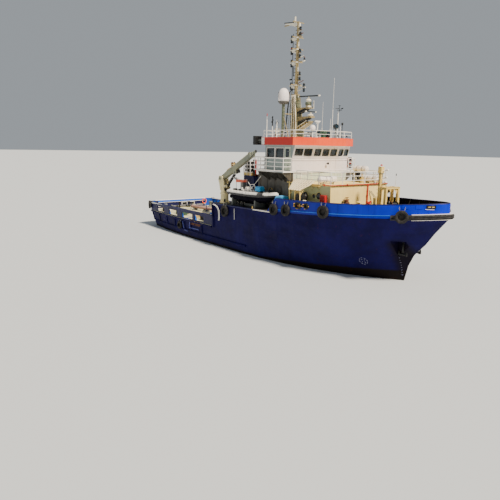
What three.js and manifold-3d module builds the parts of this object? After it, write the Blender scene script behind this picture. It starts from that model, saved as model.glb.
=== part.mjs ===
// A twin-screw towing tug of about 39 m, afloat, as a scene graph of named solids.
// Millimetres. +X is the bow, +Y port, +Z up. The origin is amidships on the waterline.
import * as THREE from "three";
import { mergeVertices } from "three/addons/utils/BufferGeometryUtils.js";
import Module from "manifold-3d";

const wasm = await Module();
wasm.setup();

// Clear space between two pieces that touch in life, and between two that move.
const GAP = 0.3;
const RUNNING_GAP = 6;
const BEARING_GAP = 0.6; // at a shaft, pin, bush or runner
const FAR = 30000;
const SIDES = { stbd: -1, port: 1 };

// Finishes.
// Name of a finish: colour, roughness, metalness.
const FINISHES = {
  navy: [0x1b1d4e, 0.45, 0.0],
  blue: [0x1a3fae, 0.4, 0.0],
  cream: [0xd9cf98, 0.55, 0.0],
  white: [0xdcd6d4, 0.5, 0.0],
  orange: [0xe0603c, 0.5, 0.0],
  rubber: [0x17171a, 0.9, 0.0],
  grey: [0x9a9a9c, 0.8, 0.0],
  steel: [0x4c4f52, 0.5, 0.7],
  bronze: [0xa8853f, 0.35, 0.9],
  glass: [0x1d2830, 0.1, 0.0],
  black: [0x1c1e20, 0.6, 0.2],
};

const finishes = Object.fromEntries(
  Object.entries(FINISHES).map(([name, [color, roughness, metalness]]) => [
    name,
    new THREE.MeshStandardMaterial({ name, color, roughness, metalness }),
  ]),
);

const tug = new THREE.Group();

// Solids.
/** A closed geometry as a solid that can be joined and cut. */
function solid(geometry) {
  const bare = geometry.clone();
  bare.deleteAttribute("normal");
  bare.deleteAttribute("uv");
  const merged = mergeVertices(bare, 1e-3);
  return new wasm.Manifold(
    new wasm.Mesh({
      numProp: 3,
      vertProperties: new Float32Array(merged.attributes.position.array),
      triVerts: new Uint32Array(merged.index.array),
    }),
  );
}

/** One solid out of many. */
const join = (...solids) => solids.flat().reduce((whole, next) => whole.add(next));

/** A block between two opposite corners. */
function box(x0, x1, y0, y1, z0, z1) {
  const g = new THREE.BoxGeometry(x1 - x0, y1 - y0, z1 - z0);
  return solid(g.translate((x0 + x1) / 2, (y0 + y1) / 2, (z0 + z1) / 2));
}

/** An outline's geometry, from 0 to depth along its normal. */
function prism(points, depth) {
  const shape = new THREE.Shape(points.map(([u, v]) => new THREE.Vector2(u, v)));
  return new THREE.ExtrudeGeometry(shape, { depth, bevelEnabled: false, curveSegments: 8 });
}

/** A plan outline (x, y) from z0 up to z1. */
const slab = (points, z0, z1) => solid(prism(points, z1 - z0).translate(0, 0, z0));

/** A side outline (x, z) from y0 across to y1. */
const profile = (points, y0, y1) =>
  solid(prism(points, y1 - y0).rotateX(Math.PI / 2).translate(0, y1, 0));

/** A front outline (y, z) from x0 along to x1. */
function section(points, x0, x1) {
  const turn = new THREE.Matrix4().set(0, 0, 1, x0, 1, 0, 0, 0, 0, 1, 0, 0, 0, 0, 0, 1);
  return solid(prism(points, x1 - x0).applyMatrix4(turn));
}

/** Moves a geometry that runs along +Y from the origin so that it runs from a to b. */
function between(geometry, a, b) {
  const from = new THREE.Vector3(...a);
  const along = new THREE.Vector3(...b).sub(from);
  const turn = new THREE.Quaternion().setFromUnitVectors(
    new THREE.Vector3(0, 1, 0),
    along.clone().normalize(),
  );
  return geometry.applyQuaternion(turn).translate(from.x, from.y, from.z);
}

const distance = (a, b) => Math.hypot(b[0] - a[0], b[1] - a[1], b[2] - a[2]);

/** A round bar, or a cone with a second radius. */
function rod(a, b, radius, { end = radius, segments = 12 } = {}) {
  const length = distance(a, b);
  const g = new THREE.CylinderGeometry(end, radius, length, segments);
  return solid(between(g.translate(0, length / 2, 0), a, b));
}

/** A straight bar of rectangular section, kept upright: wide across, tall in z. */
function bar(a, b, wide, tall) {
  const along = new THREE.Vector3(b[0] - a[0], b[1] - a[1], b[2] - a[2]);
  const length = along.length();
  const x = along.clone().normalize();
  const upright = Math.abs(x.z) > 0.999 ? new THREE.Vector3(1, 0, 0) : new THREE.Vector3(0, 0, 1);
  const y = upright.clone().cross(x).normalize();
  const z = x.clone().cross(y);
  const turn = new THREE.Matrix4().makeBasis(x, y, z);
  turn.setPosition((a[0] + b[0]) / 2, (a[1] + b[1]) / 2, (a[2] + b[2]) / 2);
  return solid(new THREE.BoxGeometry(length, wide, tall).applyMatrix4(turn));
}

/** A turned solid: profile of (radius, height) about +Z, then set at a point along an axis. */
function turned(points, at, axis = [0, 0, 1], segments = 16) {
  const outline = points.map(([r, h]) => new THREE.Vector2(r, h));
  const g = new THREE.LatheGeometry(outline, segments);
  const to = [at[0] + axis[0], at[1] + axis[1], at[2] + axis[2]];
  between(g, at, to);
  const made = solid(g);
  return made.volume() < 0 ? solid(reversed(g)) : made;
}

/** The same surface with its faces turned round. */
function reversed(geometry) {
  const g = geometry.clone();
  const index = g.index.array;
  for (let i = 0; i < index.length; i += 3) [index[i + 1], index[i + 2]] = [index[i + 2], index[i + 1]];
  return g;
}

/** A tyre: a ring of rounded section about an axis. */
function tyre(at, axis, radius = 500, thick = 190) {
  const tread = radius - thick * 0.5;
  const g = new THREE.TorusGeometry(tread, thick * 0.5, 6, 16);
  const turn = new THREE.Quaternion().setFromUnitVectors(
    new THREE.Vector3(0, 0, 1),
    new THREE.Vector3(...axis).normalize(),
  );
  return solid(g.scale(1, 1, 1.25).applyQuaternion(turn).translate(...at));
}

/** A skin over sections of equal count, closed by a cap at each end. */
function loft(sections) {
  const count = sections[0].length;
  const positions = sections.flat(2);
  const index = [];
  for (let s = 0; s + 1 < sections.length; s++)
    for (let k = 0; k < count; k++) {
      const a = s * count + k;
      const b = s * count + ((k + 1) % count);
      index.push(a, b, a + count, b, b + count, a + count);
    }
  // Each section is mirror-symmetric, so its cap is a strip between the two sides.
  const cap = (base, flip) => {
    for (let k = 0; k < count / 2 - 1; k++) {
      const [a, b, c, d] = [k, k + 1, count - 2 - k, count - 1 - k].map((i) => base + i);
      index.push(...(flip ? [a, b, c, a, c, d] : [a, c, b, a, d, c]));
    }
  };
  cap(0, false);
  cap((sections.length - 1) * count, true);
  const g = new THREE.BufferGeometry();
  g.setAttribute("position", new THREE.BufferAttribute(new Float32Array(positions), 3));
  g.setIndex(index);
  const made = solid(g);
  return made.volume() < 0 ? solid(reversed(g)) : made;
}

/** Reads a short table of (x, value) rows by straight lines. */
function along(table, x) {
  if (x <= table[0][0]) return table[0][1];
  for (let i = 1; i < table.length; i++)
    if (x <= table[i][0]) {
      const [[x0, v0], [x1, v1]] = [table[i - 1], table[i]];
      return v0 + ((v1 - v0) * (x - x0)) / (x1 - x0 || 1);
    }
  return table[table.length - 1][1];
}

/** Adds one named piece to the tug. */
function piece(name, made, finish) {
  const mesh = made.getMesh();
  const g = new THREE.BufferGeometry();
  g.setAttribute("position", new THREE.BufferAttribute(mesh.vertProperties, 3));
  g.setIndex(new THREE.BufferAttribute(mesh.triVerts, 1));
  g.computeVertexNormals();
  const node = new THREE.Mesh(g, finishes[finish]);
  node.name = name;
  tug.add(node);
}

// Hull form.
const BOW = 19430;
const STERN = -19400;
const STEP = -3600; // where the raised forecastle deck ends
const MAIN_DECK = 2000;
const BULWARK_AFT_TOP = 3000;
const STEM_HALF = 60;
const STERN_CORNER = 700;

const KEEL = [[-19400, -250], [-17500, -700], [-15000, -1500], [-12000, -2600],
  [-9500, -3400], [-7000, -3800], [-4500, -3900], [20000, -3900]];
const TOP = [[-20000, 5600], [0, 5600], [7000, 5680], [11000, 5740], [14000, 5860], [16500, 6010], [BOW, 6250]];
const FORE_DECK = [[STEP, 4350], [5500, 4500], [11000, 4750], [15000, 4950], [BOW, 5250], [25000, 5630]];

// Levels of the hull: share of the height (-1 keel, 0 water, 1 bulwark top), half breadth amidships,
// x where the entry starts, its power and roundness, stem, x where the run starts, transom, half breadth there.
const LEVELS = [
  { up: -1.0, half: 900, entry: 1000, power: 2.0, round: 1.0, stem: 13300, run: -4000, transom: -17900, aft: 300 },
  { up: -0.97, half: 3300, entry: -1000, power: 2.0, round: 1.0, stem: 14300, run: -5000, transom: -18300, aft: 1500 },
  { up: -0.8, half: 4450, entry: -2000, power: 2.2, round: 1.0, stem: 15200, run: -6000, transom: -18600, aft: 2700 },
  { up: -0.45, half: 4750, entry: -2000, power: 2.5, round: 1.0, stem: 15850, run: -7000, transom: -18800, aft: 3500 },
  { up: 0.0, half: 4800, entry: -2000, power: 2.75, round: 1.0, stem: 16170, run: -8000, transom: -18950, aft: 3900 },
  { up: 0.2, half: 4860, entry: -500, power: 2.8, round: 0.95, stem: 16450, run: -9000, transom: -19150, aft: 4200 },
  { up: 0.35, half: 4920, entry: 1000, power: 2.8, round: 0.9, stem: 16900, run: -10000, transom: -19350, aft: 4450 },
  { up: 0.5, half: 4960, entry: 2200, power: 2.8, round: 0.86, stem: 17790, run: -11000, transom: STERN, aft: 4500 },
  { up: 0.65, half: 4990, entry: 3600, power: 2.8, round: 0.8, stem: 18480, run: -11000, transom: STERN, aft: 4500 },
  { up: 0.82, half: 5000, entry: 5000, power: 2.8, round: 0.75, stem: BOW, run: -11000, transom: STERN, aft: 4500 },
  { up: 1.0, half: 5000, entry: 5000, power: 2.8, round: 0.75, stem: BOW, run: -11000, transom: STERN, aft: 4500 },
];

const STATIONS = [-19400, -19330, -19150, -18800, -18000, -17000, -16000, -14500, -13000, -11500, -10000, -8500,
  -7000, -4500, -2000, 1000, 4000, 6500, 8500, 10300, 12000, 13400, 14600, 15700, 16600, 17400, 18100, 18650,
  19050, 19280, 19390, BOW];
const BOW_STARTS = 9000;
const STERN_STARTS = -14000;

/** The x of a level at a station: the ends of each level follow the raked stem and the transom. */
function levelX(level, station, inset) {
  const stem = level.stem - inset;
  const transom = level.transom + inset;
  if (station > BOW_STARTS)
    return BOW_STARTS + ((station - BOW_STARTS) * (stem - BOW_STARTS)) / (BOW - BOW_STARTS);
  if (station < STERN_STARTS)
    return STERN_STARTS + ((station - STERN_STARTS) * (transom - STERN_STARTS)) / (STERN - STERN_STARTS);
  return station;
}

/** Half the breadth of a level at x. */
function halfBreadth(level, x, inset) {
  let half = level.half;
  if (x > level.entry) {
    const s = Math.min(1, (x - level.entry) / (level.stem - inset - level.entry));
    half *= Math.max(0, 1 - s ** level.power) ** level.round;
  } else if (x < level.run) {
    const s = (level.run - x) / (level.run - level.transom);
    half += (level.aft - level.half) * s * s;
  }
  const toTransom = x - (level.transom + inset);
  if (toTransom < STERN_CORNER) {
    const d = STERN_CORNER - Math.max(0, toTransom);
    half -= STERN_CORNER - Math.sqrt(STERN_CORNER ** 2 - d ** 2);
  }
  return Math.max(STEM_HALF, half - inset);
}

/** The hull's form up to the bulwark's top, all of it moved in by a distance; a cutter's top is lifted clear. */
function hullForm(inset = 0, lift = 0) {
  const sections = STATIONS.map((station) => {
    const side = LEVELS.map((level) => {
      const x = levelX(level, station, inset);
      const z = level.up < 0 ? -level.up * along(KEEL, x) : level.up * along(TOP, x) + (level.up === 1 ? lift : 0);
      return [x, halfBreadth(level, x, inset), z];
    });
    return [...side.map(([x, y, z]) => [x, -y, z]), ...side.reverse()];
  });
  return loft(sections);
}

/** Half the breadth of the hull's side at x and height z, for what hangs on it. */
function sideY(x, z) {
  const share = z < 0 ? -z / along(KEEL, x) : z / along(TOP, x);
  const i = Math.max(1, LEVELS.findIndex((level) => level.up >= share));
  const [low, high] = [LEVELS[i - 1], LEVELS[i]];
  const t = (share - low.up) / (high.up - low.up);
  return halfBreadth(low, x, 0) * (1 - t) + halfBreadth(high, x, 0) * t;
}

/** A side outline between two lines over x. */
function bandBetween(x0, x1, lower, upper, step = 700) {
  const xs = [];
  for (let x = x0; x < x1 - 1; x += step) xs.push(x);
  xs.push(x1);
  const points = [...xs.map((x) => [x, lower(x)]), ...xs.reverse().map((x) => [x, upper(x)])];
  return profile(points, -7000, 7000);
}

const foreDeck = (x) => along(FORE_DECK, x);
const form = hullForm();
const belowDecks = profile(
  [[-FAR, -6000], [FAR, -6000], [FAR, 5980], [25000, 5630], [BOW, 5250], [15000, 4950], [11000, 4750],
    [5500, 4500], [STEP, 4350], [STEP, MAIN_DECK], [-FAR, MAIN_DECK]], -7000, 7000);
const aboveForeDeck = bandBetween(STEP + 50, BOW, (x) => foreDeck(x) + GAP, () => 12000, 500);

/** Cuts a piece that stands on the sloping forecastle deck along that deck. */
const onForeDeck = (made) => made.intersect(aboveForeDeck);

// Hull.
const SHAFT = { y: 2300, z: -2500, radius: 190, from: -10500, to: -15200 };
const NOZZLE = { x0: -16100, x1: -15000, bore: 1130, outer: 1290 };
const ANCHOR_POCKET = { x0: 16050, x1: 16950, z0: 2000, z1: 3250, depth: 380 };
const RUDDER = { x: -17000, front: -16560, aft: -17950, low: -3600, high: -1250, trunk: -960 };
const THRUSTER = { x: 13100, z: -1900, radius: 560, depth: 420 };

/** A nozzle ring with the block that hangs it from the hull. */
function makeNozzle(side) {
  const { x0, x1, bore, outer } = NOZZLE;
  const length = x1 - x0;
  const y = side * SHAFT.y;
  const headbox = box(x0 + 250, x1 - 60, y - 350, y + 350, SHAFT.z + bore + 60, -900);
  const ring = [[bore, 0], [bore + 40, 0], [outer - 40, length * 0.55], [outer, length * 0.85],
    [outer - 60, length], [bore + 70, length], [bore, length * 0.75], [bore, 0]];
  return join(turned(ring, [x0, y, SHAFT.z], [1, 0, 0], 24), headbox).subtract(hullForm(-GAP));
}

// A low cargo hatch on the work deck, whose cover is a flat face that gear stands on.
const HATCH = { x0: -12500, x1: -10500, half: 900, top: MAIN_DECK + 90 };

function makeHull() {
  const skeg = profile([[-5000, -3500], [-5000, -3900], [-13600, -3900], [-14300, -3200], [-14500, -1000],
    [-9000, -1000]], -260, 260);
  const hatch = box(HATCH.x0, HATCH.x1, -HATCH.half, HATCH.half, MAIN_DECK - 50, HATCH.top);
  let hull = join(form.intersect(belowDecks), skeg, hatch);
  for (const side of Object.values(SIDES)) {
    const y = side * SHAFT.y;
    const bossing = rod([SHAFT.from, y, SHAFT.z], [SHAFT.to, y, SHAFT.z], SHAFT.radius, { segments: 16 });
    const strut = box(-14700, -14300, y - 60, y + 60, SHAFT.z, -1200);
    const trunk = rod([RUDDER.x, y, RUDDER.trunk], [RUDDER.x, y, -400], 170, { segments: 16 });
    hull = join(hull, bossing, strut, trunk);
    const pocketY = sideY(16500, 2800) - ANCHOR_POCKET.depth;
    const [near, far] = side < 0 ? [-6000, -pocketY] : [pocketY, 6000];
    hull = hull.subtract(box(ANCHOR_POCKET.x0, ANCHOR_POCKET.x1, near, far, ANCHOR_POCKET.z0, ANCHOR_POCKET.z1));
    const tunnelY = sideY(THRUSTER.x, THRUSTER.z) - THRUSTER.depth;
    hull = hull.subtract(rod([THRUSTER.x, side * tunnelY, THRUSTER.z], [THRUSTER.x, side * 6000, THRUSTER.z],
      THRUSTER.radius, { segments: 20 }));
  }
  return hull;
}

piece("hull", makeHull(), "navy");

// Bulwarks, fender, strakes.
const BULWARK = 110;
const inner = hullForm(BULWARK, 500);
const BULWARK_AFT_END = 5300;
const BULWARK_SLANT = 1200; // how far its after end leans forward from deck to top
// Middle, half length, distance below the bulwark's top and half height of each chock opening.
const CHOCKS = [[9150, 290, 380, 200], [10020, 180, 360, 170], [17450, 170, 190, 90], [18150, 170, 190, 90]];
// Middle and half length of each freeing port.
const FREEING_PORTS = [[-15600, 1000], [-12200, 1000], [-8900, 1150], [-6350, 950]];

function makeForecastleBulwark() {
  const start = BULWARK_AFT_END + BULWARK_SLANT;
  const outline = bandBetween(start, BOW + 600, (x) => foreDeck(x) + GAP, () => 7000, 450);
  const slant = profile([[BULWARK_AFT_END, foreDeck(BULWARK_AFT_END) + GAP], [start + 1, foreDeck(start + 1) + GAP],
    [start + 1, 7000], [start, 7000], [start, 5800]], -7000, 7000);
  let wall = form.subtract(inner).intersect(join(outline, slant));
  for (const [x, half, drop, tall] of CHOCKS) {
    const mid = along(TOP, x) - drop;
    wall = wall.subtract(box(x - half, x + half, -7000, 7000, mid - tall, mid + tall));
  }
  return wall;
}

function makeAftBulwark() {
  let wall = form.subtract(inner).intersect(
    box(-FAR, STEP - GAP, -7000, 7000, MAIN_DECK + GAP, BULWARK_AFT_TOP));
  for (const [x, half] of FREEING_PORTS)
    wall = wall.subtract(box(x - half, x + half, -7000, 7000, MAIN_DECK + 90, MAIN_DECK + 680));
  return wall;
}

const FENDER = 330;
const FENDER_LOW = [[16000, 4890], [17200, 4980], [19200, 5160], [20000, 5240]];
const FENDER_STARTS = 16600;
const BOW_TYRE = { x: 17500, z: 5270, radius: 470 };

function makeBowFender() {
  const outline = bandBetween(FENDER_STARTS, BOW + 800, (x) => along(FENDER_LOW, x),
    (x) => along(FENDER_LOW, x) + 360, 450);
  let fender = hullForm(-FENDER).subtract(hullForm(-GAP)).intersect(outline);
  for (const side of Object.values(SIDES))
    fender = join(fender, hullTyre(side, BOW_TYRE.x, BOW_TYRE.z, BOW_TYRE.radius));
  return fender.subtract(hullForm(-GAP));
}

const TYRE_STAND_OFF = 125;

/** A tyre against the hull's side, turned to lie along it. */
function hullTyre(side, x, z, radius = 490) {
  const slope = (sideY(x + 400, z) - sideY(x - 400, z)) / 800;
  const off = TYRE_STAND_OFF * Math.hypot(1, slope);
  return tyre([x, side * (sideY(x, z) + off), z], [-slope, side, 0], radius, 200);
}

// x, z and radius of the tyres along one side.
const TYRES = [[6190, 4850, 490], [7580, 4900, 490], [11600, 5050, 500], [-1400, 3650, 560], [-18300, 2450, 500]];
const STRAKE = 130;

function makeStrake(side) {
  const outer = hullForm(-STRAKE);
  const bead = hullForm(-45);
  const near = hullForm(-GAP);
  const half = side < 0 ? box(-FAR, FAR, -7000, -300, -6000, 9000) : box(-FAR, FAR, 300, 7000, -6000, 9000);
  const strips = join(
    bandBetween(-18700, 2000, () => 700, () => 900, 3000),
    bandBetween(-18700, STEP - 200, () => 1750, () => MAIN_DECK - 20, 3000),
    ...[-18400, -14000, -9500, -8000].map((x) => box(x - 90, x + 90, -7000, 7000, 700, 1900)),
    // The guard that climbs from the main deck's strake to the forecastle's edge.
    profile([[STEP - 600, 1760], [STEP + 250, 1760], [STEP + 250, 4300], [STEP + 60, 4300], [STEP + 60, 2600],
      [STEP - 100, 2150], [STEP - 600, 1980]], -7000, 7000),
  );
  const edge = bandBetween(STEP + 60, 16100, (x) => foreDeck(x) + 150, (x) => foreDeck(x) + 230, 1500)
    .intersect(box(BULWARK_AFT_END + 700, FAR, -7000, 7000, 0, 9000));
  const gunwale = bandBetween(STEP + 60, BULWARK_AFT_END + 900, (x) => foreDeck(x) - 130,
    (x) => foreDeck(x) - 30, 1500);
  // The chain straps that two tyres hang by.
  const straps = join(box(-1460, -1340, -7000, 7000, 3900, 4400), box(-18360, -18240, -7000, 7000, 1900, 2300));
  const rise = box(BULWARK_AFT_END + 700, BULWARK_AFT_END + 900, -7000, 7000,
    foreDeck(BULWARK_AFT_END) - 120, foreDeck(BULWARK_AFT_END) + 200);
  let strake = join(outer.intersect(strips), bead.intersect(join(edge, gunwale, rise, straps)));
  for (const [x, z, radius] of TYRES) strake = join(strake, hullTyre(side, x, z, radius));
  return strake.intersect(half).subtract(near);
}

piece("forecastle_bulwark", makeForecastleBulwark(), "blue");
piece("aft_bulwark", makeAftBulwark(), "navy");
piece("bow_fender", makeBowFender(), "rubber");
for (const [name, side] of Object.entries(SIDES)) piece(`strake_${name}`, makeStrake(side), "rubber");

// Houses.
const HOUSE_TOP = 7000;
const BRIDGE_DECK = 7920;
const HOUSE = { aft: 6400, front: 11200, half: 3360 };
const WHEELHOUSE = { aft: 2800, corner: 6530, front: 6950, half: 3370, frontHalf: 1490, wall: 80, top: 10100 };

/** A plan outline from its starboard half, mirrored to port. */
const mirrored = (half) => [...half, ...half.map(([x, y]) => [x, -y]).reverse()];

const accommodationPlan = (grow = 0) => mirrored([
  [1350 - grow, -3000 - grow], [5300 - grow, -3000 - grow], [5300 - grow, -3360 - grow],
  [WHEELHOUSE.corner + grow * 0.3, -3360 - grow], [WHEELHOUSE.front + grow, -WHEELHOUSE.frontHalf - grow * 0.2],
]);
const casing = { aft: -3000, half: 1900, top: 6600 };

piece("accommodation", onForeDeck(join(
  slab(accommodationPlan(), 4000, 7800 - GAP),
  box(casing.aft, 1400, -casing.half, casing.half, 4000, casing.top),
)), "grey");

piece("forecastle_house", onForeDeck(
  box(HOUSE.aft, HOUSE.front, -HOUSE.half, HOUSE.half, 4000, HOUSE_TOP)
    .subtract(slab(accommodationPlan(GAP), 3000, 8000)),
), "cream");

const bridgePlan = mirrored([
  [1300, -3500], [3000, -3500], [3000, -4430], [6620, -4430], [6620, -3420], [7010, -1500],
]);
piece("bridge_deck", slab(bridgePlan, 7800, BRIDGE_DECK), "cream");

const FUNNEL = { aft: -1400, front: 300, inner: 1900, outer: 2700, top: 7150 };
for (const [name, side] of Object.entries(SIDES)) {
  const [y0, y1] = side < 0 ? [-FUNNEL.outer, -FUNNEL.inner - GAP] : [FUNNEL.inner + GAP, FUNNEL.outer];
  piece(`funnel_${name}`, onForeDeck(profile([[FUNNEL.aft, 4000], [FUNNEL.front, 4000],
    [FUNNEL.front, FUNNEL.top - 400], [FUNNEL.front - 200, FUNNEL.top], [FUNNEL.aft, FUNNEL.top]], y0, y1)), "navy");
}

// Wheelhouse.
const wheelhousePlan = (inset) => mirrored([
  [WHEELHOUSE.aft + inset, -WHEELHOUSE.half + inset], [WHEELHOUSE.corner - inset * 0.8, -WHEELHOUSE.half + inset],
  [WHEELHOUSE.front - inset, -WHEELHOUSE.frontHalf + inset * 0.1],
]);
const WALL_FOOT = BRIDGE_DECK + GAP;
const WINDOW = { low: 9210, high: 9830, wide: 800 };
const SPLIT = 6300; // where the side walls meet the front
const DOOR = { aft: 5620, front: 6260, sill: 8060, head: 9900, thick: 40, lap: 50 };
const HINGE = { x: DOOR.front + DOOR.lap + 12, off: 42, knuckle: 14, feet: [8300, 9500], tall: 100 };
const CHAMFER = { x: (WHEELHOUSE.corner + WHEELHOUSE.front) / 2,
  y: (WHEELHOUSE.half + WHEELHOUSE.frontHalf) / 2,
  angle: Math.atan2(WHEELHOUSE.front - WHEELHOUSE.corner, WHEELHOUSE.half - WHEELHOUSE.frontHalf) };

/** A block through the slanting part of the front, for a window at a distance from its middle. */
function chamferWindow(side, offset) {
  const g = new THREE.BoxGeometry(600, WINDOW.wide, WINDOW.high - WINDOW.low);
  g.translate(0, offset, 0).rotateZ(side * CHAMFER.angle);
  return solid(g.translate(CHAMFER.x, side * CHAMFER.y, (WINDOW.low + WINDOW.high) / 2));
}

// The front's window band leans forward above this height.
const LEAN = { from: 9070, slope: 0.28 };
const leant = (made) => made.transform(
  [1, 0, 0, 0, 0, 1, 0, 0, LEAN.slope, 0, 1, 0, -LEAN.slope * LEAN.from, 0, 0, 1]);

const walls = (low, high) => slab(wheelhousePlan(0), low, high)
  .subtract(slab(wheelhousePlan(WHEELHOUSE.wall), 7000, 12000));
const shell = walls(WALL_FOOT, WHEELHOUSE.top - GAP);
const frontWindows = join(
  ...[-960, 0, 960].map((y) => box(6700, 7200, y - WINDOW.wide / 2, y + WINDOW.wide / 2, WINDOW.low, WINDOW.high)),
  ...Object.values(SIDES).flatMap((side) => [-450, 450].map((offset) => chamferWindow(side, offset))),
);
// The brackets that the wing doors' knuckles stand on.
const hingeBrackets = Object.values(SIDES).flatMap((side) => HINGE.feet.map((z) => {
  const ends = [side * (WHEELHOUSE.half - 30), side * (WHEELHOUSE.half + HINGE.off + 8)].sort((a, b) => a - b);
  return box(HINGE.x - 8, HINGE.x + 12, ...ends, z - 40, z - BEARING_GAP);
}));
const windowBand = leant(walls(LEAN.from, WHEELHOUSE.top - GAP).subtract(frontWindows));
piece("wheelhouse_front", join(
  join(walls(WALL_FOOT, LEAN.from), windowBand).intersect(box(SPLIT, FAR, -7000, 7000, 0, 12000)),
  ...hingeBrackets,
), "white");

// Fore-and-aft spans of the side windows.
const SIDE_WINDOWS = [[3050, 4150], [4300, 5400]];
for (const [name, side] of Object.entries(SIDES)) {
  const [y0, y1] = side < 0 ? [-7000, 0] : [0, 7000];
  const wall = shell.intersect(box(WHEELHOUSE.aft + WHEELHOUSE.wall + GAP, SPLIT - GAP, y0, y1, 0, 12000));
  const cuts = SIDE_WINDOWS.map(([x0, x1]) => box(x0, x1, -7000, 7000, 8950, WINDOW.high));
  const doorway = box(DOOR.aft, DOOR.front, -7000, 7000, DOOR.sill, DOOR.head);
  piece(`wheelhouse_side_${name}`, wall.subtract(join(...cuts, doorway)), "white");

  const face = side * WHEELHOUSE.half;
  const leafNear = face + side * 10;
  const leafFar = leafNear + side * DOOR.thick;
  const leaf = box(DOOR.aft - DOOR.lap, DOOR.front + DOOR.lap, Math.min(leafNear, leafFar),
    Math.max(leafNear, leafFar), DOOR.sill - DOOR.lap, DOOR.head + DOOR.lap);
  const pane = box(DOOR.aft + 90, DOOR.front - 90, -7000, 7000, 9100, 9780);
  const knuckles = HINGE.feet.map((z) => rod([HINGE.x, face + side * HINGE.off, z],
    [HINGE.x, face + side * HINGE.off, z + HINGE.tall], HINGE.knuckle, { segments: 12 }));
  piece(`door_${name}`, join(leaf.subtract(pane), ...knuckles), "cream");
}

piece("wheelhouse_aft", box(WHEELHOUSE.aft, WHEELHOUSE.aft + WHEELHOUSE.wall, -WHEELHOUSE.half, WHEELHOUSE.half,
  WALL_FOOT, WHEELHOUSE.top - GAP).subtract(join(
  ...[-2200, -900, 900, 2200].map((y) => box(2000, 3500, y - 450, y + 450, 8950, WINDOW.high)))), "white");

// The panes are two ribbons just inside the walls, which show through every window.
const PANE = 12;
const paneRing = slab(wheelhousePlan(WHEELHOUSE.wall + GAP), 8900, 9890)
  .subtract(slab(wheelhousePlan(WHEELHOUSE.wall + GAP + PANE), 8000, 12000));
piece("glass_front", leant(paneRing).intersect(box(SPLIT + 20, FAR, -7000, 7000, 9150, 9890)), "glass");
piece("glass_aft", paneRing.intersect(box(0, DOOR.aft - 80, -7000, 7000, 8900, 9890)), "glass");

function makeConsole() {
  const floor = box(3400, 6650, -1300, 1300, WALL_FOOT, WALL_FOOT + 30);
  const desk = slab(mirrored([[5900, -1900], [6350, -1900], [6700, -1300]]), WALL_FOOT, 8700);
  const panel = profile([[5950, 8690], [6500, 8690], [6650, 8980], [6450, 8980]], -1250, 1250);
  const seats = [-650, 650].flatMap((y) => [
    box(5000, 5120, y - 60, y + 60, WALL_FOOT + 20, 8400),
    box(4800, 5330, y - 270, y + 270, 8380, 8500),
    box(4780, 4880, y - 260, y + 260, 8450, 9150),
  ]);
  return join(floor, desk, panel, ...seats);
}
piece("helm_console", makeConsole(), "grey");

// Roof.
const ROOF = { low: WHEELHOUSE.top, high: 10750, skin: 40 };
const roofPlan = (inset) => mirrored([
  [2600 + inset, -3640 + inset], [6860 - inset, -3640 + inset], [7760 - inset, -1750 + inset * 0.3],
]);
piece("wheelhouse_roof", slab(roofPlan(ROOF.skin + GAP), ROOF.low, ROOF.high - 30), "cream");
piece("roof_fascia", slab(roofPlan(0), ROOF.low, ROOF.high)
  .subtract(slab(roofPlan(ROOF.skin), 0, 12000)), "orange");

const ROOF_TOP = ROOF.high - 30 + GAP;

/** A guard rail of posts and lines along a path of (x, y) at one height. */
function railing(path, foot, { height = 1050, lines = 3, post = 45, line = 35, spacing = 1500, closed = false } = {}) {
  const corners = closed ? [...path, path[0]] : path;
  const parts = [];
  for (let i = 0; i + 1 < corners.length; i++) {
    const [a, b] = [corners[i], corners[i + 1]];
    const bays = Math.max(1, Math.round(Math.hypot(b[0] - a[0], b[1] - a[1]) / spacing));
    for (let k = 0; k < bays + (!closed && i + 2 === corners.length ? 1 : 0); k++) {
      const [x, y] = [a[0] + ((b[0] - a[0]) * k) / bays, a[1] + ((b[1] - a[1]) * k) / bays];
      parts.push(box(x - post / 2, x + post / 2, y - post / 2, y + post / 2, foot, foot + height));
    }
    for (let k = 1; k <= lines; k++) {
      const z = foot + (height * k) / lines - line / 2 - 2;
      parts.push(bar([a[0], a[1], z], [b[0], b[1], z], line, line));
    }
  }
  return join(...parts);
}

piece("top_rail", railing(mirrored([[2700, -3480], [6780, -3480], [7560, -1700]]), ROOF_TOP,
  { height: 1000, lines: 2, spacing: 1700, closed: true }), "cream");
piece("bridge_rails", railing([[6560, -3500], [6560, -4370], [3060, -4370], [3060, -3440], [1370, -3440],
  [1370, 3440], [3060, 3440], [3060, 4370], [6560, 4370], [6560, 3500]], BRIDGE_DECK + GAP,
{ height: 1100, lines: 2, spacing: 1300 }), "white");
piece("boat_deck_rail", railing([[7100, -3290], [11120, -3290], [11120, 3290], [7100, 3290]], HOUSE_TOP + GAP,
  { height: 1050, lines: 3, spacing: 1500 }), "cream");

/** The dark cased lamp on the roof's after corner. */
piece("roof_lamp_box", join(
  box(1400, 1780, -3740, -2990, 10090, 10880),
  box(1700, 2600 - GAP, -3450, -3250, 10400, 10600),
), "black");

// Mast. The radars' turns are from athwart, in degrees.
const RADARS = {
  main: { x: 4650, z: 14210, length: 2300, bar: 130, platform: 13350, turn: -75 },
  small: { x: 4950, z: 12860, length: 1300, bar: 110, platform: 12560, turn: 0 },
};
const POLE = { x: 2900, top: 20950, tipX: 2400, tipTop: 21450 };
// Height, reach to the aft side and reach to the forward side of each yard.
const YARDS = [[20870, 1900, 0], [19600, 900, 500], [18600, 900, 300], [17500, 900, 700], [15500, 900, 500]];
// Height, aft side, forward side and half breadth of the tower's sections.
const TOWER = [[10900, 2745, 3720, 450], [12300, 2745, 3520, 380], [14700, 2600, 3100, 260]];

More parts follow.
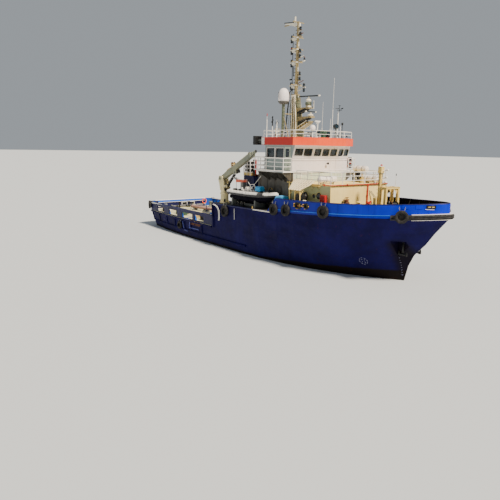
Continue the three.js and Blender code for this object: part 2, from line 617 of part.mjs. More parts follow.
function makeMast() {
  const tower = loft(TOWER.map(([z, x0, x1, half]) => [
    [x0, -half, z], [x1, -half, z], [x1, half, z], [x0, half, z]]));
  const foot = box(TOWER[0][1], TOWER[0][2], -TOWER[0][3], TOWER[0][3], ROOF_TOP, 10901);
  const pole = rod([POLE.x, 0, 14600], [POLE.x, 0, POLE.top], 170, { end: 110 });
  const tip = rod([POLE.tipX, 0, POLE.top - 80], [POLE.tipX, 0, POLE.tipTop], 45, { segments: 8 });
  const yards = YARDS.flatMap(([z, aft, fore]) => [
    bar([POLE.x - aft, 0, z], [POLE.x + fore + 60, 0, z], 90, 90),
    bar([POLE.x, -650, z + 20], [POLE.x, 650, z + 20], 70, 70),
  ]);
  const arms = Object.values(RADARS).flatMap(({ x, z, platform }) => [
    profile([[2600, platform - 500], [x - 250, platform - 30], [x + 260, platform - 30], [x + 260, platform + 60],
      [2600, platform + 60]], -230, 230),
    box(x - 130, x + 130, -130, 130, platform + 50, z - BEARING_GAP),
  ]);
  const lower = profile([[3100, 11250], [4900, 12050], [5000, 12150], [5000, 12250], [4750, 12250], [3100, 11550]], -300, 300);
  return join(tower, foot, pole, tip, lower, ...yards, ...arms);
}
piece("mast", makeMast(), "cream");

for (const [name, radar] of Object.entries(RADARS)) {
  const { x, z, length, bar: tall, turn } = radar;
  piece(`radar_scanner_${name}`, join(
    rod([0, 0, 0], [0, 0, 160], 90),
    box(-80, 80, -length / 2, length / 2, 150, 150 + tall),
  ).rotate([0, 0, turn]).translate([x, 0, z]), "white");
}

const DOME = { x: 2870, y: -1450, low: 13720, radius: 500 };
piece("satcom_dome", join(
  rod([DOME.x, DOME.y, ROOF_TOP], [DOME.x, DOME.y, DOME.low + 50], 140),
  turned([[0, 0], [330, 0], [480, 250], [DOME.radius, 480], [DOME.radius, 900], [430, 1200], [250, 1360], [0, 1420]],
    [DOME.x, DOME.y, DOME.low]),
), "white");

// Boat deck gear.
// Middle, length, height above the deck and turn from fore and aft of each liferaft canister.
const RAFTS = {
  stbd: { x: 9650, y: -2230, length: 2000, lift: 380, turn: 90 },
  port: { x: 10280, y: 2500, length: 1600, lift: 360, turn: 0 },
  aft: { x: 8800, y: 2720, length: 1600, lift: 1150, turn: 0 },
};
for (const [name, { x, y, length, lift, turn }] of Object.entries(RAFTS)) {
  const radius = 280;
  const can = turned([[0, 0], [150, 20], [250, 110], [radius, 230], [radius, length - 230], [250, length - 110],
    [150, length - 20], [0, length]], [-length / 2, 0, lift], [1, 0, 0], 14);
  const feet = [-0.28, 0.28].map((k) => box(k * length - 50, k * length + 50, -220, 220, GAP, lift - 100));
  const keel = box(-length * 0.3, length * 0.3, -60, 60, GAP, 60);
  piece(`liferaft_${name}`, join(can, keel, ...feet).rotate([0, 0, turn]).translate([x, y, HOUSE_TOP]), "white");
}

// Awning.
const AWNING = { x0: 6850, x1: 9550, inner: -3375, outer: -4780, high: 7300, low: 6560, thick: 25, wave: 45 };
// Its plan: the after edge is cut away towards the outer side.
const AWNING_PLAN = [[6850, -3370], [7800, -4800], [9250, -4800], [9550, -3370]];

function makeAwning() {
  const ribs = 11;
  const top = [];
  for (let i = 0; i <= ribs * 2; i++) {
    const x = AWNING.x0 + ((AWNING.x1 - AWNING.x0) * i) / (ribs * 2);
    top.push([x, i % 2 ? AWNING.wave : 0]);
  }
  const outline = [...top, ...top.map(([x, z]) => [x, z - AWNING.thick]).reverse()];
  const slope = Math.hypot(AWNING.inner - AWNING.outer, AWNING.high - AWNING.low);
  const tilt = Math.atan2(AWNING.high - AWNING.low, AWNING.inner - AWNING.outer);
  const g = prism(outline, slope).rotateX(Math.PI / 2).rotateX(tilt);
  const sheet = solid(g.translate(0, AWNING.inner, AWNING.high)).intersect(slab(AWNING_PLAN, 6000, 8000));
  const frame = [
    bar([7800, AWNING.outer + 80, AWNING.low + 20], [9240, AWNING.outer + 80, AWNING.low + 20], 60, 60),
    bar([6900, AWNING.inner - 60, AWNING.high - 60], [9500, AWNING.inner - 60, AWNING.high - 60], 60, 60),
    ...[7900, 8520, 9140].map((x) =>
      box(x - 40, x + 40, AWNING.outer + 40, AWNING.outer + 120, 4000, AWNING.low + 20)),
  ];
  return onForeDeck(join(sheet, ...frame));
}
piece("awning", makeAwning(), "cream");

// Forecastle gear.
const FOREMAST = { x: 13280, top: 8540, half: 110, head: 170 };
piece("foremast", onForeDeck(join(
  box(FOREMAST.x - FOREMAST.half, FOREMAST.x + FOREMAST.half, -FOREMAST.half, FOREMAST.half, 4000, 8100),
  box(FOREMAST.x - FOREMAST.head, FOREMAST.x + FOREMAST.head, -FOREMAST.head, FOREMAST.head, 8050, FOREMAST.top),
)), "cream");

const GANTRY = { aft: 13900, front: 14450, leg: 200, top: 7020, half: 730, beam: 130 };
const gantryBeam = (x0, x1, y0, y1) => box(x0, x1, y0, y1, GANTRY.top - GANTRY.beam, GANTRY.top);
piece("forecastle_gantry", onForeDeck(join(
  ...[GANTRY.aft, GANTRY.front].flatMap((x) => Object.values(SIDES).map((side) =>
    box(x - GANTRY.leg / 2, x + GANTRY.leg / 2, side * GANTRY.half - 100, side * GANTRY.half + 100, 4000, GANTRY.top))),
  ...Object.values(SIDES).map((side) =>
    gantryBeam(GANTRY.aft, GANTRY.front, side * GANTRY.half - 90, side * GANTRY.half + 90)),
  ...[GANTRY.aft, GANTRY.front].map((x) => gantryBeam(x - 90, x + 90, -GANTRY.half, GANTRY.half)),
  gantryBeam(FOREMAST.x + FOREMAST.half + GAP, GANTRY.aft, -70, 70),
)), "cream");

/** A winch frame with a cheek at each end and a motor that reaches out to port, standing at a place. */
function winchFrame({ x, z, half, foot, cheek, long, tall, motor: reach }) {
  const cheeks = Object.values(SIDES).map((side) => {
    const y = side * (half + cheek / 2);
    return box(x - long / 2, x + long / 2, y - cheek / 2, y + cheek / 2, foot, foot + tall);
  });
  const bed = box(x - long / 2 - 80, x + long / 2 + 80, -half - cheek - 60, half + cheek + 60, foot, z - 480);
  const motor = box(x - long * 0.3, x + long * 0.3, half + cheek - 10, half + cheek + reach, foot + 100, foot + tall * 0.8);
  return join(bed, motor, ...cheeks);
}

/** A flanged drum between the cheeks, clear of them. */
function winchDrum({ x, z, half, flange, barrel }) {
  const end = half - RUNNING_GAP;
  const hub = RUNNING_GAP - BEARING_GAP;
  return turned([[0, -hub], [90, -hub], [90, 0], [flange, 0], [flange, 60], [barrel, 60], [barrel, 2 * end - 60],
    [flange, 2 * end - 60], [flange, 2 * end], [90, 2 * end], [90, 2 * end + hub], [0, 2 * end + hub]],
  [x, -end, z], [0, 1, 0], 20);
}

const TOW_WINCH = { x: -5300, z: 2900, half: 900, foot: MAIN_DECK + GAP, cheek: 120, long: 900, tall: 1350,
  flange: 460, barrel: 260, motor: 420 };
const WINDLASS = { x: 14570, z: 5640, half: 400, foot: 4700, cheek: 100, long: 420, tall: 1150,
  flange: 330, barrel: 180, motor: 100 };
piece("tow_winch_frame", winchFrame(TOW_WINCH), "grey");
piece("tow_winch_drum", winchDrum(TOW_WINCH), "steel");
piece("windlass_frame", onForeDeck(winchFrame(WINDLASS)), "black");
piece("windlass_drum", winchDrum(WINDLASS), "steel");

// Crane.
const CRANE = { x: -2680, y: -4100, pedestalTop: 5300, radius: 400, pivot: [-3050, 6780], luff: 26.5,
  boom: 5400, deep: 280 };
const luff = THREE.MathUtils.degToRad(CRANE.luff);

/** A point of the boom: distance along it from its pivot and above its middle line. */
const onBoom = (s, above) => [
  CRANE.pivot[0] + s * Math.cos(luff) - above * Math.sin(luff),
  CRANE.pivot[1] + s * Math.sin(luff) + above * Math.cos(luff),
];
const craneSide = (points, y0, y1) => profile(points, CRANE.y + y0, CRANE.y + y1);
const craneBlock = (s0, s1, low, high, y0, y1) =>
  craneSide([onBoom(s0, low), onBoom(s1, low), onBoom(s1, high), onBoom(s0, high)], y0, y1);

piece("crane_pedestal", onForeDeck(join(
  rod([CRANE.x, CRANE.y, 4200], [CRANE.x, CRANE.y, CRANE.pedestalTop], CRANE.radius, { segments: 20 }),
  rod([CRANE.x, CRANE.y, 4200], [CRANE.x, CRANE.y, 4480], CRANE.radius + 110, { segments: 20 }),
)), "cream");

const LUFF_FOOT = [-2120, 6080]; // the luffing cylinder's lower pin
const LUFF_HEAD = onBoom(2400, -420); // and its upper one, at rest
piece("crane_column", join(
  rod([CRANE.x, CRANE.y, CRANE.pedestalTop + BEARING_GAP], [CRANE.x, CRANE.y, 5700], CRANE.radius, { segments: 20 }),
  craneSide([[-3060, 5650], [-2350, 5650], [-2420, 6500], [-2720, 7030], [-3260, 7030], [-3400, 6640], [-3200, 6250]],
    -320, 320).subtract(craneSide([[-3750, 6340], [-2300, 6340], [-2300, 8000], [-3750, 8000]], -215, 215)),
  ...Object.values(SIDES).map((side) => {
    const [y0, y1] = side < 0 ? [-190, -130] : [130, 190];
    return craneSide([[-2430, 5780], [LUFF_FOOT[0] + 100, 5960], [LUFF_FOOT[0] + 100, LUFF_FOOT[1] + 100],
      [-2440, LUFF_FOOT[1] + 160]], y0, y1);
  }),
), "cream");

piece("crane_boom", join(
  craneBlock(-180, 900, -180, 200, -200, 200),
  craneBlock(850, CRANE.boom, -CRANE.deep, CRANE.deep, -200, 200),
  rod([CRANE.pivot[0], CRANE.y - 215 + BEARING_GAP, CRANE.pivot[1]],
    [CRANE.pivot[0], CRANE.y + 215 - BEARING_GAP, CRANE.pivot[1]], 120, { segments: 16 }),
  ...Object.values(SIDES).map((side) => {
    const [y0, y1] = side < 0 ? [-190, -130] : [130, 190];
    return craneSide([onBoom(2100, -240), onBoom(2700, -240), onBoom(2520, -520), onBoom(2280, -520)], y0, y1);
  }),
).subtract(craneBlock(1200, CRANE.boom + 500, -160, 160, -160, 160)), "cream");

piece("crane_extension", join(
  craneBlock(1300, CRANE.boom + 260, -150, 150, -150, 150),
  craneBlock(1300, 1700, -160 + BEARING_GAP, 160 - BEARING_GAP, -160 + BEARING_GAP, 160 - BEARING_GAP),
  craneBlock(CRANE.boom + 60, CRANE.boom + 260, -300, 190, -110, 110),
), "steel");

/** A point between the luffing cylinder's pins, by distance from the lower one. */
const luffSpan = Math.hypot(LUFF_HEAD[0] - LUFF_FOOT[0], LUFF_HEAD[1] - LUFF_FOOT[1]);
const onLuff = (s) => [
  LUFF_FOOT[0] + ((LUFF_HEAD[0] - LUFF_FOOT[0]) * s) / luffSpan, CRANE.y,
  LUFF_FOOT[1] + ((LUFF_HEAD[1] - LUFF_FOOT[1]) * s) / luffSpan,
];
const CYLINDER = { outer: 115, bore: 60.8, rod: 60, foot: 130 - BEARING_GAP, length: luffSpan - 330, floor: 110 };
piece("luff_cylinder_barrel", join(
  rod(onLuff(60), onLuff(CYLINDER.length), CYLINDER.outer, { segments: 16 })
    .subtract(rod(onLuff(CYLINDER.floor), onLuff(CYLINDER.length + 50), CYLINDER.bore, { segments: 16 })),
  rod([LUFF_FOOT[0], CRANE.y - CYLINDER.foot, LUFF_FOOT[1]], [LUFF_FOOT[0], CRANE.y + CYLINDER.foot, LUFF_FOOT[1]],
    95, { segments: 16 }),
), "black");
piece("luff_cylinder_rod", join(
  rod(onLuff(CYLINDER.floor + 40), onLuff(luffSpan - 40), CYLINDER.rod, { segments: 16 }),
  rod([LUFF_HEAD[0], CRANE.y - CYLINDER.foot, LUFF_HEAD[1]], [LUFF_HEAD[0], CRANE.y + CYLINDER.foot, LUFF_HEAD[1]],
    80, { segments: 16 }),
), "steel");

// Rescue boat.
const BOAT = { y: -4080, aft: -1070, half: 640, tube: 220, tubeZ: 5640 };
// x, keel height, half breadth and side height of the boat's hull.
const BOAT_STATIONS = [[-970, 4850, 560, 5370], [380, 4800, 580, 5370], [2680, 4820, 560, 5410],
  [4080, 4980, 420, 5500], [4880, 5250, 230, 5600], [5330, 5520, 60, 5690]];

/** The boat's hull, grown all round by a distance. */
const boatForm = (grow = 0) => loft(BOAT_STATIONS.map(([x, keel, half, side]) => {
  const chine = keel + (side - keel) * 0.45;
  const starboard = [[x, BOAT.y - 20, keel - grow], [x, BOAT.y - half - grow, chine], [x, BOAT.y - half - grow, side + grow]];
  return [...starboard, ...starboard.map(([, y, z]) => [x, 2 * BOAT.y - y, z]).reverse()];
}));
piece("boat_hull", boatForm(), "navy");

function makeBoatTube() {
  const plan = [[BOAT.aft, BOAT.half, 0], [1580, BOAT.half, 0], [3580, BOAT.half - 60, 50], [4780, 380, 130],
    [5330, 0, 200]];
  const points = [...plan, ...plan.slice(0, -1).reverse().map(([x, y, up]) => [x, -y, up])];
  const path = new THREE.CatmullRomCurve3(
    points.map(([x, y, up]) => new THREE.Vector3(x, BOAT.y + y, BOAT.tubeZ + up)), false, "centripetal");
  const ring = new THREE.Shape().absarc(0, 0, BOAT.tube, 0, Math.PI * 2);
  const g = new THREE.ExtrudeGeometry(ring, { steps: 26, bevelEnabled: false, extrudePath: path, curveSegments: 5 });
  const made = solid(g);
  return made.volume() < 0 ? solid(reversed(mergeVertices(g))) : made;
}
const boatTube = makeBoatTube();
const boatHull = boatForm(1);
piece("boat_tube", boatTube.subtract(boatHull), "grey");
const boatKeep = join(boatTube, boatHull);

piece("boat_fittings", join(
  box(-820, 2680, BOAT.y - 300, BOAT.y + 300, 5410 + GAP, 5490),
  box(780, 1480, BOAT.y - 250, BOAT.y + 250, 5460, 6350),
  box(-220, 380, BOAT.y - 230, BOAT.y + 230, 5460, 6000),
  ...Object.values(SIDES).map((side) =>
    bar([2230, BOAT.y + side * 270, 5450], [1880, BOAT.y + side * 240, 6480], 60, 60)),
  box(1820, 1910, BOAT.y - 270, BOAT.y + 270, 6420, 6490),
), "steel");

piece("boat_cradle", onForeDeck(join(
  ...[-520, 3080].flatMap((x) => [
    section([[BOAT.y - 600, 4000], [BOAT.y + 600, 4000], [BOAT.y + 600, 5140], [BOAT.y, 4870], [BOAT.y - 600, 5140]],
      x - 90, x + 90),
  ]),
  box(-520, 3080, BOAT.y - 70, BOAT.y + 70, 4000, 4700),
)).subtract(boatKeep), "steel");

// Screws, rudders, anchors.
const PROPELLER = { x: -15550, radius: 1110, blades: 4 };

function makePropeller(side) {
  const y = side * SHAFT.y;
  const hub = turned([[0, 0], [70, 40], [170, 240], [200, 420], [200, 760], [0, 760]],
    [SHAFT.to - BEARING_GAP - 760, y, SHAFT.z], [1, 0, 0]);
  const blades = [];
  for (let i = 0; i < PROPELLER.blades; i++) {
    const outline = [[-200, 100], [-330, 620], [-300, 940], [0, PROPELLER.radius], [260, 960], [300, 640], [190, 100]];
    const g = prism(outline, 50).translate(0, 0, -25);
    // The blade's flat is turned to its pitch, then round the shaft to its place.
    g.rotateY(side * 0.6 + Math.PI / 2).rotateX((i * 2 * Math.PI) / PROPELLER.blades);
    const turn = new THREE.Matrix4().makeTranslation(PROPELLER.x, y, SHAFT.z);
    blades.push(solid(g.applyMatrix4(turn)));
  }
  return join(hub, ...blades);
}

const ANCHOR = { x: 16500, z: 2560 };

for (const [name, side] of Object.entries(SIDES)) {
  const y = side * SHAFT.y;
  piece(`nozzle_${name}`, makeNozzle(side), "navy");
  piece(`propeller_${name}`, makePropeller(side), "bronze");
  piece(`rudder_${name}`, join(
    slab([[RUDDER.front, y], [RUDDER.front - 60, y - 90], [RUDDER.x - 200, y - 130], [RUDDER.aft, y - 15],
      [RUDDER.aft, y + 15], [RUDDER.x - 200, y + 130], [RUDDER.front - 60, y + 90]], RUDDER.low, RUDDER.high),
    rod([RUDDER.x, y, RUDDER.high - 50], [RUDDER.x, y, RUDDER.trunk - BEARING_GAP], 110),
  ), "navy");
  const back = side * (sideY(16500, 2800) - ANCHOR_POCKET.depth + GAP);
  const [y0, y1] = side < 0 ? [back - 200, back] : [back, back + 200];
  piece(`anchor_${name}`, join(
    box(ANCHOR.x - 70, ANCHOR.x + 70, y0, y1, ANCHOR.z - 350, ANCHOR.z + 620),
    profile([[ANCHOR.x - 400, ANCHOR.z - 100], [ANCHOR.x - 330, ANCHOR.z - 480], [ANCHOR.x + 330, ANCHOR.z - 480],
      [ANCHOR.x + 400, ANCHOR.z - 100], [ANCHOR.x + 250, ANCHOR.z - 330], [ANCHOR.x - 250, ANCHOR.z - 330]], y0, y1),
  ), "black");
}

export default tug;
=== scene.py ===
"""A towing and supply tug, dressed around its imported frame.

Metres. +X is the bow, +Y port, +Z up, and the origin is amidships on the waterline. Each sub-assembly is
a class that holds its sizes and builds its pieces, and each finish is a small frozen class that builds its
material.
"""

import logging
import math
from dataclasses import dataclass
from enum import Enum
from typing import Callable, Iterable, Sequence

import bmesh
import bpy
from mathutils import Matrix, Vector
from mathutils.bvhtree import BVHTree


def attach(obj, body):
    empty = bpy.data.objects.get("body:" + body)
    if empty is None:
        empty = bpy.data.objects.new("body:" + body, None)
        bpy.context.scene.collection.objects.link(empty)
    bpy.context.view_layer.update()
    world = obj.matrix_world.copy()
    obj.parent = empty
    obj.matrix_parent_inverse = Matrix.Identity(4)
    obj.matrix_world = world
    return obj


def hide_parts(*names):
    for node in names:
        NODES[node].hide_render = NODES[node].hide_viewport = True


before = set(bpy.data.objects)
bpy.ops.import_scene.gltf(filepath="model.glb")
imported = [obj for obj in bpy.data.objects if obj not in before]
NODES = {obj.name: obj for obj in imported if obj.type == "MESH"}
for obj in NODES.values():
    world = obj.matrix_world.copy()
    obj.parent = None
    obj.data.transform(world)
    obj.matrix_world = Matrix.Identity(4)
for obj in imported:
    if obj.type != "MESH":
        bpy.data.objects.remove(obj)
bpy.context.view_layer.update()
LOG = logging.getLogger("tug")

Point = Sequence[float]
VESSEL = "vessel"
SIDES = {"stbd": -1, "port": 1}
FULL_TURN = 2 * math.pi
# Directions: to the bow, to port and up.
AHEAD: Point = (1, 0, 0)
ABEAM: Point = (0, 1, 0)
UP: Point = (0, 0, 1)
# Half the deckhouse's breadth, and the heights of the work deck's planks and of the boat deck.
HOUSE_HALF = 3.36
PLANK_TOP = 2.049
BOAT_DECK = 7.002


# Finishes


def linear(code: str) -> tuple[float, float, float, float]:
    """Turns an sRGB hex value to a linear colour.

    Args:
        code: the colour as "#rrggbb".

    Returns:
        Red, green, blue and an alpha of 1.
    """
    parts = [int(code[i:i + 2], 16) / 255 for i in (1, 3, 5)]
    r, g, b = (p / 12.92 if p <= 0.04045 else ((p + 0.055) / 1.055) ** 2.4 for p in parts)
    return r, g, b, 1.0


def node(tree: bpy.types.NodeTree, kind: str, settings: dict | None = None,
         links: dict | None = None) -> bpy.types.Node:
    """Adds a node with its settings and its links.

    Args:
        tree: the material's node tree.
        kind: the node's type without its "ShaderNode" prefix.
        settings: values by the name of a property, or by the name or number of an input.
        links: sockets to read from, by the name or number of an input.

    Returns:
        The new node.
    """
    made = tree.nodes.new("ShaderNode" + kind)
    for key, value in (settings or {}).items():
        if isinstance(key, str) and hasattr(made, key):
            setattr(made, key, value)
        else:
            made.inputs[key].default_value = value
    for key, source in (links or {}).items():
        tree.links.new(source, made.inputs[key])
    return made


@dataclass(frozen=True)
class Finish:
    """What every finish has: a name, and a material that is built once."""

    name: str

    def material(self) -> bpy.types.Material:
        """Returns the finish's material, built at its first use."""
        known = bpy.data.materials.get(self.name)
        if known is not None and "tug_finish" in known:
            return known
        made = bpy.data.materials.new(self.name)
        made["tug_finish"] = True
        made.use_nodes = True
        tree = made.node_tree
        shader = tree.nodes["Principled BSDF"]
        at = node(tree, "TexCoord").outputs["Object"]
        self.wire(tree, shader, at)
        return made

    def wire(self, tree: bpy.types.NodeTree, shader: bpy.types.Node, at: bpy.types.NodeSocket) -> None:
        """Adds the finish's own nodes.

        Args:
            tree: the material's node tree.
            shader: its Principled shader.
            at: the point on the ship, in metres.
        """
        raise NotImplementedError


@dataclass(frozen=True)
class MarineEnamel(Finish):
    """Alkyd enamel rolled over steel: a satin film that chalks in the sun, with dirt runs and rust.

    The film shows a broad change of tone over metres, runs about 150 mm wide that fall for metres, rust
    spots of 20 to 200 mm, and plating that is hollow between frames 600 mm apart.
    """

    colour: str = "#ffffff"
    faded: str = "#ffffff"
    soil: str = "#4a4436"
    rust_colour: str = "#6a3a1c"
    roughness: float = 0.42
    runs: float = 0.35
    rust: float = 0.35
    plating: float = 0.5
    gloss: float = 0.35
    # Painted shade: the tint of faces that look to starboard, which lie away from the light.
    starboard_painted_shade: str = ""

    def tone(self, tree: bpy.types.NodeTree, at: bpy.types.NodeSocket) -> bpy.types.NodeSocket:
        """Returns the clean film's colour, with any painted shade, before dirt and rust.

        Args:
            tree: the material's node tree.
            at: the point on the ship, in metres.

        Returns:
            The colour's socket.
        """
        broad = node(tree, "TexNoise", {"Scale": 0.55, "Detail": 4.0, "Roughness": 0.6}, {"Vector": at})
        share = node(tree, "MapRange", {"From Min": 0.35, "From Max": 0.65}, {"Value": broad.outputs["Fac"]})
        mixed = node(tree, "Mix", {"data_type": "RGBA", 6: linear(self.colour), 7: linear(self.faded)},
                     {0: share.outputs[0]})
        if not self.starboard_painted_shade:
            return mixed.outputs[2]
        # Painted shade: faces that look to starboard take the shade tint.
        split = node(tree, "SeparateXYZ", None, {0: node(tree, "NewGeometry").outputs["Normal"]})
        shaded = node(tree, "MapRange", {"From Min": -0.5, "From Max": -0.9}, {"Value": split.outputs[1]})
        grown = node(tree, "Mix", {"data_type": "RGBA", 7: linear(self.starboard_painted_shade)},
                     {0: shaded.outputs[0], 6: mixed.outputs[2]})
        return grown.outputs[2]

    def wire(self, tree: bpy.types.NodeTree, shader: bpy.types.Node, at: bpy.types.NodeSocket) -> None:
        """Lays dirt runs and rust over the film, and hollows the plating.

        Args:
            tree: the material's node tree.
            shader: its Principled shader.
            at: the point on the ship, in metres.
        """
        colour = self.tone(tree, at)
        # Runs: noise squeezed to 1/6 m across and drawn out to 3 m down.
        squeezed = node(tree, "Mapping", {"Scale": (6.0, 6.0, 0.3)}, {"Vector": at})
        run = node(tree, "TexNoise", {"Scale": 1.0, "Detail": 6.0, "Roughness": 0.65},
                   {"Vector": squeezed.outputs[0]})
        run_share = node(
            tree, "MapRange",
            {"From Min": 0.5, "From Max": 0.78, "To Max": self.runs, "interpolation_type": "SMOOTHSTEP"},
            {"Value": run.outputs["Fac"]})
        soiled = node(tree, "Mix", {"data_type": "RGBA", 7: linear(self.soil)},
                      {0: run_share.outputs[0], 6: colour})
        # Rust: spots of 20 to 200 mm with ragged edges.
        spot = node(tree, "TexNoise", {"Scale": 3.1, "Detail": 10.0, "Roughness": 0.74}, {"Vector": at})
        spot_share = node(tree, "MapRange", {"From Min": 0.6, "From Max": 0.67, "To Max": self.rust},
                          {"Value": spot.outputs["Fac"]})
        rusted = node(tree, "Mix", {"data_type": "RGBA", 7: linear(self.rust_colour)},
                      {0: spot_share.outputs[0], 6: soiled.outputs[2]})
        tree.links.new(rusted.outputs[2], shader.inputs["Base Color"])
        rough = node(tree, "MapRange", {"From Min": 0.3, "From Max": 0.7, "To Min": self.roughness - 0.08,
                                        "To Max": self.roughness + 0.16}, {"Value": spot.outputs["Fac"]})
        tree.links.new(rough.outputs[0], shader.inputs["Roughness"])
        shader.inputs["Specular IOR Level"].default_value = self.gloss
        self.relief(tree, shader, at, spot.outputs["Fac"])

    def relief(self, tree: bpy.types.NodeTree, shader: bpy.types.Node, at: bpy.types.NodeSocket,
               spot: bpy.types.NodeSocket) -> None:
        """Hollows the plating between its frames and roughens the rust.

        Args:
            tree: the material's node tree.
            shader: its Principled shader.
            at: the point on the ship, in metres.
            spot: the rust's noise.
        """
        # A wave texture's bands are 0.314 m apart at a scale of 1, so 0.52 gives frames at 600 mm.
        frames = node(tree, "TexWave", {"Scale": 0.52, "Distortion": 0.6, "Detail": 1.0}, {"Vector": at})
        hollow = node(tree, "Bump", {"Strength": self.plating, "Distance": 0.006},
                      {"Height": frames.outputs["Fac"]})
        pitted = node(tree, "Bump", {"Strength": 0.35, "Distance": 0.004},
                      {"Height": spot, "Normal": hollow.outputs[0]})
        tree.links.new(pitted.outputs[0], shader.inputs["Normal"])


@dataclass(frozen=True)
class TwoFacedEnamel(MarineEnamel):
    """A bulwark's enamel: one colour towards the sea, duller aft as painted shade, and another towards the
    deck.
    """

    inside: str = "#000000"
    aft_painted_shade: str = ""

    def tone(self, tree: bpy.types.NodeTree, at: bpy.types.NodeSocket) -> bpy.types.NodeSocket:
        """Returns the sea side's colour, or the deck side's where the face looks at the ship's middle.

        Args:
            tree: the material's node tree.
            at: the point on the ship, in metres.

        Returns:
            The colour's socket.
        """
        outer = MarineEnamel.tone(self, tree, at)
        # Painted shade: the sea side turns duller aft of X = 18 m, where the flat side looks away from the
        # light and the flared bow does not.
        if self.aft_painted_shade:
            along = node(tree, "SeparateXYZ", None, {0: at}).outputs[0]
            age = node(tree, "MapRange", {"From Min": 18.0, "From Max": 9.0, "To Max": 0.9}, {"Value": along})
            outer = node(tree, "Mix", {"data_type": "RGBA", 7: linear(self.aft_painted_shade)},
                         {0: age.outputs[0], 6: outer}).outputs[2]
        facing = node(tree, "NewGeometry").outputs["Normal"]
        # From the middle line to the point, with the bow's curve counted from X = 12 m.
        middle = node(tree, "VectorMath", {"operation": "SUBTRACT", 1: (12.0, 0.0, 0.0)}, {0: at})
        split = node(tree, "SeparateXYZ", None, {0: middle.outputs[0]})
        ahead = node(tree, "Math", {"operation": "MAXIMUM", 1: 0.0}, {0: split.outputs[0]})
        outwards = node(tree, "CombineXYZ", None, {0: ahead.outputs[0], 1: split.outputs[1]})
        turn = node(tree, "VectorMath", {"operation": "DOT_PRODUCT"}, {0: facing, 1: outwards.outputs[0]})
        inward = node(tree, "Math", {"operation": "LESS_THAN", 1: 0.0}, {0: turn.outputs["Value"]})
        mixed = node(tree, "Mix", {"data_type": "RGBA", 7: linear(self.inside)},
                     {0: inward.outputs[0], 6: outer})
        return mixed.outputs[2]


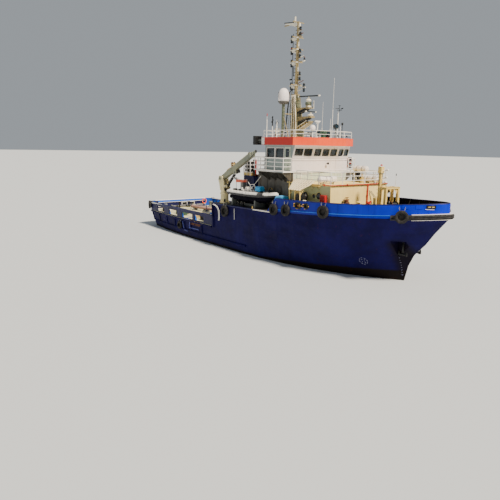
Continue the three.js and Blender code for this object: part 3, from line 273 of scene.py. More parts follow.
@dataclass(frozen=True)
class HullCoating(MarineEnamel):
    """The hull's paint scheme: glossy topsides, a dark boot-topping, oxide anti-fouling, and the decks."""

    boot: str = "#17110f"
    fouling: str = "#4a1f1a"
    after_deck: str = "#dcd6ae"
    fore_deck: str = "#33322e"

    def tone(self, tree: bpy.types.NodeTree, at: bpy.types.NodeSocket) -> bpy.types.NodeSocket:
        """Returns the colour by height, by place along the ship and by which way the plating faces.

        Args:
            tree: the material's node tree.
            at: the point on the ship, in metres.

        Returns:
            The colour's socket.
        """
        topside = MarineEnamel.tone(self, tree, at)
        split = node(tree, "SeparateXYZ", None, {0: at})
        x, z = split.outputs[0], split.outputs[2]
        # The line between topside and boot-topping: ragged by 60 mm, and it climbs towards the stem.
        ahead = node(tree, "Math", {"operation": "SUBTRACT", 1: 4.0}, {0: x})
        climbing = node(tree, "Math", {"operation": "MAXIMUM", 1: 0.0}, {0: ahead.outputs[0]})
        ragged = node(tree, "TexNoise", {"Scale": 2.4, "Detail": 6.0, "Roughness": 0.7}, {"Vector": at})
        lowered = node(tree, "Math", {"operation": "MULTIPLY_ADD", 1: -0.05}, {0: climbing.outputs[0], 2: z})
        line = node(tree, "Math", {"operation": "MULTIPLY_ADD", 1: 0.18},
                    {0: ragged.outputs["Fac"], 2: lowered.outputs[0]})
        dry = node(tree, "MapRange", {"From Min": 0.24, "From Max": 0.38}, {"Value": line.outputs[0]})
        wet = node(tree, "MapRange", {"From Min": -0.35, "From Max": -0.15}, {"Value": z})
        below = node(tree, "Mix", {"data_type": "RGBA", 6: linear(self.fouling), 7: linear(self.boot)},
                     {0: wet.outputs[0]})
        sides = node(tree, "Mix", {"data_type": "RGBA"}, {0: dry.outputs[0], 6: below.outputs[2], 7: topside})
        # Near-black below the anchor's pocket, X 15.7 to 17.2 m: painted shadow under the pocket and the
        # flare, with the mud and rust that the anchor has left.
        off = node(tree, "Math", {"operation": "SUBTRACT", 1: 16.45}, {0: x})
        near = node(tree, "Math", {"operation": "ABSOLUTE"}, {0: off.outputs[0]})
        width = node(tree, "MapRange", {"From Min": 0.95, "From Max": 0.3, "To Max": 0.85,
                                        "interpolation_type": "SMOOTHSTEP"}, {"Value": near.outputs[0]})
        under = node(tree, "MapRange", {"From Min": 3.5, "From Max": 2.9}, {"Value": z})
        pocket_shadow_and_rust = node(tree, "Math", {"operation": "MULTIPLY"}, {0: width.outputs[0], 1: under.outputs[0]})
        shadowed_and_rusted = node(tree, "Mix", {"data_type": "RGBA", 7: linear("#120d0e")},
                       {0: pocket_shadow_and_rust.outputs[0], 6: sides.outputs[2]})
        # The decks are what faces up above 1.5 m.
        facing = node(tree, "SeparateXYZ", None, {0: node(tree, "NewGeometry").outputs["Normal"]})
        flat = node(tree, "Math", {"operation": "GREATER_THAN", 1: 0.8}, {0: facing.outputs[2]})
        high = node(tree, "Math", {"operation": "GREATER_THAN", 1: 1.5}, {0: z})
        deck = node(tree, "Math", {"operation": "MULTIPLY"}, {0: flat.outputs[0], 1: high.outputs[0]})
        forward = node(tree, "Math", {"operation": "GREATER_THAN", 1: 3.5}, {0: z})
        decks = node(
            tree, "Mix", {"data_type": "RGBA", 6: linear(self.after_deck), 7: linear(self.fore_deck)},
            {0: forward.outputs[0]})
        whole = node(tree, "Mix", {"data_type": "RGBA"},
                     {0: deck.outputs[0], 6: shadowed_and_rusted.outputs[2], 7: decks.outputs[2]})
        return whole.outputs[2]

    def relief(self, tree: bpy.types.NodeTree, shader: bpy.types.Node, at: bpy.types.NodeSocket,
               spot: bpy.types.NodeSocket) -> None:
        """Adds the plates' weld seams, 6 m by 1.4 m, to the hollows between the frames.

        Args:
            tree: the material's node tree.
            shader: its Principled shader.
            at: the point on the ship, in metres.
            spot: the rust's noise.
        """
        MarineEnamel.relief(self, tree, shader, at, spot)
        split = node(tree, "SeparateXYZ", None, {0: at})
        plane = node(tree, "CombineXYZ", None, {0: split.outputs[0], 1: split.outputs[2]})
        plates = node(tree, "TexBrick", {"Scale": 1.0, "Mortar Size": 0.014, "Brick Width": 6.0,
                                         "Row Height": 1.4, "Mortar Smooth": 0.4},
                      {"Vector": plane.outputs[0]})
        before = shader.inputs["Normal"].links[0].from_socket
        weld = node(tree, "Bump", {"Strength": 0.6, "Distance": 0.006},
                    {"Height": plates.outputs["Fac"], "Normal": before})
        tree.links.new(weld.outputs[0], shader.inputs["Normal"])


@dataclass(frozen=True)
class AgedRubber(Finish):
    """Moulded tyre rubber, greyed by sun and salt: a matt black that turns brown-grey where it is dusty."""

    colour: str = "#121214"
    dust: str = "#4c4640"

    def wire(self, tree: bpy.types.NodeTree, shader: bpy.types.Node, at: bpy.types.NodeSocket) -> None:
        """Dusts the rubber and gives it a fine crazed surface, drawn at 12 mm so that it shows.

        Args:
            tree: the material's node tree.
            shader: its Principled shader.
            at: the point on the ship, in metres.
        """
        dusty = node(tree, "TexNoise", {"Scale": 4.0, "Detail": 8.0, "Roughness": 0.7}, {"Vector": at})
        share = node(tree, "MapRange", {"From Min": 0.45, "From Max": 0.75, "To Max": 0.7},
                     {"Value": dusty.outputs["Fac"]})
        mixed = node(tree, "Mix", {"data_type": "RGBA", 6: linear(self.colour), 7: linear(self.dust)},
                     {0: share.outputs[0]})
        tree.links.new(mixed.outputs[2], shader.inputs["Base Color"])
        shader.inputs["Roughness"].default_value = 0.82
        craze = node(tree, "TexVoronoi", {"Scale": 80.0}, {"Vector": at})
        bump = node(
            tree, "Bump", {"Strength": 0.25, "Distance": 0.004}, {"Height": craze.outputs["Distance"]})
        tree.links.new(bump.outputs[0], shader.inputs["Normal"])


@dataclass(frozen=True)
class WorkedMetal(Finish):
    """Bare metal left to the weather: cast, rolled or galvanised, dull where it has tarnished."""

    colour: str = "#8a8c8e"
    tarnish: str = "#4a4038"
    roughness: float = 0.42
    tarnished: float = 0.5

    def wire(self, tree: bpy.types.NodeTree, shader: bpy.types.Node, at: bpy.types.NodeSocket) -> None:
        """Mottles the metal with tarnish in patches of 50 to 300 mm.

        Args:
            tree: the material's node tree.
            shader: its Principled shader.
            at: the point on the ship, in metres.
        """
        patch = node(tree, "TexNoise", {"Scale": 5.0, "Detail": 8.0, "Roughness": 0.68}, {"Vector": at})
        share = node(tree, "MapRange", {"From Min": 0.42, "From Max": 0.68, "To Max": self.tarnished},
                     {"Value": patch.outputs["Fac"]})
        mixed = node(tree, "Mix", {"data_type": "RGBA", 6: linear(self.colour), 7: linear(self.tarnish)},
                     {0: share.outputs[0]})
        tree.links.new(mixed.outputs[2], shader.inputs["Base Color"])
        rough = node(tree, "MapRange", {"To Min": self.roughness - 0.1, "To Max": self.roughness + 0.25},
                     {"Value": patch.outputs["Fac"]})
        tree.links.new(rough.outputs[0], shader.inputs["Roughness"])
        shader.inputs["Metallic"].default_value = 0.85
        grain = node(tree, "TexNoise", {"Scale": 160.0, "Detail": 2.0}, {"Vector": at})
        bump = node(tree, "Bump", {"Strength": 0.15, "Distance": 0.002}, {"Height": grain.outputs["Fac"]})
        tree.links.new(bump.outputs[0], shader.inputs["Normal"])


@dataclass(frozen=True)
class SafetyGlass(Finish):
    """Toughened, tinted glazing: dark from outside by day, mirror-smooth, with a film of dried salt."""

    tint: str = "#2a4250"

    def wire(self, tree: bpy.types.NodeTree, shader: bpy.types.Node, at: bpy.types.NodeSocket) -> None:
        """Tints the pane and clouds it with salt.

        Args:
            tree: the material's node tree.
            shader: its Principled shader.
            at: the point on the ship, in metres.
        """
        salt = node(tree, "TexNoise", {"Scale": 1.6, "Detail": 7.0, "Roughness": 0.7}, {"Vector": at})
        share = node(tree, "MapRange", {"From Min": 0.5, "From Max": 0.85, "To Max": 0.25},
                     {"Value": salt.outputs["Fac"]})
        mixed = node(tree, "Mix", {"data_type": "RGBA", 6: linear(self.tint), 7: linear("#8d9698")},
                     {0: share.outputs[0]})
        tree.links.new(mixed.outputs[2], shader.inputs["Base Color"])
        rough = node(tree, "MapRange", {"To Min": 0.03, "To Max": 0.22}, {"Value": salt.outputs["Fac"]})
        tree.links.new(rough.outputs[0], shader.inputs["Roughness"])
        shader.inputs["IOR"].default_value = 1.52
        shader.inputs["Transmission Weight"].default_value = 0.55


@dataclass(frozen=True)
class MouldedShell(Finish):
    """Gel-coated fibreglass or moulded plastic: smooth and a little glossy, yellowed and dirty with age."""

    colour: str = "#dedad2"
    aged: str = "#b9b09c"
    roughness: float = 0.35

    def wire(self, tree: bpy.types.NodeTree, shader: bpy.types.Node, at: bpy.types.NodeSocket) -> None:
        """Ages the gel coat in streaks.

        Args:
            tree: the material's node tree.
            shader: its Principled shader.
            at: the point on the ship, in metres.
        """
        squeezed = node(tree, "Mapping", {"Scale": (3.0, 3.0, 1.1)}, {"Vector": at})
        worn = node(tree, "TexNoise", {"Scale": 1.6, "Detail": 8.0, "Roughness": 0.68},
                    {"Vector": squeezed.outputs[0]})
        share = node(tree, "MapRange", {"From Min": 0.45, "From Max": 0.75, "To Max": 0.75},
                     {"Value": worn.outputs["Fac"]})
        mixed = node(tree, "Mix", {"data_type": "RGBA", 6: linear(self.colour), 7: linear(self.aged)},
                     {0: share.outputs[0]})
        tree.links.new(mixed.outputs[2], shader.inputs["Base Color"])
        rough = node(tree, "MapRange", {"To Min": self.roughness - 0.08, "To Max": self.roughness + 0.2},
                     {"Value": worn.outputs["Fac"]})
        tree.links.new(rough.outputs[0], shader.inputs["Roughness"])
        bump = node(tree, "Bump", {"Strength": 0.08, "Distance": 0.01}, {"Height": worn.outputs["Fac"]})
        tree.links.new(bump.outputs[0], shader.inputs["Normal"])


@dataclass(frozen=True)
class WovenCloth(Finish):
    """Coated woven fabric, such as a boat's tube or a tarpaulin: a fine plain weave under a dull coating."""

    colour: str = "#8f9296"
    worn: str = "#6b6c6e"
    thread: float = 0.012
    roughness: float = 0.7

    def wire(self, tree: bpy.types.NodeTree, shader: bpy.types.Node, at: bpy.types.NodeSocket) -> None:
        """Weaves the cloth; its threads are drawn 12 mm apart, coarser than real, so that they show.

        Args:
            tree: the material's node tree.
            shader: its Principled shader.
            at: the point on the ship, in metres.
        """
        soiled = node(tree, "TexNoise", {"Scale": 2.2, "Detail": 7.0, "Roughness": 0.66}, {"Vector": at})
        share = node(tree, "MapRange", {"From Min": 0.42, "From Max": 0.72, "To Max": 0.8},
                     {"Value": soiled.outputs["Fac"]})
        mixed = node(tree, "Mix", {"data_type": "RGBA", 6: linear(self.colour), 7: linear(self.worn)},
                     {0: share.outputs[0]})
        tree.links.new(mixed.outputs[2], shader.inputs["Base Color"])
        shader.inputs["Roughness"].default_value = self.roughness
        shader.inputs["Sheen Weight"].default_value = 0.25
        weave = node(tree, "TexChecker", {"Scale": 1.0 / self.thread}, {"Vector": at})
        bump = node(tree, "Bump", {"Strength": 0.2, "Distance": 0.002}, {"Height": weave.outputs["Fac"]})
        tree.links.new(bump.outputs[0], shader.inputs["Normal"])


@dataclass(frozen=True)
class WeatheredTimber(Finish):
    """Deck planks of untreated hardwood, bleached grey-tan, with grain that the weather has raised."""

    colour: str = "#a08e68"
    grain: str = "#5f5038"

    def wire(self, tree: bpy.types.NodeTree, shader: bpy.types.Node, at: bpy.types.NodeSocket) -> None:
        """Draws grain about 12 mm wide and a metre long, and wet dark patches.

        Args:
            tree: the material's node tree.
            shader: its Principled shader.
            at: the point on the ship, in metres.
        """
        drawn = node(tree, "Mapping", {"Scale": (1.0, 42.0, 42.0)}, {"Vector": at})
        fibre = node(tree, "TexNoise", {"Scale": 1.0, "Detail": 6.0, "Roughness": 0.7},
                     {"Vector": drawn.outputs[0]})
        mixed = node(tree, "Mix", {"data_type": "RGBA", 6: linear(self.colour), 7: linear(self.grain)},
                     {0: fibre.outputs["Fac"]})
        patch = node(tree, "TexNoise", {"Scale": 0.7, "Detail": 7.0, "Roughness": 0.7}, {"Vector": at})
        dark = node(tree, "MapRange", {"From Min": 0.5, "From Max": 0.7, "To Max": 0.28},
                    {"Value": patch.outputs["Fac"]})
        whole = node(tree, "Mix", {"data_type": "RGBA", 7: linear("#3d3426")},
                     {0: dark.outputs[0], 6: mixed.outputs[2]})
        tree.links.new(whole.outputs[2], shader.inputs["Base Color"])
        shader.inputs["Roughness"].default_value = 0.85
        bump = node(tree, "Bump", {"Strength": 0.4, "Distance": 0.004}, {"Height": fibre.outputs["Fac"]})
        tree.links.new(bump.outputs[0], shader.inputs["Normal"])


@dataclass(frozen=True)
class LitScreen(Finish):
    """A display behind glass: it is switched off, so it is a dark gloss with a faint blue cast."""

    colour: str = "#0b1318"

    def wire(self, tree: bpy.types.NodeTree, shader: bpy.types.Node, at: bpy.types.NodeSocket) -> None:
        """Smears the glass a little.

        Args:
            tree: the material's node tree.
            shader: its Principled shader.
            at: the point on the ship, in metres.
        """
        smear = node(tree, "TexNoise", {"Scale": 9.0, "Detail": 3.0}, {"Vector": at})
        rough = node(tree, "MapRange", {"To Min": 0.08, "To Max": 0.3}, {"Value": smear.outputs["Fac"]})
        tree.links.new(rough.outputs[0], shader.inputs["Roughness"])
        shader.inputs["Base Color"].default_value = linear(self.colour)


NAVY = HullCoating(
    "navy_hull_enamel", "#0e0a3a", "#150f50", soil="#1a1626", runs=0.3, rust=0.16, roughness=0.55, gloss=0.08)
# The forecastle bulwark: its duller after part and its near-black deck side are painted shade.
ROYAL = TwoFacedEnamel("royal_blue_bulwark_enamel", "#0522b8", "#092cd8", soil="#141c58", inside="#080706",
                       aft_painted_shade="#34398c", rust=0.2, runs=0.3, roughness=0.6, plating=0.35, gloss=0.03)
AFT_BLUE = TwoFacedEnamel(
    "after_bulwark_enamel", "#12123c", "#1a1c50", inside="#1b4cae", rust=0.25, roughness=0.45, gloss=0.25)
EDGE_NAVY = MarineEnamel("dark_navy_edge_enamel", "#0c1140", "#131a5c", soil="#1c1b2a", rust=0.2, plating=0.0)
BLUE = MarineEnamel("bright_blue_enamel", "#1557c8", "#2068d8", rust=0.25, plating=0.0)
CREAM = MarineEnamel("cream_house_enamel", "#f4d684", "#e8c872", soil="#77694a", rust=0.25, runs=0.35)
# The house's cream, with a painted shade tint, olive, on the faces that look to starboard.
HOUSE_CREAM = MarineEnamel(
    "cream_house_side_enamel", "#ffe69a", "#f4d888", soil="#8a7a54", rust=0.25, runs=0.3, starboard_painted_shade="#b6bc8c")
CRANE_CREAM = MarineEnamel("crane_cream_enamel", "#fff0ba", "#dccf9c", soil="#5c573e", rust=0.35, runs=0.6,
                           plating=0.0)
BOOM_GREY = MarineEnamel("olive_grey_boom_enamel", "#83887a", "#9a9c80", soil="#45442f", rust=0.5, runs=0.6,
                         plating=0.0)
MAST_CREAM = MarineEnamel("mast_olive_enamel", "#a8966a", "#94845e", soil="#4a4230", rust=0.5, runs=0.6,
                          plating=0.0)
# Painted shade: a dark grey for pale paint in deep shade, on the accommodation's sides under the bridge wings
# and on gear in shade, with its own dirt runs and rust.
SHADE = MarineEnamel("painted_shade_grey_weathered_enamel", "#5f5c55", "#4c4943", soil="#26221d", rust=0.6, runs=0.8)
# The superstructure's white, with a painted shade tint, teal grey, on the faces that look to starboard.
WHITE = MarineEnamel("white_superstructure_enamel", "#efe4e4", "#e6dcda", soil="#8f8478", rust=0.22, runs=0.3,
                     plating=0.3, starboard_painted_shade="#8d9c9c")
# Painted shade: a pale green-white for white paint in shade, on the panels under the bridge's overhang and on
# the wing doors.
PALE_GREEN = MarineEnamel(
    "pale_green_panel_enamel", "#c9d4c2", "#b9c6b4", soil="#6c7463", rust=0.25, runs=0.4, plating=0.0)
TRIM_WHITE = MarineEnamel("white_trim_enamel", "#f0eeea", "#e2dfd8", rust=0.3, runs=0.3, plating=0.0)
# The orange fascia, with a painted shade tint, dark red, on the faces that look to starboard.
FASCIA = MarineEnamel("orange_fascia_enamel", "#f4461a", "#f65a2a", soil="#9a432a", rust=0.1, runs=0.25,
                      plating=0.0, gloss=0.2, starboard_painted_shade="#c23a34")
RED = MarineEnamel("signal_red_enamel", "#b8201f", "#c83028", rust=0.15, plating=0.0)
YELLOW = MarineEnamel("warning_yellow_enamel", "#dcae1a", "#c89c2a", rust=0.3, plating=0.0)
BLACK = MarineEnamel("black_gear_enamel", "#131416", "#1e1f21", soil="#3c362c", rust=0.45, plating=0.0)
GREY = MarineEnamel("machinery_grey_enamel", "#6f7370", "#5e625f", soil="#2b2822", rust=0.5, plating=0.0)
GREEN = MarineEnamel("deck_green_enamel", "#2f4a3a", "#3a5545", rust=0.4, plating=0.0)
PINKED = MarineEnamel("faded_red_lead_primer", "#a07c70", "#b5948a", soil="#5a4038", rust=0.5, roughness=0.7,
                      plating=0.0)
MAST_WHITE = MarineEnamel("mast_white_enamel", "#f6f1e2", "#ebe2c8", soil="#6b5a44", rust=0.35, runs=0.45,
                          plating=0.0)
YELLOWED = MarineEnamel("yellowed_cream_enamel", "#c9b16a", "#b89a58", soil="#5a4526", rust=0.5, runs=0.5,
                        plating=0.0)
POST_GREEN = MarineEnamel("grey_green_post_enamel", "#6f7560", "#636852", soil="#3a3a2c", rust=0.4, runs=0.5,
                          plating=0.0)
RUSTED = MarineEnamel("rusted_steel_over_primer", "#5b3a28", "#7a4a2e", soil="#2a1d16", rust=0.7, runs=0.6,
                      roughness=0.75, plating=0.0)
CORRUGATED = MarineEnamel("cream_corrugated_sheet", "#efe3c4", "#e2d0a6", soil="#7a6244", rust=0.12, runs=0.4,
                          roughness=0.6, plating=0.0)
RUBBER = AgedRubber("aged_tyre_rubber")
# Dark grey plastic; on the scanners' bars it is painted shade for their undersides.
DARK_PLASTIC = MouldedShell("dark_grey_plastic_and_scanner_shade", "#3a4248", "#2c3236")
STRAP = WovenCloth("polyester_lashing_strap", "#4a4238", "#2c2822", thread=0.01)
WORN_MARK = MarineEnamel("worn_grey_blue_mark_enamel", "#8c8fae", "#767a9c", rust=0.3, runs=0.5, plating=0.0)
# Painted highlights: pale blue bars for the light lines on the guard plates and the lower strake aft.
PALE_BLUE = MarineEnamel("pale_blue_painted_highlight", "#5d66b4", "#4b53a0", rust=0.35, runs=0.4, plating=0.0)
STEEL = WorkedMetal("worn_rolled_steel", "#77797b", "#4b3c30", tarnished=0.7)
GALVANISED = WorkedMetal("galvanised_steel", "#9c9fa1", "#6f716f", roughness=0.5, tarnished=0.5)
CHROME = WorkedMetal("chromed_rod_steel", "#c9cbcd", "#9a9a98", roughness=0.2, tarnished=0.3)
BRONZE = WorkedMetal("cast_screw_bronze", "#a9823d", "#5f5a32", roughness=0.35, tarnished=0.6)
ROYAL_SHUTTER = MarineEnamel(
    "royal_blue_shutter_enamel", "#0628cc", "#0826c0", soil="#141c58", rust=0.1, runs=0.2, roughness=0.6,
    plating=0.0, gloss=0.03)
GLASS = SafetyGlass("tinted_window_glass")
SHELL = MouldedShell("white_canister_fibreglass", "#f2ebe4", "#cfc4b4")
DOME = MouldedShell("radome_plastic", "#f6eeec", "#ded2cc")
HYPALON = WovenCloth("pale_grey_tube_fabric", "#eeece6", "#c9c6c0")
DARK_FABRIC = WovenCloth("dark_navy_tube_fabric", "#15141e", "#211f2b")
ORANGE_CLOTH = WovenCloth("orange_coated_cloth", "#e2603c", "#c04a2c")
BOAT_NAVY = MarineEnamel("dark_navy_boat_gel_coat", "#0b0a14", "#100e1a", soil="#1c1a1a", rust=0.0, runs=0.2,
                         roughness=0.7, plating=0.0, gloss=0.06)
TARPAULIN = WovenCloth("light_blue_tarpaulin", "#2fa3e0", "#2488c4", thread=0.016)
TIMBER = WeatheredTimber("weathered_deck_planks", "#e6dfb4", "#b5ad84")
SCREEN = LitScreen("switched_off_display")


# Shaping


def frame_along(path: Sequence[Vector], closed: bool) -> list[Matrix]:
    """Carries a square frame along a path without twisting it.

    Args:
        path: the points.
        closed: whether the path joins its own start.

    Returns:
        A 4 by 4 matrix at each point, whose X and Y lie across the path.
    """
    count = len(path)
    frames = []
    across = None
    for i, point in enumerate(path):
        before = path[i - 1] if i or closed else path[i]
        after = path[(i + 1) % count] if i + 1 < count or closed else path[i]
        ahead = (after - before).normalized()
        if across is None:
            across = ahead.orthogonal().normalized()
        across = (across - ahead * across.dot(ahead)).normalized()
        other = ahead.cross(across)
        frames.append(Matrix((
            (across.x, other.x, ahead.x, point.x), (across.y, other.y, ahead.y, point.y),
            (across.z, other.z, ahead.z, point.z), (0, 0, 0, 1))))
    return frames


def rounded(path: Sequence[Point], radius: float, steps: int = 4, closed: bool = False) -> list[Vector]:
    """Rounds the corners of a path, as a pipe is bent.

    Args:
        path: the corners.
        radius: how far from each corner the bend starts, in metres.
        steps: the points in each bend.
        closed: whether the last point joins the first.

    Returns:
        The path with its bends.
    """
    corners = [Vector(p) for p in path]
    count = len(corners)
    out: list[Vector] = []
    for i, corner in enumerate(corners):
        if not closed and i in (0, count - 1):
            out.append(corner)
            continue
        before, after = corners[i - 1] - corner, corners[(i + 1) % count] - corner
        reach = min(radius, before.length * 0.45, after.length * 0.45)
        a, b = corner + before.normalized() * reach, corner + after.normalized() * reach
        for k in range(steps + 1):
            t = k / steps
            out.append(a.lerp(corner, t).lerp(corner.lerp(b, t), t))
    return out


def upward(height: float) -> Vector:
    """A step straight up."""
    return Vector((0, 0, height))


def arc(at: Point, u: Point, v: Point, radius: float, start: float, end: float, steps: int) -> list[Vector]:
    """Points of an arc in the plane of two directions, from one angle to another, in degrees.

    Args:
        at: the arc's middle.
        u: the direction of angle 0.
        v: the direction of 90 degrees.
        radius: its radius.
        start: its first angle, in degrees.
        end: its last angle.
        steps: the pieces between them.

    Returns:
        The points.
    """
    middle, u, v = Vector(at), Vector(u), Vector(v)
    angles = [math.radians(start + (end - start) * k / steps) for k in range(steps + 1)]
    return [middle + u * (radius * math.cos(a)) + v * (radius * math.sin(a)) for a in angles]


class Form:
    """The points and faces of one piece, grown shape by shape; each face remembers its finish."""

    def __init__(self, finish: Finish) -> None:
        """Starts an empty form of one finish.

        Args:
            finish: the finish of what is grown first.
        """
        self.points: list[Vector] = []
        self.faces: list[tuple[int, ...]] = []
        self.marks: list[int] = []
        self.finishes: list[Finish] = [finish]
        self.mark = 0

    def of(self, finish: Finish) -> "Form":
        """Gives what is grown next another finish.

        Args:
            finish: the finish.

        Returns:
            This form.
        """
        if finish not in self.finishes:
            self.finishes.append(finish)
        self.mark = self.finishes.index(finish)
        return self

    def add(self, points: Iterable[Point], faces: Iterable[Sequence[int]]) -> "Form":
        """Adds bare points, and faces that count from the first of them.

        Args:
            points: the points.
            faces: the faces, as indexes among these points.

        Returns:
            This form.
        """
        base = len(self.points)
        self.points.extend(Vector(p) for p in points)
        for face in faces:
            self.faces.append(tuple(base + i for i in face))
            self.marks.append(self.mark)
        return self

    def skin(self, rows: Sequence[Sequence[Point]], around: bool = True, caps: bool = True,
             joined: bool = False) -> "Form":
        """Stretches a skin over rows of points.

        Args:
            rows: rows of equal count.
            around: whether each row joins its own start.
            caps: whether the first and last rows are filled.
            joined: whether the last row joins the first.

        Returns:
            This form.
        """
        count, total = len(rows[0]), len(rows)
        faces: list[Sequence[int]] = []
        for r in range(total if joined else total - 1):
            s = (r + 1) % total
            for k in range(count if around else count - 1):
                m = (k + 1) % count
                faces.append((r * count + k, r * count + m, s * count + m, s * count + k))
        if caps and not joined:
            faces.append(tuple(range(count)))
            faces.append(tuple(range((total - 1) * count, total * count)))
        return self.add([p for row in rows for p in row], faces)

    def bar(self, a: Point, b: Point, wide: float, tall: float, edge: float = 0.006,
            up: Point = UP) -> "Form":
        """Adds a straight bar with chamfered edges.

        Args:
            a: where it starts.
            b: where it ends.
            wide: its breadth across both its length and up.
            tall: its depth along up.
            edge: the chamfer.
            up: the direction of its depth.

        Returns:
            This form.
        """
        start, end = Vector(a), Vector(b)
        x = (end - start).normalized()
        y = Vector(up).cross(x)
        y = (Vector(ABEAM).cross(x) if y.length < 1e-3 else y).normalized()
        z = x.cross(y)
        half = ((end - start).length / 2, wide / 2, tall / 2)
        edge = min(edge, min(half) * 0.8)
        middle = (start + end) / 2
        corners = [(i, j, k) for i in (-1, 1) for j in (-1, 1) for k in (-1, 1)]
        points = []
        for signs in corners:
            for flat in range(3):
                reach = [s * (h - (0 if n == flat else edge)) for n, (s, h) in enumerate(zip(signs, half))]
                points.append(middle + x * reach[0] + y * reach[1] + z * reach[2])
        faces: list[tuple[int, ...]] = [(3 * c, 3 * c + 1, 3 * c + 2) for c in range(8)]
        for axis, step in ((0, 4), (1, 2), (2, 1)):
            one, two = (s for s in (4, 2, 1) if s != step)
            for c in range(8):
                if not c & step:
                    i, j = (n for n in range(3) if n != axis)
                    faces.append((3 * c + i, 3 * c + j, 3 * (c + step) + j, 3 * (c + step) + i))
            for base in (0, step):
                ring = (base, base + one, base + one + two, base + two)
                faces.append(tuple(3 * c + axis for c in ring))
        return self.add(points, faces)

    def block(self, low: Point, high: Point, edge: float = 0.01) -> "Form":
        """Adds an upright block between two opposite corners, with chamfered edges."""
        y, z = (low[1] + high[1]) / 2, (low[2] + high[2]) / 2
        return self.bar((low[0], y, z), (high[0], y, z), abs(high[1] - low[1]), abs(high[2] - low[2]), edge)

    def pipe(self, path: Sequence[Point], radius: float, sides: int = 8, closed: bool = False) -> "Form":
        """Adds a round pipe along a path.

        Args:
            path: its middle line.
            radius: its radius.
            sides: the sides of its section.
            closed: whether it joins its own start.

        Returns:
            This form.
        """
        frames = frame_along([Vector(p) for p in path], closed)
        rim = [(radius * math.cos(FULL_TURN * k / sides), radius * math.sin(FULL_TURN * k / sides), 0)
               for k in range(sides)]
        return self.skin([[f @ Vector(p) for p in rim] for f in frames], joined=closed)

    def turned(self, profile: Sequence[tuple[float, float]], at: Point, axis: Point = UP,
               segments: int = 24, loop: bool = False) -> "Form":
        """Adds a turned shape.

        Args:
            profile: pairs of radius and height along the axis.
            at: the point of height 0.
            axis: the direction of height.
            segments: the steps of a full turn.
            loop: whether the profile is a closed ring that stays off the axis.

        Returns:
            This form.
        """
        turn = Vector(UP).rotation_difference(Vector(axis).normalized()).to_matrix()
        start = Vector(at)
        rows = []
        for k in range(segments):
            c, s = math.cos(FULL_TURN * k / segments), math.sin(FULL_TURN * k / segments)
            rows.append([start + turn @ Vector((r * c, r * s, h)) for r, h in profile])
        return self.skin(rows, around=loop, caps=False, joined=True)

    def rod(self, a: Point, b: Point, radius: float, end: float | None = None, segments: int = 16,
            edge: float = 0.006) -> "Form":
        """Adds a round bar with chamfered ends, or a cone with a second radius.

        Args:
            a: where it starts.
            b: where it ends.
            radius: its radius at the start.
            end: its radius at the end, or None for the same.
            segments: the steps of a full turn.
            edge: the chamfer.

        Returns:
            This form.
        """
        along = Vector(b) - Vector(a)
        far = radius if end is None else end
        edge = min(edge, radius * 0.4, far * 0.4, along.length * 0.3)
        profile = [(0, 0), (radius - edge, 0), (radius, edge), (far, along.length - edge),
                   (far - edge, along.length), (0, along.length)]
        return self.turned(profile, a, along, segments)

    def ring(self, at: Point, axis: Point, radius: float, thick: float, segments: int = 32,
             sides: int = 8) -> "Form":
        """Adds a ring of round section about an axis.

        Args:
            at: its middle.
            axis: its axis.
            radius: the radius of its middle line.
            thick: the radius of its section.
            segments: the steps of a full turn.
            sides: the sides of its section.

        Returns:
            This form.
        """
        loop = [(radius + thick * math.cos(FULL_TURN * k / sides), thick * math.sin(FULL_TURN * k / sides))
                for k in range(sides)]
        return self.turned(loop, at, axis, segments, loop=True)

    def ball(self, at: Point, radius: float, segments: int = 16) -> "Form":
        """Adds a sphere.

        Args:
            at: its middle.
            radius: its radius.
            segments: the steps of a full turn.

        Returns:
            This form.
        """
        half = segments // 2
        profile = [(radius * math.sin(math.pi * k / half), -radius * math.cos(math.pi * k / half))
                   for k in range(half + 1)]
        return self.turned(profile, at, UP, segments)

    def plate(self, outline: Sequence[tuple[float, float]], at: Point, u: Point, v: Point,
              thick: float) -> "Form":
        """Adds a flat plate: an outline along two directions, thickened along their normal.

        Args:
            outline: its corners, as shares of the two directions.
            at: the outline's origin.
            u: the first direction.
            v: the second direction.
            thick: its thickness along their cross product.

        Returns:
            This form.
        """
        origin, u, v = Vector(at), Vector(u), Vector(v)
        normal = u.cross(v).normalized() * thick
        near = [origin + u * a + v * b for a, b in outline]
        return self.skin([near, [p + normal for p in near]])

    def sweep(self, path: Sequence[tuple[Vector, Vector]], profile: Sequence[tuple[float, float]],
              up: Point = UP, closed: bool = False) -> "Form":
        """Carries a section along a path on the hull.

        Args:
            path: points, each with its outward direction.
            profile: the section's points as (outward, upward).
            up: the direction of upward.
            closed: whether the path joins its own start.

        Returns:
            This form.
        """
        rise = Vector(up)
        return self.skin([[p + out * o + rise * h for o, h in profile] for p, out in path], joined=closed)

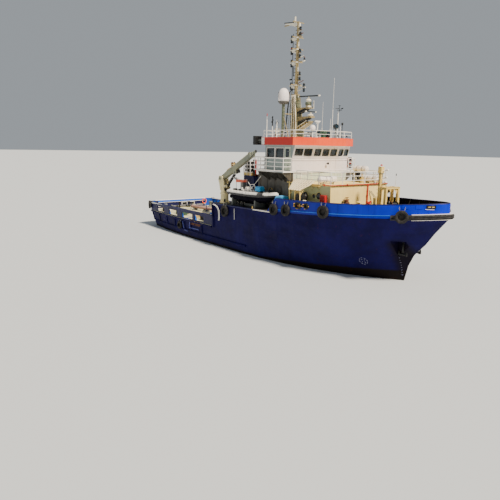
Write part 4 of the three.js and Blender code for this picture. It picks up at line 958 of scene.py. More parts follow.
    def made(self, name: str, body: str = VESSEL, slot: str | None = None, replaces: Sequence[str] = (),
             smooth: float = 38.0, bevel: float = 0.0) -> bpy.types.Object:
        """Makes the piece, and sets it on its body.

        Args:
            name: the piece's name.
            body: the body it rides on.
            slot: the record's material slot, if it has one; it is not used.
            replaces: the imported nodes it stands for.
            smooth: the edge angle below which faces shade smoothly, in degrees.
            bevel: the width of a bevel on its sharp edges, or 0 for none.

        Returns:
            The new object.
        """
        mesh = bpy.data.meshes.new(name)
        mesh.from_pydata(self.points, [], self.faces)
        for finish in self.finishes:
            mesh.materials.append(finish.material())
        mesh.polygons.foreach_set("material_index", self.marks)
        shape = bmesh.new()
        shape.from_mesh(mesh)
        bmesh.ops.remove_doubles(shape, verts=shape.verts, dist=1e-5)
        bmesh.ops.recalc_face_normals(shape, faces=shape.faces)
        shape.to_mesh(mesh)
        shape.free()
        mesh.polygons.foreach_set("use_smooth", [True] * len(mesh.polygons))
        mesh.set_sharp_from_angle(angle=math.radians(smooth))
        piece = bpy.data.objects.new(name, mesh)
        bpy.context.scene.collection.objects.link(piece)
        if bevel:
            cut = piece.modifiers.new("edges", "BEVEL")
            cut.width, cut.segments, cut.limit_method = bevel, 2, "ANGLE"
            cut.angle_limit = math.radians(40)
            cut.use_clamp_overlap = True
        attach(piece, body)
        if replaces:
            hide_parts(*replaces)
        LOG.info("%s: %d faces on %s", name, len(mesh.polygons), body)
        return piece


def dress(finish: Finish, *names: str) -> None:
    """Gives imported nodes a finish.

    Args:
        finish: the finish.
        *names: the nodes.
    """
    for name in names:
        for holder in NODES[name].material_slots:
            holder.link = "OBJECT"
            holder.material = finish.material()
        LOG.info("%s: %s", name, finish.name)


def smoothed(name: str, node_name: str, finish: Finish, body: str = VESSEL, angle: float = 28.0) -> None:
    """Stands a smooth-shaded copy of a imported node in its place.

    Args:
        name: the new piece's name.
        node_name: the node it replaces.
        finish: its finish.
        body: the body it rides on.
        angle: the edge angle below which faces shade smoothly, in degrees.
    """
    mesh = NODES[node_name].data
    form = Form(finish)
    form.add([v.co.copy() for v in mesh.vertices], [tuple(p.vertices) for p in mesh.polygons])
    form.made(name, body, replaces=[node_name], smooth=angle)


class Skin:
    """The outside of the hull and bulwarks, so that trim is set on it."""

    def __init__(self, *names: str) -> None:
        """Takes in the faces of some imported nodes.

        Args:
            *names: the nodes.
        """
        points: list[Vector] = []
        faces: list[list[int]] = []
        for name in names:
            mesh, base = NODES[name].data, len(points)
            points += [v.co.copy() for v in mesh.vertices]
            faces += [[base + i for i in p.vertices] for p in mesh.polygons]
        self.tree = BVHTree.FromPolygons(points, faces)

    def half(self, x: float, z: float) -> float:
        """Half the breadth at a place along the ship and a height."""
        hit = self.tree.ray_cast(Vector((x, 12, z)), Vector((0, -1, 0)))[0]
        return hit.y if hit else 0.0

    def out(self, x: float, z: float, level: bool = True) -> Vector:
        """The direction away from the port side there, level or square to the plating.

        Args:
            x: the place along the ship.
            z: the height.
            level: whether the direction is kept level.

        Returns:
            A unit vector.
        """
        slope = (self.half(x + 0.3, z) - self.half(x - 0.3, z)) / 0.6
        rise = 0.0 if level else (self.half(x, z + 0.15) - self.half(x, z - 0.15)) / 0.3
        return Vector((-slope, 1, -rise)).normalized()

    def at(self, x: float, z: float, side: int, stand_off: float = 0.0,
           level: bool = True) -> tuple[Vector, Vector]:
        """A point of one side, moved off it, and its outward direction.

        Args:
            x: the place along the ship.
            z: the height.
            side: -1 for starboard, 1 for port.
            stand_off: how far off the plating the point lies.
            level: whether the direction is kept level.

        Returns:
            The point and the way out.
        """
        out = self.out(x, z, level)
        point = Vector((x, self.half(x, z), z)) + out * stand_off
        return Vector((point.x, side * point.y, point.z)), Vector((out.x, side * out.y, out.z))

    def line(self, x0: float, x1: float, height: Callable[[float], float], side: int,
             step: float = 0.5) -> list[tuple[Vector, Vector]]:
        """A line along one side between two places, each point with its outward direction.

        Args:
            x0: where it starts.
            x1: where it ends.
            height: the height at a place along the ship.
            side: -1 for starboard, 1 for port.
            step: about how far apart the points are.

        Returns:
            Points, each with its outward direction.
        """
        count = max(2, round(abs(x1 - x0) / step))
        xs = [x0 + (x1 - x0) * k / count for k in range(count + 1)]
        return [self.at(x, height(x), side) for x in xs]

    def around_bow(self, height: Callable[[float], float], start: float,
                   turn: int = 4) -> list[tuple[Vector, Vector]]:
        """A line round the bow from starboard to port.

        Args:
            height: the height at a place along the ship.
            start: the place where the line starts on each side.
            turn: the step between points, in degrees about the line's middle.

        Returns:
            Points, each with its outward direction.
        """
        middle = Vector((start - 0.5, 0, 0))
        found = []
        for degrees in range(-100, 101, turn):
            ray = Vector((math.cos(math.radians(degrees)), math.sin(math.radians(degrees)), 0))
            guess = middle.x + 3 * ray.x
            for _ in range(4):
                far = Vector((middle.x + ray.x * 15, ray.y * 15, height(guess)))
                hit = self.tree.ray_cast(far, -ray)[0]
                guess = hit.x if hit else guess
            if hit and hit.x >= start:
                found.append(hit)
        line = []
        for i, point in enumerate(found):
            ahead = (found[min(i + 1, len(found) - 1)] - found[max(i - 1, 0)]).normalized()
            line.append((point, Vector((ahead.y, -ahead.x, 0)).normalized()))
        return line


def railing(
        form: Form, path: Sequence[tuple[float, float]], foot: float, height: float = 1.05, lines: int = 3,
        spacing: float = 1.3, post: float = 0.034, line: float = 0.028, closed: bool = False) -> None:
    """Adds a guard rail of round pipe: posts on small feet, a top rail and lower lines.

    Args:
        form: the piece it is added to.
        path: the rail's corners in plan.
        foot: the deck it stands on.
        height: the top rail's height above that.
        lines: the rails, the top one with them.
        spacing: about how far apart the posts are.
        post: the posts' radius.
        line: the lower lines' radius.
        closed: whether the rail goes all the way round.
    """
    corners = [*path, path[0]] if closed else list(path)
    for i, (a, b) in enumerate(zip(corners, corners[1:])):
        bays = max(1, round(math.dist(a, b) / spacing))
        last = 1 if not closed and i + 2 == len(corners) else 0
        for k in range(bays + last):
            x, y = a[0] + (b[0] - a[0]) * k / bays, a[1] + (b[1] - a[1]) * k / bays
            form.rod((x, y, foot), (x, y, foot + height - 0.01), post, segments=8)
            form.block((x - 0.05, y - 0.05, foot), (x + 0.05, y + 0.05, foot + 0.02), 0.004)
    for k in range(1, lines + 1):
        top = k == lines
        z = foot + height * k / lines - (0.024 if top else 0.0)
        bent = rounded([(x, y, z) for x, y in path], 0.12, closed=closed)
        form.pipe(bent, post if top else line, 8, closed)


def bolts(form: Form, at: Iterable[Point], axis: Point, radius: float = 0.018) -> None:
    """Adds hexagonal bolt heads at points, all along one axis.

    Args:
        form: the piece it is added to.
        at: the points.
        axis: the bolts' axis.
        radius: a head's radius.
    """
    for point in at:
        form.turned([(0, 0), (radius, 0), (radius, radius * 0.7), (radius * 0.8, radius), (0, radius)],
                    point, axis, 6)


def chain(form: Form, a: Point, b: Point, link: float = 0.09, bar: float = 0.011) -> None:
    """Adds a straight chain of oval links between two points.

    Args:
        form: the piece it is added to.
        a: the first end.
        b: the last end.
        link: a link's length.
        bar: half the thickness of its bar.
    """
    start, along = Vector(a), Vector(b) - Vector(a)
    count = max(1, round(along.length / (link * 0.72)))
    ahead = along.normalized()
    side = ahead.orthogonal().normalized()
    for k in range(count):
        across = side if k % 2 else ahead.cross(side)
        middle = start + along * (k + 0.5) / count
        oval = [middle + ahead * (math.cos(t) * link * 0.5) + across * (math.sin(t) * link * 0.3)
                for t in (FULL_TURN * n / 8 for n in range(8))]
        form.pipe(oval, bar, 5, closed=True)


# Hull


def fore_deck(x: float) -> float:
    """The raised deck's height at a place along the ship.

    Args:
        x: the place along the ship.

    Returns:
        The height over the water.
    """
    table = ((-3.6, 4.35), (5.5, 4.5), (11.0, 4.75), (15.0, 4.95), (19.43, 5.25), (25.0, 5.63))
    for (x0, z0), (x1, z1) in zip(table, table[1:]):
        if x <= x1:
            return z0 + (z1 - z0) * (x - x0) / (x1 - x0)
    return table[-1][1]


def bulwark_top(x: float) -> float:
    """The height of the forecastle bulwark's edge.

    Args:
        x: the place along the ship.

    Returns:
        The height over the water.
    """
    table = ((0.0, 5.6), (7.0, 5.68), (11.0, 5.74), (14.0, 5.86), (16.5, 6.01), (19.43, 6.25))
    for (x0, z0), (x1, z1) in zip(table, table[1:]):
        if x <= x1:
            return z0 + (z1 - z0) * (x - x0) / (x1 - x0)
    return table[-1][1]


@dataclass
class Tyres:
    """The lorry tyres that hang along the hull as fenders, on short chains."""

    hull: Skin
    # Place along the ship, height and radius.
    table: tuple[tuple[float, float, float], ...] = (
        (6.34, 4.72, 0.49), (7.85, 4.82, 0.49), (11.75, 5.09, 0.51), (-1.15, 3.76, 0.56), (-18.8, 2.6, 0.50),
        (17.28, 5.27, 0.47), (-10.5, 1.15, 0.44))
    stand_off: float = 0.125
    half_width: float = 0.115
    lugs: int = 26

    def tyre(self, form: Form, at: Vector, axis: Vector, radius: float) -> None:
        """Moulds one tyre: a hollow casing with beads, a web, sidewall ribs and tread lugs.

        Args:
            form: the piece it is added to.
            at: its middle.
            axis: its axle's direction.
            radius: its outer radius.
        """
        w, r = self.half_width, radius
        outer = [(r * 0.56, -w * 0.72), (r * 0.62, -w * 0.9), (r * 0.76, -w * 1.05), (r * 0.9, -w),
                 (r * 0.955, -w * 0.86), (r * 0.97, -w * 0.4)]
        outer += [(q, -h) for q, h in reversed(outer)]
        inner = [(q - (0.02 if q < r * 0.6 else 0.035), h * 0.78) for q, h in reversed(outer)]
        form.turned([*outer, *inner], at, axis, 44, loop=True)
        # A web across the casing, which shows as the dark middle.
        form.turned([(0, -w * 0.7), (r * 0.6, -w * 0.7), (r * 0.6, -w * 0.5), (0, -w * 0.5)], at, axis, 32)
        for rib in (0.66, 0.83):
            for face in (-1, 1):
                form.ring(at + axis * (face * w * (0.97 if rib < 0.7 else 1.03)), axis, r * rib, 0.006, 40, 4)
        u = axis.orthogonal().normalized()
        v = axis.cross(u)
        for k in range(self.lugs):
            for row, shift in ((-0.5, 0.0), (0.5, 0.5)):
                a = FULL_TURN * (k + shift) / self.lugs
                away = u * math.cos(a) + v * math.sin(a)
                middle = at + away * (r * 0.968) + axis * (row * w * 0.95)
                form.bar(middle - axis * w * 0.4, middle + axis * w * 0.4, r * 0.11, r * 0.06, 0.008, away)

    def build(self) -> None:
        """Hangs the tyres on both sides."""
        for name, side in SIDES.items():
            for number, (x, z, radius) in enumerate(self.table, 1):
                form = Form(RUBBER)
                axis = self.hull.out(x, z)
                # The bow's tyre hangs over the rubber fender.
                reach = 0.37 if x > 16.6 else 0.02
                point = Vector((x, self.hull.half(x, z), z)) + axis * (self.stand_off + reach)
                at, axis = Vector((point.x, side * point.y, z)), Vector((axis.x, side * axis.y, 0))
                self.tyre(form, at, axis, radius)
                along = Vector(UP).cross(axis)
                form.of(GALVANISED)
                for way in (-1, 1):
                    low = at + upward(radius * 0.62) + along * (way * radius * 0.28)
                    top = min(z + radius + 0.22, 2.97 if x < -3.6 else 9.0)
                    high = low + along * (way * 0.08)
                    reach = Vector((high.x, high.y, top)) + axis * -(self.stand_off * 0.6)
                    chain(form, low, reach, 0.11, 0.013)
                form.made(f"tyre_{name}_{number}", slot="rubber")


@dataclass
class Strakes:
    """The rubbing strakes, the raised deck's white edge, the blue band's bead and the guard at its step."""

    hull: Skin
    low: float = 0.80
    deck: float = 1.86
    step: float = -3.6
    stern: float = -18.7
    uprights: tuple[float, ...] = (-18.4, -16.2, -14.0, -11.8, -9.5, -8.0, -5.8)

    def half_round(
            self, form: Form, line: Sequence[tuple[Vector, Vector]], reach: float, tall: float) -> None:
        """Carries a half-round section along a line of the hull.

        Args:
            form: the piece it is added to.
            line: points, each with its outward direction.
            reach: how far the section stands out.
            tall: its height.
        """
        section = [(-0.05, -tall)]
        section += [(reach * math.sin(math.pi * k / 6), -tall * math.cos(math.pi * k / 6)) for k in range(7)]
        section.append((-0.05, tall))
        form.sweep(line, section)

    def guard(self, form: Form, side: int) -> None:
        """Bends the white guard pipe that rises off the step and turns down the side.

        Args:
            form: the piece it is added to.
            side: -1 for starboard, 1 for port.
        """
        for off, shift in ((0.09, 0.0), (0.07, -0.16)):
            points = []
            for x, z in ((-3.42, 4.2), (-3.2, 4.2), (-2.86, 4.15), (-2.5, 4.02), (-2.3, 3.84), (-2.16, 3.6),
                         (-2.12, 3.35), (-2.14, 3.0), (-2.2, 2.7)):
                point, out = self.hull.at(x + shift, min(z, 4.25), side)
                points.append(point + out * off)
            form.pipe(points, 0.045, 10)

    def build(self) -> None:
        """Welds the strakes on."""
        for name, side in SIDES.items():
            form = Form(NAVY)
            self.half_round(form, self.hull.line(self.stern, 2.0, lambda x: self.low, side), 0.13, 0.10)
            self.half_round(
                form, self.hull.line(self.stern, self.step - 0.2, lambda x: self.deck, side), 0.13, 0.12)
            for x in self.uprights:
                rows = []
                for k in range(7):
                    z = self.low + (self.deck - self.low) * k / 6
                    point, out = self.hull.at(x, z, side)
                    ahead = Vector(UP).cross(out)
                    rows.append([point + out * -0.04 + ahead * 0.07, point + out * 0.10 + ahead * 0.05,
                                 point + out * 0.10 - ahead * 0.05, point + out * -0.04 - ahead * 0.07])
                form.skin(rows)
            # A flat bar down the step, from the raised deck to the deck strake.
            rows = []
            for k in range(9):
                z = self.deck + (4.3 - self.deck) * k / 8
                point, out = self.hull.at(self.step + 0.16, min(z, 4.25), side)
                ahead = Vector(UP).cross(out)
                rows.append([Vector((p.x, p.y, z)) for p in (
                    point + out * -0.04 + ahead * 0.14, point + out * 0.11 + ahead * 0.11,
                    point + out * 0.11 - ahead * 0.11, point + out * -0.04 - ahead * 0.14)])
            form.skin(rows)
            self.guard(form.of(TRIM_WHITE), side)
            form.made(f"rubbing_strake_{name}", slot="rubber", replaces=[f"strake_{name}"])

            trim = Form(TRIM_WHITE)
            for start, end, finish in ((self.step + 0.06, 3.3, EDGE_NAVY), (3.3, 5.7, TRIM_WHITE)):
                edge = self.hull.line(start, end, lambda x: fore_deck(x) - 0.08, side)
                trim.of(finish).sweep(edge, [(-0.02, -0.05), (0.045, -0.05), (0.055, 0.0), (0.045, 0.05),
                                             (-0.02, 0.05)])
            trim.of(BLUE)
            band = self.hull.line(6.1, 17.1, lambda x: fore_deck(x) + 0.19, side)
            trim.sweep(band, [(-0.02, -0.035), (0.03, -0.035), (0.045, 0.0), (0.03, 0.035), (-0.02, 0.035)])
            trim.made(f"deck_edge_trim_{name}", slot="white")


@dataclass
class BowFender:
    """The moulded rubber round the bow, held between two steel flats."""

    hull: Skin
    start: float = 16.6
    tall: float = 0.36
    reach: float = 0.33

    def low(self, x: float) -> float:
        """The fender's lower edge.

        Args:
            x: the place along the ship.

        Returns:
            The height over the water.
        """
        table = ((16.0, 4.89), (17.2, 4.98), (19.2, 5.16), (20.0, 5.24))
        for (x0, z0), (x1, z1) in zip(table, table[1:]):
            if x <= x1:
                break
        return z0 + (z1 - z0) * (x - x0) / (x1 - x0)

    def build(self) -> None:
        """Bends the fender and its flats round the bow."""
        line = self.hull.around_bow(lambda x: self.low(x) + self.tall / 2, self.start, 3)
        half = self.tall / 2
        rubber = Form(RUBBER)
        section = [(0.0, -half), (self.reach * 0.55, -half), (self.reach * 0.9, -half * 0.7),
                   (self.reach, -half * 0.3), (self.reach * 0.86, 0.0), (self.reach, half * 0.3),
                   (self.reach * 0.9, half * 0.7), (self.reach * 0.55, half), (0.0, half)]
        rubber.sweep(line, section)
        rubber.made("bow_fender_rubber", slot="rubber", replaces=["bow_fender"], smooth=30)
        flats = Form(TRIM_WHITE)
        ahead_of_tyre = [(p, o) for p, o in line if p.x > 17.75]
        for z, grow in ((half + 0.014, 0.02), (-half - 0.014, 0.06)):
            flats.sweep(ahead_of_tyre, [(0.0, z - 0.014), (self.reach * 0.62 + grow, z - 0.014),
                                        (self.reach * 0.62 + grow, z + 0.014), (0.0, z + 0.014)])
        flats.made("bow_fender_flats", slot="white")


@dataclass
class Bulwarks:
    """What finishes the bulwarks: rails on their edges, stays, framed chocks, shutters and rollers."""

    hull: Skin
    # Place, half the length, drop below the bulwark's edge, and half the height of each chock.
    chocks: tuple[tuple[float, float, float, float], ...] = (
        (9.15, 0.29, 0.38, 0.20), (10.02, 0.18, 0.36, 0.17), (17.45, 0.17, 0.19, 0.09),
        (18.15, 0.17, 0.19, 0.09))
    aft_top: float = 3.0

    def rails(self) -> None:
        """Runs a pipe along each bulwark's edge."""
        form = Form(EDGE_NAVY)
        bow = self.hull.around_bow(lambda x: bulwark_top(x) - 0.03, 15.0, 3)
        starboard = self.hull.line(6.5, 14.8, lambda x: bulwark_top(x) - 0.03, -1)
        port = self.hull.line(14.8, 6.5, lambda x: bulwark_top(x) - 0.03, 1)
        path = []
        for p, o in [*starboard, *bow, *port]:
            path.append(Vector((p.x, p.y, bulwark_top(p.x) - 0.02)) - o * 0.055)
        form.pipe(path, 0.062, 8)
        form.made("forecastle_bulwark_rail", slot="blue")
        form = Form(TRIM_WHITE)
        for side in SIDES.values():
            line = self.hull.line(-18.75, -3.75, lambda x: self.aft_top - 0.05, side, 0.7)
            form.of(TRIM_WHITE if side > 0 else EDGE_NAVY)
            form.pipe([Vector((p.x, p.y, self.aft_top)) - o * 0.055 for p, o in line], 0.07, 8)
        form.of(TRIM_WHITE)
        form.pipe([Vector((-19.34, y, self.aft_top)) for y in (-3.7, -2.0, 0.0, 2.0, 3.7)], 0.07, 8)
        form.made("after_bulwark_rail", slot="white")

    def stays(self) -> None:
        """Welds the triangular stays inside both bulwarks."""
        form = Form(BLACK)
        for side in SIDES.values():
            for k in range(9):
                x = 7.0 + k * 1.25
                if any(abs(x - c) < half + 0.12 for c, half, _, _ in self.chocks):
                    x += 0.5
                self.stay(form, x, fore_deck(x), bulwark_top(x) - 0.1, side, 0.34)
        form.made("forecastle_bulwark_stays", slot="black")
        form = Form(BLUE)
        for side in SIDES.values():
            for x in (-17.3, -14.2, -13.6, -10.7, -10.4, -7.5, -5.1, -4.2):
                self.stay(form, x, 2.0, self.aft_top - 0.08, side, 0.38)
        form.made("after_bulwark_stays", slot="blue")

    def stay(self, form: Form, x: float, low: float, high: float, side: int, foot: float) -> None:
        """Adds one stay with a flange along its slope.

        Args:
            form: the piece it is added to.
            x: the place along the ship.
            low: the deck's height.
            high: the height of the stay's top.
            side: -1 for starboard, 1 for port.
            foot: the length of its foot.
        """
        y = side * (self.hull.half(x, high) - 0.10)
        inward = -side
        outline = [(0, 0), (foot, 0), (foot, 0.06), (0.06, high - low), (0, high - low)]
        form.plate(outline, (x - 0.006, y, low + 0.004), (0, inward, 0), UP, 0.012)
        form.bar(
            (x, y + inward * foot, low + 0.06), (x, y + inward * 0.06, high), 0.07, 0.01, 0.003,
            (0, inward, 0.3))

    def beside(self, chock: tuple[float, float, float, float], side: int) -> tuple[Vector, Vector]:
        """Finds the middle of a chock's opening from the wall just above and below it.

        Args:
            chock: its row of the table.
            side: -1 for starboard, 1 for port.

        Returns:
            The middle of the opening on the wall's outer face, and the way out.
        """
        x, _, drop, tall = chock
        middle = bulwark_top(x) - drop
        low, out = self.hull.at(x, middle - tall - 0.04, side)
        high, _ = self.hull.at(x, middle + tall + 0.04, side)
        return (low + high) / 2, out

    def chock(self, form: Form, chock: tuple[float, float, float, float], side: int) -> None:
        """Frames one chock's opening with a rounded casting on both faces.

        Args:
            form: the piece it is added to.
            chock: its row of the table.
            side: -1 for starboard, 1 for port.
        """
        _, half, _, tall = chock
        point, out = self.beside(chock, side)
        ahead, up = Vector(UP).cross(out), Vector(UP)
        corner = [(-half, -tall), (half, -tall), (half, tall), (-half, tall)]
        for depth in (0.012, -0.122):
            loop = rounded([point + out * depth + ahead * a + up * b for a, b in corner], 0.1, 5, closed=True)
            form.pipe(loop, 0.055, 8, closed=True)

    def stripes(self, form: Form, chock: tuple[float, float, float, float], side: int) -> None:
        """Lays short warning bars, yellow on black, beside and below one chock's opening.

        Args:
            form: the piece it is added to.
            chock: its row of the table.
            side: -1 for starboard, 1 for port.
        """
        x, half, drop, tall = chock
        middle = bulwark_top(x) - drop
        # Place and height as shares of the opening's half sizes, half the bar's length, and its height.
        bars = ((-1, -0.35, 0.1, 0.09), (-1, 0.1, 0.1, 0.1), (-1, 0.55, 0.1, 0.09), (1, -0.5, 0.08, 0.09),
                (1, 0.0, 0.08, 0.1), (1, 0.5, 0.08, 0.09), (-0.4, -1.3, 0.13, 0.06), (0.4, -1.3, 0.13, 0.06))
        for k, (a, b, wide, high) in enumerate(bars):
            point, out = self.hull.at(
                x + a * (half + (0.09 if abs(a) == 1 else 0.0)), middle + b * tall, side)
            ahead = Vector(UP).cross(out)
            form.of(BLACK if k % 2 else YELLOW)
            form.bar(point - ahead * wide, point + ahead * wide, 0.024, high, 0.004)

    def build(self) -> None:
        """Adds the rails, the stays and the chocks."""
        self.rails()
        self.stays()
        form = Form(BLACK)
        for side in SIDES.values():
            for chock in self.chocks[:2]:
                self.chock(form.of(BLACK), chock, side)
                self.stripes(form, chock, side)
            self.roller(form, side)
        form.made("bulwark_chocks", slot="black", bevel=0.0)
        # Shutters close the forward pair of openings.
        form = Form(ROYAL_SHUTTER)
        for side in SIDES.values():
            for chock in self.chocks[2:]:
                half, tall = chock[1], chock[3]
                point, out = self.beside(chock, side)
                ahead = Vector(UP).cross(out)
                form.bar(
                    point - ahead * (half + 0.07), point + ahead * (half + 0.07), 0.03, 2 * tall + 0.07,
                    0.006)
        form.made("chock_shutters", slot="blue")

    def roller(self, form: Form, side: int) -> None:
        """Bolts on the roller fairlead near the stem: a dark case, two worn rollers and a pale sill.

        Args:
            form: the piece it is added to.
            side: -1 for starboard, 1 for port.
        """
        x, z = 18.72, bulwark_top(18.72) - 0.2
        point, out = self.hull.at(x, z, side)
        ahead, up = Vector(UP).cross(out), Vector(UP)
        form.of(BLACK).bar(point - ahead * 0.33, point + ahead * 0.33, 0.09, 0.24, 0.03)
        for shift in (-0.13, 0.12):
            form.of(YELLOWED).bar(
                point + out * 0.05 + ahead * (shift - 0.09), point + out * 0.05 + ahead * (shift + 0.09),
                0.03, 0.07, 0.01)
        form.of(TRIM_WHITE).bar(
            point - up * 0.17 - ahead * 0.4, point - up * 0.17 + ahead * 0.22, 0.05, 0.03, 0.006)


@dataclass
class DeckGear:
    """The timber and the gear of the open decks: planks, hatch cover, bitts, vents, rollers and stores."""

    hull: Skin
    plank: float = 0.145
    deck: float = 2.0

    def planks(self) -> None:
        """Lays hardwood planks on the work deck, round the hatch and clear of the winch."""
        form = Form(TIMBER)
        rows = int(3.7 / self.plank)
        for row in range(-rows, rows + 1):
            y = row * self.plank
            ends = [(-18.2, -12.62), (-10.38, -6.1)] if abs(y) < 1.0 else [(-18.2, -6.1)]
            for start, end in ends:
                cut = start + 1.5 + (row * 7 % 5) * 0.7
                for a, b in ((start, cut), (cut + 0.008, end)):
                    form.block((a, y - self.plank / 2 + 0.004, self.deck + 0.001),
                               (b, y + self.plank / 2 - 0.004, self.deck + 0.048), 0.006)
        form.made("work_deck_planks")

    def hatch(self) -> None:
        """Covers the hatch with stiffened lids and dogs."""
        form = Form(GREY)
        for k in range(2):
            x0 = -12.46 + k * 0.98
            form.block((x0, -0.86, 2.091), (x0 + 0.94, 0.86, 2.12), 0.008)
            for y in (-0.5, 0.0, 0.5):
                form.block((x0 + 0.05, y - 0.03, 2.12), (x0 + 0.89, y + 0.03, 2.15), 0.006)
        form.of(STEEL)
        for x in (-12.2, -11.5, -10.8):
            for y in (-0.84, 0.84):
                form.rod((x, y, 2.1), (x, y, 2.2), 0.02)
                form.bar((x - 0.06, y, 2.19), (x + 0.06, y, 2.19), 0.03, 0.02)
        form.made("cargo_hatch_cover", bevel=0.0)

    def bitts(self, form: Form, x: float, y: float, foot: float, turned: bool = False, radius: float = 0.13,
              tall: float = 0.62) -> None:
        """Stands a pair of bollards on their bed plate.

        Args:
            form: the piece it is added to.
            x: the place along the ship.
            y: the place across it.
            foot: the deck's height.
            turned: whether the pair lies athwartships.
            radius: a bollard's radius.
            tall: its height.
        """
        along = Vector(ABEAM) if turned else Vector(AHEAD)
        wide = Vector(AHEAD) if turned else Vector(ABEAM)
        middle = Vector((x, y, foot))
        a, b = middle - along * 0.62, middle + along * 0.62
        form.bar(a + upward(0.03), b + upward(0.03), 0.42, 0.06, 0.01)
        for way in (-1, 1):
            at = middle + along * (way * 0.34)
            form.turned([(0, 0), (radius, 0), (radius, tall - 0.06), (radius + 0.035, tall - 0.04),
                         (radius + 0.04, tall), (radius + 0.02, tall + 0.03), (0, tall + 0.035)], at, UP, 24)
            form.bar(at + wide * -0.2 + upward(tall * 0.72), at + wide * 0.2 + upward(tall * 0.72),
                     0.05, 0.05, 0.015)

    def mushroom(self, form: Form, x: float, y: float, foot: float, tall: float, radius: float) -> None:
        """Stands a mushroom ventilator on the deck.

        Args:
            form: the piece it is added to.
            x: the place along the ship.
            y: the place across it.
            foot: the deck's height.
            tall: its height.
            radius: its cap's radius.
        """
        form.turned([(0, 0), (radius * 0.8, 0), (radius * 0.8, 0.04), (radius * 0.45, 0.07),
                     (radius * 0.45, tall - radius * 0.5), (radius * 0.95, tall - radius * 0.5),
                     (radius, tall - radius * 0.4), (radius * 0.85, tall - radius * 0.12),
                     (radius * 0.4, tall), (0, tall + 0.01)], (x, y, foot), UP, 24)

    def stern(self) -> None:
        """Adds the towing pins, the stern roller and the capstans."""
        form = Form(STEEL)
        form.rod((-19.05, -1.4, 2.16), (-19.05, 1.4, 2.16), 0.15, segments=28)
        for y in (-1.5, 1.5):
            form.of(GREY).block((-19.25, y - 0.09, 2.001), (-18.85, y + 0.09, 2.38), 0.03)
        for y in (-0.7, 0.7):
            form.of(BLACK).turned([(0, 0), (0.16, 0), (0.16, 0.05), (0.10, 0.08), (0.10, 0.62), (0.17, 0.66),
                                   (0.17, 0.72), (0, 0.75)], (-18.4, y, PLANK_TOP), UP, 20)
        for y in (-3.3, 3.3):
            form.of(GREY).turned([(0, 0), (0.36, 0), (0.36, 0.08), (0.22, 0.18), (0.18, 0.42), (0.24, 0.62),
                                  (0.27, 0.66), (0.22, 0.74), (0, 0.76)], (-17.2, y, PLANK_TOP), UP, 28)
        form.made("stern_gear", bevel=0.0)

    def build(self) -> None:
        """Lays out the decks."""
        self.planks()
        self.hatch()
        self.stern()
        form = Form(BLACK)
        for side in SIDES.values():
            self.bitts(form, 12.1, side * 3.1, fore_deck(12.1))
            self.bitts(form, 0.6, side * 4.45, fore_deck(0.6), radius=0.09, tall=0.42)
            self.bitts(form, -15.9, side * 4.05, self.deck + 0.001)
            self.bitts(form, -4.5, side * 4.1, self.deck + 0.001)
        self.bitts(form, 16.6, 0.0, fore_deck(16.3), turned=True)
        form.made("mooring_bitts", slot="black")
        form = Form(CREAM)
        for x, y, tall, radius in ((12.0, -0.9, 0.95, 0.22), (12.3, 1.6, 0.7, 0.2), (-2.2, 2.6, 0.9, 0.26),
                                   (-3.2, -2.4, 0.8, 0.22), (0.9, 3.6, 0.75, 0.2)):
            self.mushroom(form, x, y, fore_deck(x), tall, radius)
        form.of(BLACK)
        self.mushroom(form, 11.9, -2.1, fore_deck(11.9), 0.85, 0.2)
        form.made("mushroom_vents", slot="cream")
        self.stores()

    def stores(self) -> None:
        """Stows a spare tow beam and lockers along the work deck, and fits scupper pipes and rollers."""
        form = Form(PINKED)
        start, run, z = (-15.8, -0.28), (4.7, 0.56), 2.47
        form.rod((*start, z), (-10.3, 0.38, z), 0.19, segments=20)
        for t in (0.04, 0.34, 0.62, 0.9, 0.97):
            at = Vector((start[0] + run[0] * t, start[1] + run[1] * t, z))
            form.turned(
                [(0.18, -0.04), (0.22, -0.04), (0.22, 0.04), (0.18, 0.04)], at, (*run, 0), 20, loop=True)
        form.of(GREY)
        for x in (-15.2, -13.2, -12.9):
            y = start[1] + run[1] * (x - start[0]) / run[0]
            form.plate([(-0.4, 0), (0.4, 0), (0.4, 0.12), (0.2, 0.3), (-0.2, 0.3), (-0.4, 0.12)],
                       (x - 0.05, y, PLANK_TOP), ABEAM, UP, 0.1)
        form.made("stowed_tow_beam")
        form = Form(BLUE)
        for x0, y0, x1, y1, tall in ((-14.6, 3.2, -12.9, 3.9, 0.72), (-9.0, 3.3, -7.9, 3.9, 0.6)):
            form.block((x0, y0, 2.05), (x1, y1, 2.05 + tall), 0.03)
            form.block((x0 - 0.03, y0 - 0.03, 2.05 + tall), (x1 + 0.03, y1 + 0.03, 2.1 + tall), 0.015)
        form.of(TRIM_WHITE)
        for x in (-14.0, -13.4, -8.6, -8.2):
            form.block((x - 0.05, 3.19, 2.5), (x + 0.05, 3.25, 2.62), 0.01)
        form.made("deck_lockers", slot="blue")
        # A scupper pipe and a roller fairlead that show as pale and yellow marks on the starboard side.
        form = Form(TRIM_WHITE)
        for side in SIDES.values():
            line = [self.hull.at(0.35, z, side, 0.03)[0] for z in (3.1, 3.4, 3.8, 4.15)]
            form.pipe(line, 0.026, 8)
            form.of(YELLOWED).block((3.0, side * 4.93 - 0.07, 4.3), (3.2, side * 4.93 + 0.07, 4.5), 0.02)
            form.rod((3.1, side * 4.93, 4.48), (3.1, side * 4.93, 4.66), 0.05)
            form.of(TRIM_WHITE)
        form.made("side_scuppers_and_rollers", slot="white")


# Houses


class Lens(Enum):
    """The glass of a ship's lantern."""

    CLEAR = GLASS
    RED = RED
    GREEN = GREEN


